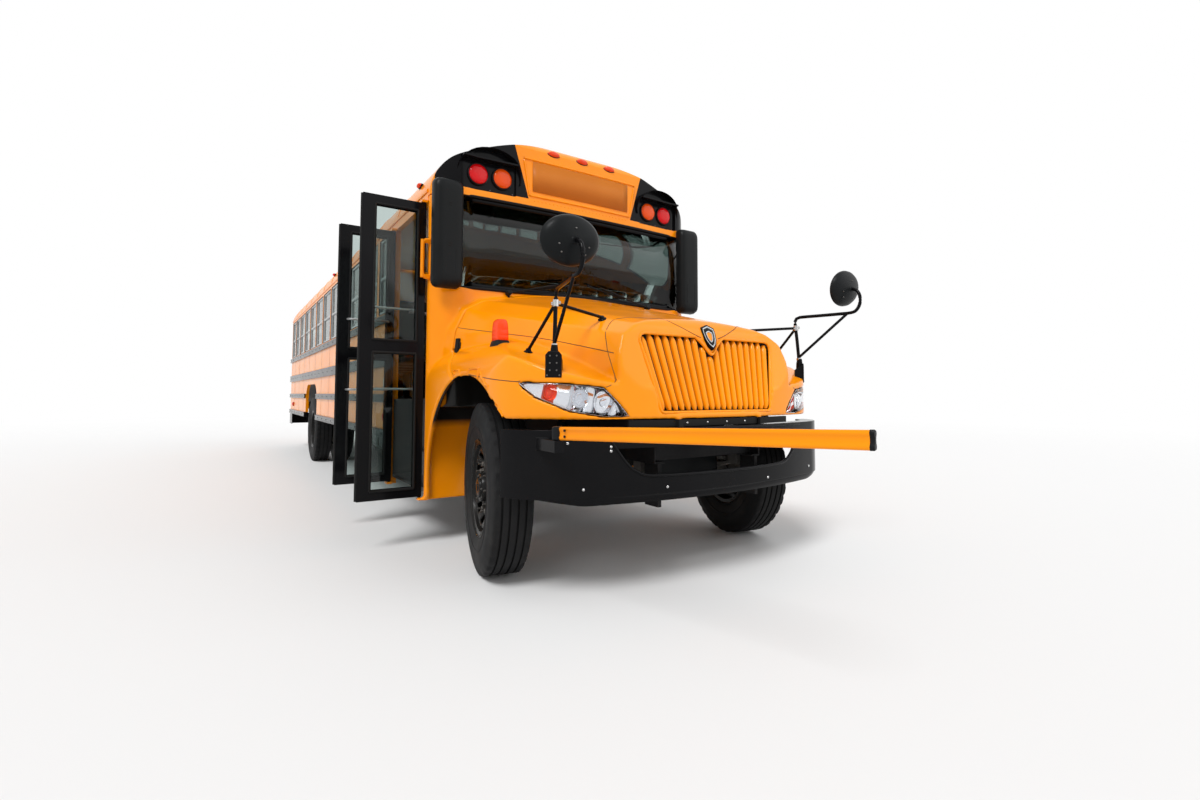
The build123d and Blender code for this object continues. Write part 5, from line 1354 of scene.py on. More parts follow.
@dataclass
class HeadLamp(SubAssembly):
    """Reflectors, bezel and bulbs behind one clear lens."""

    side: int = 1
    word: str = "left"
    body: ClassVar[str] = "hood_lid"
    edge: tuple[tuple[float, float], ...] = (
        (1146, 1143), (1050, 1140), (947, 1133), (865, 1126), (782, 1115), (745, 1084), (702, 1040), (668, 1000),
        (640, 969), (710, 967), (778, 968), (866, 982), (950, 998), (1020, 1034), (1087, 1072), (1120, 1110),
    )

    def _skin(self, y: float) -> float:
        """Station of the lens's outer face at an offset."""
        return swept(y, 910.0, 3339.0) if y <= 850 else swept(y - 645.4, 837.6, 574.8)

    def _ring(self, scale: float, depth: float) -> list[Vector]:
        """Lens outline drawn in by scale and set back.

        Args:
            scale: its size, where 1 is the lens's edge.
            depth: how far back, in millimetres.

        Returns:
            Its points.
        """
        mid_y, mid_z = (sum(values) / len(self.edge) for values in zip(*self.edge))
        outline = ((mid_y + (y - mid_y) * scale, mid_z + (z - mid_z) * scale) for y, z in self.edge)
        return [at(self._skin(y) - depth, self.side * y, z) for y, z in outline]

    def _bowl(self, shape: Shape, y: float, z: float, radius: float, depth: float, steps: int) -> Matrix:
        """Adds a reflector.

        Args:
            shape: collects the reflector.
            y: its offset.
            z: its height.
            radius: its radius, in millimetres.
            depth: its depth, in millimetres.
            steps: steps round it.

        Returns:
            Its placement.
        """
        place = facing(at(self._skin(y) - 34, self.side * y, z), Vector((0.92, self.side * 0.36, 0.02)))
        profile = [(radius * MM * math.sqrt(k / 6), -depth * MM * (1 - k / 6)) for k in range(7)]
        shape.lathe(profile, place, steps)
        return place

    def build(self) -> None:
        """Builds the bezel, bucket, reflectors and bulbs."""
        bezel = [self._ring(*step) for step in ((1.0, 3), (0.985, 2), (0.93, 24), (0.9, 60))]
        self.add(Shape().loft(bezel, caps=False), f"lamp_bezel_{self.word}", "chrome", sharp=50, shell=0.002)
        bucket = [self._ring(*step) for step in ((0.9, 60), (0.5, 92), (0.1, 96))]
        self.add(Shape().loft(bucket), f"lamp_bucket_{self.word}", "chrome", sharp=20)
        bowls, bulbs, marker = Shape(), Shape(), Shape()
        for y, z, radius, depth in ((770, 1042, 50, 46), (888, 1060, 46, 42)):
            place = self._bowl(bowls, y, z, radius, depth, 28)
            bulbs.dome(place @ Matrix.Translation((0, 0, -depth * MM * 0.8)), 0.016, 0.03, 14, 4)
        place = self._bowl(marker, 1018, 1090, 36, 30, 24)
        marker.dome(place @ Matrix.Translation((0, 0, -0.026)), 0.02, 0.022, 14, 4)
        self.add(bowls, f"lamp_bowls_{self.word}", "chrome", shell=0.002)
        self.add(bulbs, f"lamp_bulbs_{self.word}", "lamp_clear")
        self.add(marker, f"lamp_marker_{self.word}", "lamp_orange", shell=0.002)


@dataclass
class TurnLamp(SubAssembly):
    """Ribbed lamp on a black foot, standing on the fender."""

    side: int = 1
    word: str = "left"
    body: ClassVar[str] = "hood_lid"
    x: float = 95.0
    y: float = 1055.0
    z: float = 1406.0

    def _rings(self, sections: Iterable[tuple[float, float, float, float]]) -> Shape:
        """Skin over rounded rectangles.

        Args:
            sections: half length, half width, height and corner of each, in millimetres.

        Returns:
            The shape.
        """
        return Shape().loft([
            [at(self.x + u, self.side * self.y + v, self.z + z) for u, v in rounded(half_x, half_y, corner, 4)]
            for half_x, half_y, z, corner in sections
        ])

    def build(self) -> None:
        """Builds the foot and the lens."""
        lens = self._rings((
            (46, 33, 0, 10), (50, 37, 4, 12), (50, 37, 26, 12), (49, 36, 29, 12), (50, 37, 32, 12), (49, 36, 62, 12),
            (48, 35, 65, 12), (49, 36, 68, 12), (47, 34, 100, 14), (43, 31, 118, 14), (34, 24, 128, 12),
            (16, 10, 131, 8)))
        made = self.add(lens, f"turn_lamp_{self.word}_lens", "lamp_orange", sharp=60)
        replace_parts(made, *(["turn_lamps"] if self.side > 0 else []))
        foot = self._rings(((60, 44, -72, 6), (60, 44, -34, 6), (52, 38, -3, 8), (46, 33, 2, 8)))
        self.add(foot, f"turn_lamp_{self.word}_foot", "black_plastic", sharp=40)


@dataclass
class CrossviewMirror(SubAssembly):
    """Convex mirror on a braced stand."""

    surface: Surface
    side: int = 1
    word: str = "left"
    body: ClassVar[str] = "hood_lid"

    def build(self) -> None:
        """Builds the head, stand, clamps, plate and bolts."""
        s, word = self.side, self.word
        head, top = at(1022, s * 1094, 1806), at(662, s * 987, 1640)
        foot, end = at(680, s * 1005, 1296), at(1012, s * 1088, 1640)
        joint = foot.lerp(top, 0.78)
        bolts = Shape()
        self._head(head, bolts)
        self._stand(foot, top, end, head, joint)
        clamps = Shape()
        for share, half in ((0.13, 0.008), (0.78, 0.02)):
            clamps.lathe([(0.0118, -half), (0.0165, -half * 0.9), (0.0165, half * 0.9), (0.0118, half)],
                         facing(foot.lerp(top, share), top - foot), 16)
        clamps.lathe([(0.0, -0.026), (0.01, -0.026), (0.01, 0.026), (0.0, 0.026)],
                     facing(joint, Vector((0.3, 1, 0.2))), 12)
        self.add(clamps, f"crossview_{word}_clamps", "bright_steel")
        self._bracket(foot, bolts)
        self.add(bolts, f"crossview_{word}_bolts", "lug_steel")

    def _head(self, head: Vector, bolts: Shape) -> None:
        """Builds the oval back and the glass.

        Args:
            head: the mirror's middle.
            bolts: collects the bolts of its back.
        """
        look = Vector((0.98, self.side * 0.05, -0.2))
        back = facing(head, look) @ Matrix.Diagonal((1.05, 0.81, 1.0, 1.0))
        shell = Shape().lathe(
            [(0.0, 0.026), (0.02, 0.026), (0.024, 0.02), (0.06, 0.014), (0.1, 0.004), (0.13, -0.01), (0.146, -0.026),
             (0.15, -0.04), (0.148, -0.046), (0.138, -0.046), (0.136, -0.036), (0.0, -0.03)], back, 48)
        made = self.add(shell, f"crossview_{self.word}_back", "black_plastic", sharp=30)
        if self.side > 0:
            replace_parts(made, "crossview_mirrors")
        glass = Shape().lathe(
            [(0.0, -0.076), (0.05, -0.072), (0.09, -0.062), (0.12, -0.05), (0.137, -0.04)], back, 48)
        self.add(glass, f"crossview_{self.word}_glass", "mirror_face", sharp=60)
        for across, up in ((-0.075, -0.03), (-0.06, -0.075), (0.075, -0.03), (0.06, -0.075), (0.0, 0.07)):
            lift = 0.026 - 0.17 * math.hypot(across, up)
            bolts.dome(back @ Matrix.Translation((across, up, lift)), 0.005, 0.004, 10, 3)

    def _stand(self, foot: Vector, top: Vector, end: Vector, head: Vector, joint: Vector) -> None:
        """Builds the bent stand, its braces and their feet on the hood.

        Args:
            foot: its lower end.
            top: its bend.
            end: end of its upper arm.
            head: the mirror's middle.
            joint: where the braces start.
        """
        s = self.side
        stand = Shape()
        bend = [foot, foot.lerp(top, 0.5), top - UP * 0.03, top.lerp(end, 0.03) - UP * 0.008, top.lerp(end, 0.1),
                top.lerp(end, 0.5), end]
        stand.tube(smooth_line(bend, 0.02), 0.0115, 12)
        neck = [end, at(1066, s * 1091, 1648), at(1098, s * 1093, 1690), at(1100, s * 1094, 1748),
                at(1074, s * 1094, 1792), head]
        stand.tube(smooth_line(neck, 0.015), 0.011, 12)
        stand.tube([foot.lerp(top, 0.16), end], 0.0095, 12)
        for guess in (at(405, s * 1018, 1330), at(530, s * 597, 1504)):
            spot, lean = self.surface.nearest(guess)
            stand.tube([joint, spot + lean * 0.014], 0.0095, 12)
            stand.lathe([(0.0, 0.022), (0.013, 0.02), (0.018, 0.008), (0.026, 0.003), (0.026, -0.006),
                         (0.0, -0.006)], facing(spot, lean), 18)
        self.add(stand, f"crossview_{self.word}_stand", "black_paint")

    def _bracket(self, foot: Vector, bolts: Shape) -> None:
        """Builds the plate on the fender, which is turned outwards.

        Args:
            foot: the stand's lower end.
            bolts: collects the plate's bolts.
        """
        s = self.side
        ahead, across = Vector((0.74, s * 0.67, 0)), Vector((0.67, -s * 0.74, 0))

        def spot(out: float, along: float, z: float) -> Vector:
            """Point of the bracket in its own directions, in millimetres."""
            return at(700, s * 1022, z) + (ahead * out + across * along) * MM

        plate = Shape()
        outline = ((-44, 1170), (44, 1170), (44, 1288), (28, 1308), (-28, 1308), (-44, 1288))
        plate.prism([spot(0, along, z) for along, z in outline], ahead * -0.012)
        cheek = ((-8, 1176), (-62, 1212), (-62, 1262), (-8, 1300))
        plate.prism([spot(out, -38, z) for out, z in cheek], across * 0.076)
        plate.lathe([(0.0, 0.04), (0.017, 0.036), (0.022, 0.0), (0.022, -0.04), (0.0, -0.04)],
                    facing(foot + UP * 0.01, Vector((0.05, 0, 1))), 16)
        self.add(plate, f"crossview_{self.word}_plate", "black_paint", bevel=0.003)
        rows = ((1284, 18), (1246, 18), (1208, 18), (1182, 33))
        bolts.dots([spot(0, sign * half, z) for z, half in rows for sign in (-1, 1)], ahead, 0.005, 0.003)


# Lamps, mirrors and glass


@dataclass
class RoundLamp(SubAssembly):
    """Warning and tail lamps: round lenses in black rims."""

    lamp_z: float = 2728.0
    tail_z: float = 1206.0

    def build(self) -> None:
        """Builds the lamps and the screws of the front panels."""
        rims, red, amber = Shape(), Shape(), Shape()
        for side, _ in SIDES:
            lamps = []
            for y, lens in ((897, red), (707, amber)):
                lamps += [(lens, front_x(y, 21), y, self.lamp_z, AHEAD), (lens, REAR_X - 5, y, self.lamp_z, ASTERN)]
            lamps += [(red, REAR_X, 985, self.tail_z, ASTERN), (amber, REAR_X, 780, self.tail_z, ASTERN)]
            for lens, x, y, z, look in lamps:
                place = facing(at(x, side * y, z), look)
                lens.lathe([(0.0, 0.034), (0.03, 0.033), (0.055, 0.029), (0.07, 0.022), (0.077, 0.01),
                            (0.077, 0.0)], place, 40)
                rims.lathe([(0.075, 0.0), (0.075, 0.018), (0.079, 0.021), (0.084, 0.018), (0.087, 0.0)], place, 40)
        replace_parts(self.add(red, "red_lenses", "lamp_red", sharp=60), "red_lamps")
        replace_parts(self.add(amber, "amber_lenses", "lamp_amber", sharp=60), "amber_lamps")
        self.add(rims, "lamp_rims", "black_plastic")
        screws = Shape().dots([at(front_x(y, 19), side * y, z) for side, _ in SIDES for y in (622, 802, 1012)
                               for z in (2622, 2834)], AHEAD, 0.005, 0.003)
        self.add(screws, "lamp_panel_screws", "lug_steel")


@dataclass
class FrontBumper(SubAssembly):
    """Rolled lip round the bumper's dish, its valance and bolts."""

    @staticmethod
    def face(y: float) -> float:
        """Station of the bumper's face at an offset."""
        return swept(y, 927.0, 3760.0) if abs(y) <= 950 else swept(abs(y) - 841.0, 820.0, 417.0)

    def build(self) -> None:
        """Builds the lip, valance and bolts."""
        half = ((760, 846), (722, 790), (660, 712), (610, 676), (560, 656), (480, 649), (300, 646), (120, 645))
        dish = [*[(-y, z) for y, z in half], *reversed(half)]
        lip = Shape().tube(smooth_line([at(self.face(y) - 3, y, z) for y, z in dish], 0.025), 0.009, 10)
        lip.tube(smooth_line([at(self.face(y) - 1, y, 893) for y in range(-780, 781, 60)], 0.04), 0.008, 10)
        self.add(lip, "bumper_lip", "black_paint", sharp=60)
        rows = []
        for y in range(-1120, 1121, 40):
            low = 512 + 40 * max(0.0, abs(y) - 900) / 220
            section = ((9, 560), (3, 552), (6, low + 14), (14, low), (20, low), (15, 560))
            rows.append([at(self.face(y) - depth, y, z) for depth, z in section])
        self.add(Shape().loft(rows), "bumper_valance", "black_paint", sharp=50)
        bolts = Shape()
        for y, z in ((-988, 836), (-759, 812), (-759, 790), (-424, 585), (-907, 600), (382, 575), (907, 600),
                     (759, 812), (759, 790), (988, 836)):
            bolts.dome(facing(at(self.face(y), y, z), Vector((1, 0.25 * y * MM, 0))), 0.0085, 0.006, 14, 3)
        self.add(bolts, "bumper_bolts", "bright_steel")


@dataclass
class MarkerLamps(SubAssembly):
    """Clearance and side markers and the rear reflectors."""

    @staticmethod
    def _oval(place: Matrix, half_w: float, half_h: float, lens: Shape, feet: Shape) -> None:
        """Adds a low oval lens on a foot.

        Args:
            place: placement of its seat.
            half_w: half its width, in metres.
            half_h: half its height, in metres.
            lens: collects the lens.
            feet: collects the foot.
        """

        def rings(*sections: tuple[float, float]) -> list[list[Vector]]:
            """Ovals at pairs of scale and height."""
            angles = [2 * math.pi * k / 20 for k in range(20)]
            return [[place @ Vector((half_w * scale * math.cos(a), half_h * scale * math.sin(a), lift))
                     for a in angles] for scale, lift in sections]

        feet.loft(rings((1.12, -0.012), (1.12, 0.003), (1.04, 0.006)))
        lens.loft(rings((1.0, 0.004), (1.0, 0.01), (0.9, 0.018), (0.68, 0.024), (0.3, 0.027)))

    def build(self) -> None:
        """Builds the lamps on their feet."""
        front, rear, feet = Shape(), Shape(), Shape()
        lamps = [(front, at(-678, y, 3012), Vector((0.86, 0, 0.5)), 0.052, 0.026) for y in (-270, 0, 272)]
        lamps += [(rear, at(REAR_X, y, 2930), Vector((-1, 0, 0.05)), 0.046, 0.02) for y in (-180, 0, 180)]
        for side, _ in SIDES:
            out = Vector((0, side, 0))
            lamps += [(lens, at(x, side * 1196, 2712), Vector((0, side, 0.25)), 0.04, 0.018)
                      for x, lens in ((-5170, rear), (-1150, front))]
            lamps += [(lens, at(x, side * WALL_Y, 880), out, 0.038, 0.038)
                      for x, lens in ((-1000 if side > 0 else -2050, front), (-9700, rear))]
            lamps.append((rear, at(REAR_X, side * 1130, 1206), ASTERN, 0.036, 0.036))
        for lens, spot, look, half_w, half_h in lamps:
            self._oval(facing(spot, look), half_w, half_h, lens, feet)
        self.add(front, "markers_front", "lamp_orange", sharp=60)
        self.add(rear, "markers_rear", "lamp_red", sharp=60)
        self.add(feet, "marker_feet", "black_plastic")


@dataclass
class SideMirror(SubAssembly):
    """Tall rounded housing with a flat and a convex glass."""

    side: int = 1
    word: str = "left"
    y: float = 1141.0

    def _loft(self, sections: Iterable[tuple[float, float, float, float, float]]) -> Shape:
        """Skin over upright rounded rectangles.

        Args:
            sections: station, half width, low edge, top edge and corner of each.

        Returns:
            The shape.
        """
        rings = []
        for x, half_y, low, top, corner in sections:
            outline = rounded(half_y, (top - low) / 2, corner, 5)
            rings.append([at(x, self.side * self.y + u, (low + top) / 2 + v) for u, v in outline])
        return Shape().loft(rings)

    def build(self) -> None:
        """Builds the housing, ribs, glasses and arms."""
        s, y, prefix = self.side, self.y, f"side_mirror_{self.word}"
        housing = self._loft((x, half, 1836 + d, 2622 - d, corner) for x, half, d, corner in (
            (-680, 102, 4, 40), (-677, 108, 0, 44), (-652, 108, 0, 46), (-616, 103, 10, 50), (-599, 90, 26, 50),
            (-592, 70, 52, 44), (-591, 40, 100, 24)))
        made = self.add(housing, f"{prefix}_housing", "black_plastic", sharp=60)
        if s > 0:
            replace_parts(made, "side_mirrors")
        ribs = Shape()
        for z in (2130, 2148, 2420, 2438):
            ribs.tube([at(-593 - abs(dy) * 0.09, s * (y + dy), z) for dy in (-80, -50, 0, 50, 80)], 0.004, 6)
        for dy in (-46, 46):
            ribs.tube([at(-593, s * (y + dy), z) for z in (1930, 2110)], 0.004, 6)
        self.add(ribs, f"{prefix}_ribs", "black_plastic")
        flat = self._loft(((-681, 94, 2100, 2608, 36), (-684, 92, 2102, 2606, 36)))
        self.add(flat, f"{prefix}_glass", "mirror_face")
        convex = self._loft(((-681, 94, 1850, 2076, 36), (-686, 84, 1860, 2066, 34), (-690, 50, 1894, 2032, 24)))
        self.add(convex, f"{prefix}_convex", "mirror_face", sharp=70)
        arms = Shape()
        for z in (1960, 2440):
            arms.tube([at(x, s * (y + dy), z) for x, dy in ((-640, 0), (-700, 3), (-780, 9))], 0.0125, 12)
            arms.lathe([(0.0, 0.03), (0.02, 0.028), (0.034, 0.012), (0.036, 0.0), (0.0, -0.01)],
                       facing(at(-748, s * (y + 5), z), Vector((0.8, s * 0.6, 0))), 20)
        self.add(arms, f"{prefix}_arms", "black_paint")


@dataclass
class WindshieldTrim(SubAssembly):
    """Black surround, gasket, wipers' caps, lamp hoods and the bare sign over the glass."""

    half: float = 1124.0
    low: float = 1862.0
    top: float = 2548.0

    def _edge(self, y: float) -> float:
        """Low edge of the clear glass at an offset, rounded at the corners."""
        return 1900.0 + 170.0 * min(max(0.0, abs(y) - 880.0) / 200.0, 1.0) ** 2.2

    def build(self) -> None:
        """Builds the surround, gasket, sign, lamp hoods and wipers' caps."""
        band, low, top = Shape(), self.low, self.top
        columns = [self.half * (i / 45 - 1) for i in range(91)]
        band.sheet([[on_front(y, z, 6.5) for z in (low, (low + self._edge(y)) / 2, self._edge(y))]
                    for y in columns])
        for side, _ in SIDES:
            sweep = [side * (1030 + 94 * k / 8) for k in range(9)]
            band.sheet([[on_front(y, z, 6.3) for z in (1990, 2200, 2400, top)] for y in sweep])
        band.sheet([[on_front(y, z, 6.3) for z in (2505, top)] for y in columns])
        self.add(band, "windshield_surround", "black_paint", shell=0.0015)
        uprights = (1950, 2100, 2250, 2400, 2500)
        path = [on_front(y, low + 2, 0) for y in columns]
        path += [on_front(self.half, z, 0) for z in uprights]
        path += [on_front(y, top + 1, 0) for y in reversed(columns)]
        path += [on_front(-self.half, z, 0) for z in reversed(uprights)]
        self.add(Shape().tube([*path, path[0]], 0.011, caps=False), "windshield_gasket", "seal_rubber")
        self._sign()
        self._hoods()
        caps = Shape()
        for side, _ in SIDES:
            caps.lathe([(0.0, 0.03), (0.012, 0.03), (0.02, 0.022), (0.022, -0.02), (0.0, -0.02)],
                       facing(at(-642, side * 665, 1848), Vector((1, 0, 0.1))), 18)
            caps.tube([at(-640, side * 655, 1850), at(-638, side * 480, 1893), at(-640, side * 235, 1956)], 0.0075)
            caps.box((-656, side * 60, 1899), (-655, side * 420, 1900))
        self.add(caps, "wiper_details", "black_plastic")

    def _sign(self) -> None:
        """Bare sign plate inside a raised frame, with a row of rivets under it."""
        plate = Shape().sheet([[on_front(57.5 * i, z, -4) for z in (2674, 2912)] for i in range(-8, 9)])
        self.add(plate, "sign_plate", "sign_bronze", shell=0.003)
        corners = ((-486, 2640), (486, 2640), (536, 2928), (-536, 2928))
        loop = []
        for (y0, z0), (y1, z1) in zip(corners, (*corners[1:], corners[0])):
            loop += [on_front(y0 + (y1 - y0) * k / 12, z0 + (z1 - z0) * k / 12, -1) for k in range(12)]
        frame = Shape().tube([*loop, loop[0]], 0.009, 10, caps=False)
        self.add(frame, "sign_frame", "body_yellow", sharp=60)
        rivets = Shape().dots([on_front(34 * i, 2603, 0) for i in range(-13, 14)], AHEAD, 0.006, 0.004)
        self.add(rivets, "sign_rivets", "body_yellow")

    def _hoods(self) -> None:
        """Curved visors over the warning lamps."""
        hoods = Shape()
        for side, _ in SIDES:
            rows = []
            for a in (math.radians(-14 + 208 * k / 20) for k in range(21)):
                outer, inner = (side * (811 + reach * math.cos(a)) for reach in (250, 242))
                z = 2742 + 184 * math.sin(a)
                out = 62 * min(1.0, 0.25 + max(0.0, math.sin(a)) * 1.1)
                rows.append([on_front(outer, z, 22), on_front(outer, z, -out * 0.6), on_front(outer, z - 4, -out),
                             on_front(inner, z - 8, -out * 0.6), on_front(inner, z - 8, 22)])
            hoods.loft(rows)
        self.add(hoods, "lamp_hoods", "black_paint", sharp=50)


# Body sides, roof and rear end


@dataclass
class BodySides(SubAssembly):
    """Rivets, drip rails, seams and window hardware along the walls."""

    arch: tuple[float, float] = (-7756.0, -6418.0)
    bay: float = 642.0
    posts: ClassVar[dict[int, int]] = {1: 12, -1: 11}

    def _clear(self, x: float, z: float, side: int) -> bool:
        """Whether a rivet may sit at a place of the wall."""
        over_arch = self.arch[0] - 40 < x < self.arch[1] + 40 and z < 1280
        return not over_arch and not (side < 0 and x > -1925)

    def _rows(self, side: int, y: float, heights: Iterable[float], stations: Sequence[float]) -> list[Vector]:
        """Seats in rows along a wall, where it is clear.

        Args:
            side: 1 for the left, -1 for the right.
            y: offset of the seats.
            heights: height of each row.
            stations: stations of its seats.

        Returns:
            The seats.
        """
        return [at(x, side * y, z) for z in heights for x in stations if self._clear(x, z, side)]

    def build(self) -> None:
        """Builds each side's details."""
        rivets, bolts, seams = Shape(), Shape(), Shape()
        rivets_x = [REAR_X + 60 + 118 * i for i in range(79)]
        bolts_x = [REAR_X + 150 + 400 * i for i in range(23)]
        for side, word in SIDES:
            out = Vector((0, side, 0))
            spots = self._rows(side, WALL_Y, (1815, 1712, 1459, 1316, 1096, 996, 782), rivets_x)
            rivets.dots(spots, out, 0.0065, 0.0028, 7)
            bolts.dots(self._rows(side, 1241, (1764, 1388, 1046, 729), bolts_x), out, 0.009, 0.005, 10, 3)
            for x in (REAR_X + WINDOW_PITCH * (i + 1) for i in range(self.posts[side])):
                for low, top in ((1452, 1719), (1090, 1323), (772, 1003)):
                    if self._clear(x, low + 5, side):
                        seams.box((x - 1.5, side * 1217, low), (x + 1.5, side * 1220, top))
                spots = [at(x + dx, side * WALL_Y, 1840 + 62 * k) for k in range(12) for dx in (-22, 22)]
                rivets.dots(spots, out, 0.005, 0.0024, 7)
            self._rails(side, word)
            self._window_hardware(side, word)
        self.add(rivets, "side_rivets", "body_yellow")
        self.add(bolts, "rail_bolts", "black_paint")
        self.add(seams, "panel_seams", "seam_dark")
        vent = Shape().box((-2135, -1223, 1143), (-1938, -1217, 1230))
        self.add(vent, "side_vent_plate", "sash_metal", bevel=0.002)

    def _rails(self, side: int, word: str) -> None:
        """Drip rail over the openings, and lips along each rub rail, so that it reads as ribbed.

        Args:
            side: 1 for the left, -1 for the right.
            word: the side's name.
        """
        section = ((1214, 2578), (1226, 2578), (1228, 2583), (1226, 2604), (1214, 2606))
        drip = Shape().loft([[at(x, side * y, z) for y, z in section] for x in (REAR_X + 4, FRONT_X - 6)])
        self.add(drip, f"drip_rail_{word}", "body_yellow", bevel=0.002)
        front = FRONT_X if side > 0 else ENTRY_X
        whole, cut = [(REAR_X, front)], [(REAR_X, self.arch[0] - 32), (self.arch[1] + 32, front)]
        section = ((1238, -11), (1246, -6), (1246, 6), (1238, 11))
        lips = Shape()
        for spans, low, top in ((whole, 1723, 1804), (whole, 1327, 1448), (cut, 1007, 1085), (cut, 689, 769)):
            for start, end in spans:
                for z in (low + 13, top - 13):
                    lips.loft([[at(x, side * y, z + dz) for y, dz in section] for x in (start + 2, end - 2)])
        self.add(lips, f"rail_lips_{word}", "black_paint", bevel=0.002)

    def _bays(self, side: int) -> list[tuple[float, float]]:
        """Side windows.

        Args:
            side: 1 for the left, -1 for the right.

        Returns:
            Middle and width of each.
        """
        count = self.posts[side]
        first, second = REAR_X + 90, REAR_X + (WINDOW_PITCH + self.bay) / 2
        last = REAR_X + count * WINDOW_PITCH
        front = ((last + FRONT_X) / 2, 690.0) if side > 0 else ((last + ENTRY_X) / 2, 420.0)
        middle = [(REAR_X + (i + 0.5) * WINDOW_PITCH, self.bay) for i in range(1, count)]
        return [((first + second) / 2, second - first), *middle, front]

    def _window_hardware(self, side: int, word: str) -> None:
        """Seals round the openings, the middle rail's lip and latches.

        Args:
            side: 1 for the left, -1 for the right.
            word: the side's name.
        """
        seals, lips, latches = Shape(), Shape(), Shape()
        for x, width in self._bays(side):
            rear, front = x - width / 2 + 4, x + width / 2 - 4
            seals.frame((rear, side * 1216, 1826), (front, side * 1216, 2539), 0.0055, 6)
            lips.box((rear + 28, side * 1210, 2156), (front - 28, side * 1217, 2172))
            for dx in (-0.3 * width, 0.3 * width):
                latches.box((x + dx - 16, side * 1166, 2148), (x + dx + 16, side * 1184, 2162))
        self.add(seals, f"window_seals_{word}", "seal_rubber")
        self.add(lips, f"window_lips_{word}", "sash_metal", bevel=0.002)
        self.add(latches, f"window_latches_{word}", "black_plastic", bevel=0.002)


@dataclass
class RoofTrim(SubAssembly):
    """Roof bows' rivets, seams and the hatches' hardware."""

    crown: float = 2300.0
    top_z: float = 3100.0
    corner: float = 300.0
    corner_y: float = 919.0
    steps: int = 40

    def _arc(self, x: float, lift: float = 0.0) -> list[Vector]:
        """Line across the roof, eave to eave.

        Args:
            x: its station.
            lift: height over the roof, in millimetres.

        Returns:
            The line's points.
        """
        crown_z = self.top_z - self.crown
        rise_z = math.sqrt((self.crown - self.corner) ** 2 - self.corner_y**2)
        rise = math.atan2(rise_z, self.corner_y)
        points = []
        for i in range(self.steps + 1):
            share = 2 * i / self.steps - 1
            if abs(share) < 0.6:
                a = math.pi / 2 - (math.pi / 2 - rise) * abs(share) / 0.6
                radius, y, z = self.crown + lift, 0.0, crown_z
            else:
                a = rise * (1 - (abs(share) - 0.6) / 0.4)
                radius, y, z = self.corner + lift, self.corner_y, crown_z + rise_z
            points.append(at(x, math.copysign(y + radius * math.cos(a), share), z + radius * math.sin(a)))
        return points

    def build(self) -> None:
        """Builds the seams, rivets and hatch handles."""
        seams, rivets = Shape(), Shape()
        for x in (REAR_X + WINDOW_PITCH * i for i in range(1, 13)):
            seams.tube(self._arc(x, 1.0), 0.004, 6)
            for dx in (-20, 20):
                for spot in self._arc(x + dx)[1:-1]:
                    rivets.dome(facing(spot, Vector((0, spot.y, spot.z - 0.9))), 0.005, 0.0025, 6, 2)
        self.add(seams, "roof_seams", "body_yellow")
        self.add(rivets, "roof_rivets", "body_yellow")
        handles, rims = Shape(), Shape()
        for x in HATCHES_X:
            handles.box((x - 90, -14, 3153), (x + 90, 14, 3156))
            grip = ((-60, 3152), (-60, 3163), (60, 3163), (60, 3152))
            handles.tube([at(x + dx, 0, z) for dx, z in grip], 0.005)
            for y in (-250, 250):
                handles.box((x + 290, y - 30, 3130), (x + 334, y + 30, 3140))
            rims.frame((x - 332, -332, 3118), (x + 332, 332, 3118), 0.009)
        self.add(handles, "hatch_hardware", "black_plastic", bevel=0.002)
        self.add(rims, "hatch_rims", "body_yellow")


@dataclass
class RearEnd(SubAssembly):
    """Emergency door's handle and seals, rear seals, bare plate and rivets."""

    def build(self) -> None:
        """Builds the rear end's details."""
        face = REAR_X - 1
        seals, door_seals = Shape(), Shape()
        for side, _ in SIDES:
            seals.frame((face, side * 590, 1822), (face, side * 1090, 2483), 0.011)
        for low, top in ((1180, 1530), (1780, 2450)):
            door_seals.frame((face, -370, low), (face, 370, top), 0.011)
        self.add(seals, "rear_window_seals", "seal_rubber")
        self.add(door_seals, "rear_door_seals", "seal_rubber", "emergency_door")
        bar = [at(x, y, 1640) for x, y in ((-10290, 392), (-10292, 330), (-10292, 215))]
        lever = Shape().tube(smooth_line(bar, 0.02), 0.011, 12)
        lever.lathe([(0.0, 0.046), (0.02, 0.044), (0.034, 0.03), (0.04, 0.0), (0.0, 0.0)],
                    facing(at(REAR_X, 392, 1640), ASTERN), 24)
        self.add(lever, "rear_door_lever", "chrome", "emergency_door")
        hinges = Shape()
        for z in (1285, 1625, 2405):
            for y in (-452, -424):
                hinges.bolt(facing(at(REAR_X - 30, y, z), ASTERN), 0.008, 0.006)
        self.add(hinges, "rear_hinge_bolts", "lug_steel", "emergency_door")
        plate = Shape().box((REAR_X - 5, 697, 889), (REAR_X, 1003, 1041))
        self.add(plate, "rear_plate", "sheet_white", bevel=0.002)
        spots = [at(REAR_X, side * y, 800 + 150 * i) for side, _ in SIDES for i in range(12) for y in (520, 1180)]
        rivets = Shape().dots(spots, ASTERN, 0.006, 0.003, 7)
        rivets.dots([at(REAR_X - 5, y, 965) for y in (761, 939)], ASTERN, 0.007, 0.004)
        self.add(rivets, "rear_rivets", "body_yellow")


# Entrance and arms


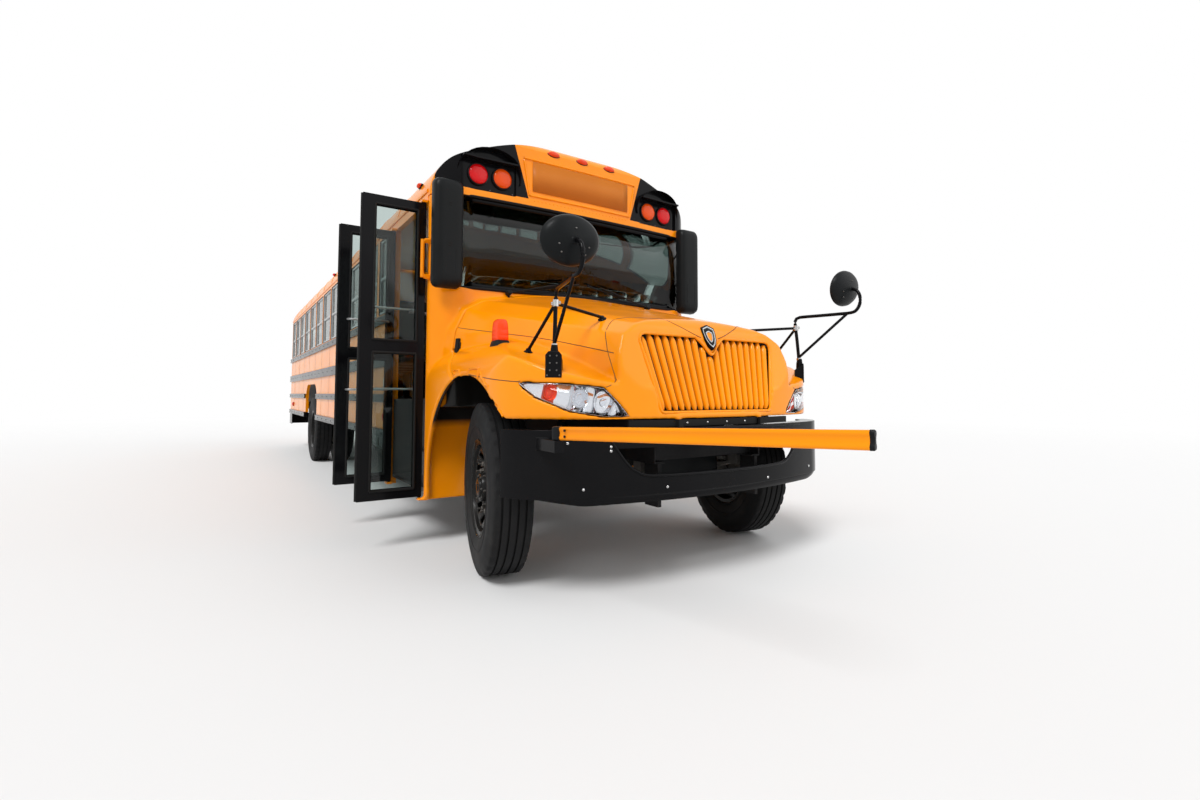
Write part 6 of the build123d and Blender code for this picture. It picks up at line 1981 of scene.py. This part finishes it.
@dataclass
class Entrance(SubAssembly):
    """Seals, push bars and edge rubbers of the leaves; treads, nosings and rails of the steps."""

    steps: ClassVar[Profile] = ((-1205, 401), (-990, 614), (-775, 827), (-560, 1040))

    def build(self) -> None:
        """Builds the entrance's details."""
        self._leaf("front", -887, -1)
        self._leaf("rear", -1770, 1)
        treads, nosings = Shape(), Shape()
        for y, z in self.steps:
            treads.box((-1785, y + 4, z), (-877, y + 195, z + 4))
        for y, z in self.steps[:-1]:
            for k in range(8):
                nosings.box((-1780, y + 20 + 22 * k, z + 4), (-882, y + 26 + 22 * k, z + 6))
        for y, z in self.steps:
            nosings.box((-1785, y - 2, z - 22), (-877, y + 8, z + 5))
        self.add(treads, "step_treads", "floor_skin", bevel=0.001)
        self.add(nosings, "step_nosings", "black_plastic")
        bow = ((-1215, 1925), (-1262, 1945), (-1267, 2065), (-1262, 2185), (-1215, 2205))
        grip = Shape().tube(smooth_line([at(-815, y, z) for y, z in bow], 0.02), 0.0135, 12)
        self.add(grip, "pillar_grip", "body_yellow")
        rails = Shape()
        bow = ((-640, 1060), (-660, 1500), (-800, 1760), (-1100, 1800))
        for x in (-905, -1760):
            rails.tube(smooth_line([at(x, y, z) for y, z in bow], 0.06), 0.014, 12)
        self.add(rails, "entry_rails", "sash_metal")

    def _leaf(self, word: str, x: float, inward: int) -> None:
        """Builds a leaf's seals, bars and edge rubber.

        Args:
            word: the leaf's name.
            x: its station.
            inward: 1 where its bars stand ahead of it, -1 behind.
        """
        seals, bars = Shape(), Shape()
        for low, top in ((412, 1375), (1465, 2426)):
            for face in (x - 19, x + 19):
                seals.frame((face, -1584, low), (face, -1286, top), 0.009)
        seals.tube([at(x, -1668, 352), at(x, -1668, 2486)], 0.012, 10)
        self.add(seals, f"leaf_seals_{word}", "seal_rubber", f"entry_{word}")
        for z in (1120, 1700):
            bow = ((18, -1600), (48, -1585), (48, -1290), (18, -1275))
            bars.tube(smooth_line([at(x + inward * dx, y, z) for dx, y in bow], 0.03), 0.009, 10)
        self.add(bars, f"leaf_bars_{word}", "sash_metal", f"entry_{word}")


@dataclass
class StopSign(SubAssembly):
    """Red face with its white border and lamps; the lettering is left out."""

    body: ClassVar[str] = "stop_sign_arm"
    y: float = 1524.5
    z: float = 1565.0

    def _plate(self, shape: Shape, flats: float, *stations: float) -> None:
        """Adds an eight-sided plate.

        Args:
            shape: collects the plate.
            flats: its size over the flats.
            stations: its two faces.
        """
        radius = flats / 2 / math.cos(math.pi / 8)
        angles = [math.pi / 8 + math.pi / 4 * k for k in range(8)]
        shape.loft([[at(x, self.y + radius * math.cos(a), self.z + radius * math.sin(a)) for a in angles]
                    for x in stations])

    def build(self) -> None:
        """Builds the faces, lamps and hinge."""
        white, red, lamps, rims = Shape(), Shape(), Shape(), Shape()
        for x, look in ((-1377.5, 1), (-1382.5, -1)):
            self._plate(white, 455, x, x + 0.8 * look)
            self._plate(red, 425, x, x + 1.6 * look)
            for z in (1735, 1395):
                place = facing(at(x + look, self.y, z), Vector((look, 0, 0)))
                lamps.dome(place, 0.042, 0.01, 28, 5)
                rims.lathe([(0.04, 0), (0.04, 0.006), (0.048, 0.006), (0.052, 0)], place, 28)
        self.add(white, "stop_border", "sheet_white")
        self.add(red, "stop_face", "stop_red")
        self.add(lamps, "stop_lamps", "lamp_red", sharp=60)
        self.add(rims, "stop_lamp_rims", "black_plastic")
        arm = Shape().box((-1386, 1262, 1515), (-1374, 1352, 1615))
        arm.lathe([(0.0, 0.06), (0.014, 0.06), (0.016, 0.056), (0.016, -0.056), (0.014, -0.06), (0.0, -0.06)],
                  facing(at(-1380, 1262, self.z), UP, AHEAD), 20)
        self._plate(arm, 456, -1382.5, -1377.5)
        hinge = self.add(arm, "stop_hinge", "black_plastic", bevel=0.0015)
        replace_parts(hinge, "stop_arm")


@dataclass
class CrossingArm(SubAssembly):
    """Yellow tube with a black end, on its hinge barrel."""

    body: ClassVar[str] = "crossing_arm_body"
    turn: float = math.radians(12.6)
    hinge: Point = (880.0, -1097.0, 896.0)

    def _along(self, x: float, y: float, z: float) -> Vector:
        """Point of the arm's own directions from its hinge.

        Args:
            x: reach along the arm.
            y: offset across it.
            z: height over the hinge.

        Returns:
            The point.
        """
        cos, sin = math.cos(self.turn), math.sin(self.turn)
        hinge_x, hinge_y, hinge_z = self.hinge
        return at(hinge_x + x * cos - y * sin, hinge_y + x * sin + y * cos, hinge_z + z)

    def _bar(self, *sections: tuple[float, float, float]) -> Shape:
        """Rounded bar with a groove along both sides.

        Args:
            sections: reach, half height and half width of each.

        Returns:
            The bar.
        """
        rings = []
        for x, half_h, half_w in sections:
            ring = []
            for a in (2 * math.pi * k / 40 for k in range(40)):
                cos, sin = math.cos(a), math.sin(a)
                groove = 1 - 0.55 * math.exp(-((sin / 0.3) ** 2))
                across = half_w * math.copysign(abs(cos) ** 0.6, cos) * groove
                up = 49 * (x - 20) / 1435 + half_h * math.copysign(abs(sin) ** 0.6, sin)
                ring.append(self._along(x, across, up))
            rings.append(ring)
        return Shape().loft(rings)

    def build(self) -> None:
        """Builds the tube, end cap and barrel."""
        tube = self._bar((20, 28, 10), (26, 32, 12), (700, 32, 12), (1440, 32, 12))
        made = self.add(tube, "crossing_tube", "arm_yellow", sharp=40)
        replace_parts(made, "crossing_arm")
        ends = self._bar((1438, 33, 13), (1449, 33, 13), (1453, 30, 11))
        side = Vector((math.sin(self.turn), -math.cos(self.turn), 0))
        for z in (-12, 16):
            ends.bolt(facing(self._along(66, -12, z), side), 0.007, 0.005)
        ends.lathe([(0.0, 0.033), (0.02, 0.033), (0.026, 0.028), (0.026, -0.028), (0.02, -0.033), (0.0, -0.033)],
                   facing(at(*self.hinge), UP, AHEAD), 24)
        self.add(ends, "crossing_ends", "black_plastic", sharp=40)


# Inside


@dataclass
class Cabin(SubAssembly):
    """Padded seats and the driver's place."""

    rows: int = 11

    @staticmethod
    def _pad(origin: Vector, profile: Profile, middle: tuple[float, float], sections: Profile) -> Shape:
        """Crowned form, whose side profile draws in towards its ends.

        Args:
            origin: place of the profile's origin, in metres.
            profile: station and height of its points.
            middle: where the profile draws in to.
            sections: offset and scale of each profile.

        Returns:
            The form.
        """
        mid_x, mid_z = middle
        return Shape().loft([
            [origin + Vector((mid_x + (x - mid_x) * scale, y, mid_z + (z - mid_z) * scale)) * MM
             for x, z in profile] for y, scale in sections
        ])

    def _bench(self, half: float) -> Shape:
        """Bench about its own middle: padded cushion and tall back.

        Args:
            half: half its width.

        Returns:
            The bench.
        """
        profile = (
            (0, 1396), (14, 1412), (16, 1446), (4, 1472), (-30, 1484), (-180, 1482), (-350, 1474), (-390, 1478),
            (-408, 1560), (-426, 1760), (-444, 1980), (-452, 2070), (-464, 2094), (-492, 2104), (-524, 2100),
            (-541, 2080), (-544, 2020), (-530, 1800), (-512, 1600), (-494, 1420), (-484, 1398), (-240, 1392),
        )
        ends = ((1, 0.94), (0.985, 0.975), (0.95, 0.995), (0.5, 1.0))
        shares = [*((-share, pull) for share, pull in ends), (0, 1.0), *reversed(ends)]
        sections = [(share * half, pull * (1 - 0.004 * (1 - abs(share)))) for share, pull in shares]
        return self._pad(Vector(), profile, (-300.0, 1560.0), sections)

    def build(self) -> None:
        """Builds the benches, the driver's seat and the controls."""
        places = [(f"bench_{word}_{row + 1}", at(-2560 - 690 * row, side * 671, 0))
                  for row in range(self.rows) for side, word in SIDES]
        first = self.add(self._bench(500), places[0][0], "seat_vinyl", smooth_levels=1, sharp=80)
        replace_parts(first, "seats")
        for name, place in places:
            bench = first if name == first.name else self._again(first, name)
            bench.location = place
        seat = self.add(self._driver_seat(), "driver_seat_pad", "seat_vinyl", smooth_levels=1, sharp=80)
        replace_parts(seat, "driver_seat")
        base = Shape().box((-1725, 475, 1042), (-1415, 765, 1060)).box((-1690, 520, 1060), (-1450, 720, 1380))
        base.box((-1740, 460, 1380), (-1390, 780, 1402))
        self.add(base, "driver_seat_base", "chassis_black", bevel=0.006)
        self._controls()

    def _again(self, first: bpy.types.Object, name: str) -> bpy.types.Object:
        """Makes one more bench of the first one's mesh.

        Args:
            first: the first bench.
            name: the new one's name.

        Returns:
            The new bench.
        """
        bench = place_mesh(name, first.data)
        subdivide(bench, 1)
        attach(bench, self.body)
        return bench

    def _driver_seat(self) -> Shape:
        """Driver's seat with a bolstered cushion, back and head pad.

        Returns:
            The seat.
        """
        profile = (
            (0, 1402), (12, 1430), (10, 1478), (-16, 1500), (-200, 1494), (-370, 1490), (-402, 1502), (-414, 1640),
            (-430, 1850), (-444, 2030), (-450, 2140), (-464, 2180), (-500, 2190), (-532, 2176), (-544, 2120),
            (-536, 1900), (-520, 1640), (-504, 1440), (-490, 1404), (-240, 1400),
        )
        ends = ((245, 0.93), (238, 0.97), (215, 1.0), (170, 0.99))
        sections = [*((-y, pull) for y, pull in ends), (0, 0.985), *reversed(ends)]
        return self._pad(at(-1330, 620, 0), profile, (-280.0, 1600.0), sections)

    def _controls(self) -> None:
        """Steering wheel, gauges, switches and levers."""
        lean = math.radians(28)
        place = facing(at(-1215, 620, 1735), Vector((-math.sin(lean), 0, math.cos(lean))))
        turns = (2 * math.pi * k / 12 for k in range(13))
        wheel = Shape().lathe([(0.228 + 0.014 * math.cos(a), 0.03 + 0.014 * math.sin(a)) for a in turns], place, 56)
        for a in (math.radians(degrees) for degrees in (90, 210, 330)):
            spoke = ((0.03, 0.012), (0.12, 0.018), (0.224, 0.03))
            wheel.tube([place @ Vector((r * math.cos(a), r * math.sin(a), h)) for r, h in spoke], 0.009)
        wheel.lathe([(0.0, 0.034), (0.03, 0.032), (0.052, 0.02), (0.056, 0.0), (0.04, -0.02), (0.0, -0.022)],
                    place, 28)
        made = self.add(wheel, "steering_rim", "black_plastic", "steering_wheel_body", sharp=50)
        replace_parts(made, "steering_wheel")
        gauges = Shape()
        for y, r in ((470, 0.034), (560, 0.046), (650, 0.046), (740, 0.034)):
            gauges.lathe([(0.0, 0.004), (r * 0.86, 0.004), (r * 0.9, 0.01), (r, 0.01), (r, -0.01)],
                         facing(at(-1004, y, 1756), Vector((-0.75, 0, 0.6))), 28)
        for y in range(300, 471, 34):
            for z in (1600, 1634):
                gauges.box((-1037, y, z), (-1022, y + 24, z + 22))
        self.add(gauges, "gauges", "black_paint")
        tip = at(-1180, 800, 1680)
        levers = Shape().tube(smooth_line([at(-1130, 620, 1600), at(-1160, 700, 1650), tip], 0.02), 0.006)
        levers.dome(facing(tip, Vector((0, 1, 0.3))), 0.012, 0.02, 12, 4)
        self.add(levers, "column_levers", "black_plastic")


# Underneath


@dataclass
class Underbody(SubAssembly):
    """Leaf edges, U-bolts, shock absorbers, brake chambers, tanks and pipes."""

    leaves: int = 4

    def build(self) -> None:
        """Builds the fittings under the floor."""
        pipes = Shape()
        self._springs(pipes)
        self._tanks()
        dam = Shape().box((496, -350, 560), (502, 350, 730)).box((502, -350, 560), (530, 350, 566))
        self.add(dam, "air_dam", "black_plastic", bevel=0.002)
        for y, z in ((432, 930), (-432, 926), (-414, 936)):
            pipes.tube([at(-9900, y, z), at(-1000, y, z)], 0.007)
        self.add(pipes, "shocks_and_pipes", "chassis_black")
        rivets = Shape()
        for side, _ in SIDES:
            spots = [at(-10050 + 205 * i, side * 432, z) for i in range(52) for z in (722, 924)]
            rivets.dots(spots, Vector((0, side, 0)), 0.011, 0.007)
        self.add(rivets, "frame_rivets", "chassis_black")
        straps = Shape()
        loop = ((-562, 530), (-562, 800), (-620, 862), (-940, 862), (-1002, 800), (-1002, 530), (-940, 468),
                (-620, 468))
        for middle in (-3700, -3300, -2900):
            straps.loft([[at(x, y, z) for y, z in loop] for x in (middle - 25, middle + 25)], caps=False)
        self.add(straps, "tank_straps", "lug_steel", shell=0.004)
        cap = Shape().lathe([(0.0, 0.03), (0.04, 0.028), (0.045, 0.01), (0.045, 0.0)],
                            facing(at(-3000, -1000, 740), Vector((0, -1, 0))), 24)
        self.add(cap, "tank_cap", "black_plastic")

    def _springs(self, pipes: Shape) -> None:
        """Builds the springs' leaf edges and U-bolts.

        Args:
            pipes: collects the shock absorbers.
        """
        leaves, bolts = Shape(), Shape()
        for x, seat_z, top_z, half in ((0, 500, 556, 640), (REAR_AXLE_X, 590, 664, 760)):
            low, top = seat_z - 36, top_z + 26
            for side, _ in SIDES:
                for k in range(self.leaves):
                    reach = half * (0.86 - 0.17 * k)
                    z = top_z - 12 - (top_z - seat_z) * (k + 1) / (self.leaves + 1) * 0.8
                    lift = 40 * (reach / half) ** 2
                    outline = ((90, z), (reach, z + lift), (reach, z + lift + 9), (90, z + 9))
                    for end in (-1, 1):
                        leaves.prism([at(x + end * dx, min(side * 354, side * 434), up) for dx, up in outline],
                                     Vector((0, 80 * MM, 0)))
                for bolt_x in (x - 70, x + 70):
                    for y in (side * 348, side * 440):
                        bolts.tube([at(bolt_x, y, low), at(bolt_x, y, top)], 0.009)
                        bolts.bolt(facing(at(bolt_x, y, low), -UP), 0.017, 0.016)
                    bolts.tube([at(bolt_x, side * 348, top), at(bolt_x, side * 440, top)], 0.009)
                foot = at(x - 150, side * 470, seat_z + 10)
                pipes.tube([foot, at(x - 190, side * 470, 890)], 0.03, 16)
                pipes.tube([foot - UP * 0.03, at(x - 200, side * 470, 930)], 0.018, 12)
        self.add(leaves, "spring_leaves", "cast_metal", bevel=0.0015)
        self.add(bolts, "spring_bolts", "lug_steel")

    def _tanks(self) -> None:
        """Builds the brake chambers and the air tanks with their brackets."""
        tanks = Shape()
        for side, _ in SIDES:
            tanks.lathe([(0.0, 0.0), (0.06, 0.0), (0.085, 0.02), (0.085, 0.09), (0.07, 0.11), (0.085, 0.13),
                         (0.085, 0.2), (0.06, 0.22), (0.0, 0.22)], facing(at(-6900, side * 560, 600), AHEAD), 28)
            tanks.tube([at(-6905, side * 560, 600), at(-7000, side * 560, 560)], 0.012, 10)
        for x in (-5200, -5900):
            tanks.lathe([(0.0, 0.0), (0.08, 0.01), (0.11, 0.04), (0.12, 0.09), (0.12, 0.5), (0.11, 0.55),
                         (0.08, 0.58), (0.0, 0.59)], facing(at(x, -560, 780), AHEAD), 32)
            for dx in (120, 460):
                tanks.box((x + dx - 15, -690, 770), (x + dx + 15, -432, 790))
        self.add(tanks, "air_tanks", "chassis_black", sharp=40)


# Studio


@dataclass
class Studio:
    """Pale floor, soft light and the photo's camera."""

    location: Vector = field(default_factory=lambda: at(3288, -2454, 1083))
    yaw: float = 33.66
    pitch: float = 2.913
    roll: float = 0.133
    lens: float = 17.08
    shift_y: float = -0.0287
    floor_reach: float = 60.0

    def build(self) -> None:
        """Sets up the world, floor, lamps and camera."""
        self._world()
        self._floor()
        self._lamp("key", Vector((0.5, -0.75, 1.1)), 2.2, 22)
        self._lamp("fill", Vector((1.0, 0.8, 0.7)), 0.7, 60)
        self._camera()
        view = bpy.context.scene.view_settings
        view.view_transform = "Standard"
        view.look = "None"
        view.exposure = 0.0
        view.gamma = 1.0

    def _world(self) -> None:
        """Soft light from all round; white to the eye, in mirrors and through glass."""
        world = bpy.data.worlds.new("studio")
        bpy.context.scene.world = world
        world.use_nodes = True
        tree = world.node_tree
        tree.nodes.clear()
        soft, white = (add_node(tree, "Background", {"Color": (1.0, 1.0, 1.0, 1.0), "Strength": strength})
                       for strength in (0.55, 1.0))
        path = add_node(tree, "LightPath", {})
        seen = path.outputs["Is Camera Ray"]
        for label in ("Is Glossy Ray", "Is Transmission Ray"):
            seen = add_node(tree, "Math", {0: seen, 1: path.outputs[label]}, operation="MAXIMUM").outputs[0]
        mix = add_node(tree, "MixShader", {"Fac": seen, 1: soft.outputs[0], 2: white.outputs[0]})
        add_node(tree, "OutputWorld", {"Surface": mix.outputs[0]})

    def _floor(self) -> None:
        """Floor that fades to white far out and keeps the shadow."""
        mesh = bpy.data.meshes.new("floor")
        r = self.floor_reach
        mesh.from_pydata([(-r, -r, 0), (r, -r, 0), (r, r, 0), (-r, r, 0)], [], [(0, 1, 2, 3)])
        floor = place_mesh("floor", mesh)
        material = bpy.data.materials.new("studio_floor")
        material.use_nodes = True
        tree = material.node_tree
        shader = tree.nodes["Principled BSDF"]
        shader.inputs["Base Color"].default_value = (0.8, 0.8, 0.8, 1.0)
        shader.inputs["Roughness"].default_value = 0.6
        shader.inputs["Specular IOR Level"].default_value = 0.15
        white = add_node(tree, "Emission", {"Strength": 1.0})
        place = add_node(tree, "TexCoord", {}).outputs["Object"]
        reach = add_node(tree, "VectorMath", {0: place}, operation="LENGTH").outputs["Value"]
        share = add_node(tree, "MapRange", {"Value": reach, "From Min": 9.0, "From Max": 24.0},
                         interpolation_type="SMOOTHSTEP").outputs["Result"]
        mix = add_node(tree, "MixShader", {"Fac": share, 1: shader.outputs[0], 2: white.outputs[0]})
        tree.links.new(mix.outputs[0], tree.nodes["Material Output"].inputs["Surface"])
        mesh.materials.append(material)

    def _lamp(self, name: str, origin: Vector, power: float, angle: float) -> None:
        """Adds a sun.

        Args:
            name: its name.
            origin: direction that it shines from.
            power: its strength.
            angle: its width in degrees.
        """
        light = bpy.data.lights.new(name, "SUN")
        light.energy = power
        light.angle = math.radians(angle)
        lamp = bpy.data.objects.new(name, light)
        lamp.rotation_euler = origin.to_track_quat("Z", "Y").to_euler()
        bpy.context.scene.collection.objects.link(lamp)

    def _camera(self) -> None:
        """Camera fitted to the photo."""
        yaw, pitch, roll = (math.radians(v) for v in (self.yaw, self.pitch, self.roll))
        ahead = Vector((-math.cos(yaw) * math.cos(pitch), math.sin(yaw) * math.cos(pitch), math.sin(pitch)))
        right = Vector((math.sin(yaw), math.cos(yaw), 0))
        up = right.cross(ahead)
        right, up = right * math.cos(roll) + up * math.sin(roll), up * math.cos(roll) - right * math.sin(roll)
        data = bpy.data.cameras.new("photo_camera")
        data.sensor_width = 36.0
        data.lens = self.lens
        data.shift_y = self.shift_y
        data.clip_start = 0.05
        data.clip_end = 300.0
        camera = bpy.data.objects.new("photo_camera", data)
        turn = Matrix((right, up, -ahead)).transposed().to_4x4()
        camera.matrix_world = Matrix.Translation(self.location) @ turn
        bpy.context.scene.collection.objects.link(camera)
        bpy.context.scene.camera = camera


def wheels(maker: Maker) -> list[Wheel]:
    """Lists the four wheels about their joints' axes.

    Args:
        maker: makes their pieces.

    Returns:
        The wheels.
    """
    made: list[Wheel] = []
    steer, kingpin, reach, twins = math.radians(-12), 905.0, 119.0, 912.0
    for side, word in SIDES:
        axis = Vector((-math.sin(steer) * side, side * math.cos(steer), 0))
        front = at(0, side * kingpin, AXLE_Z) + axis * (reach * MM)
        made.append(FrontWheel(maker, name=word, body=f"front_wheel_{word}", centre=front, axis=axis))
        rear = at(REAR_AXLE_X, side * twins, AXLE_Z)
        made.append(TwinWheel(maker, name=word, body=f"rear_wheels_{word}", centre=rear,
                              axis=Vector((0, side, 0))))
    return made


def main() -> None:
    """Builds the finished bus around the frame."""
    logging.basicConfig(level=logging.INFO)
    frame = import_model()
    nodes = frame["nodes"]
    LOG.info("frame nodes: %s", len(nodes))
    maker = Maker(Palette())
    FrameNodes(maker, nodes).build()
    skin = Surface.of(nodes["hood"])
    assemblies: list[SubAssembly] = [
        *wheels(maker), HoodTrim(maker, skin), Grille(maker), RoundLamp(maker), FrontBumper(maker),
        MarkerLamps(maker), WindshieldTrim(maker), BodySides(maker), RoofTrim(maker), RearEnd(maker),
        Entrance(maker), StopSign(maker), CrossingArm(maker), Cabin(maker), Underbody(maker),
    ]
    for side, word in SIDES:
        assemblies += [
            HeadLamp(maker, side=side, word=word),
            TurnLamp(maker, side=side, word=word),
            CrossviewMirror(maker, skin, side=side, word=word),
            SideMirror(maker, side=side, word=word),
        ]
    for assembly in assemblies:
        assembly.build()
        LOG.info("%s built", type(assembly).__name__)
    Studio().build()


if __name__ == "__main__":
    main()
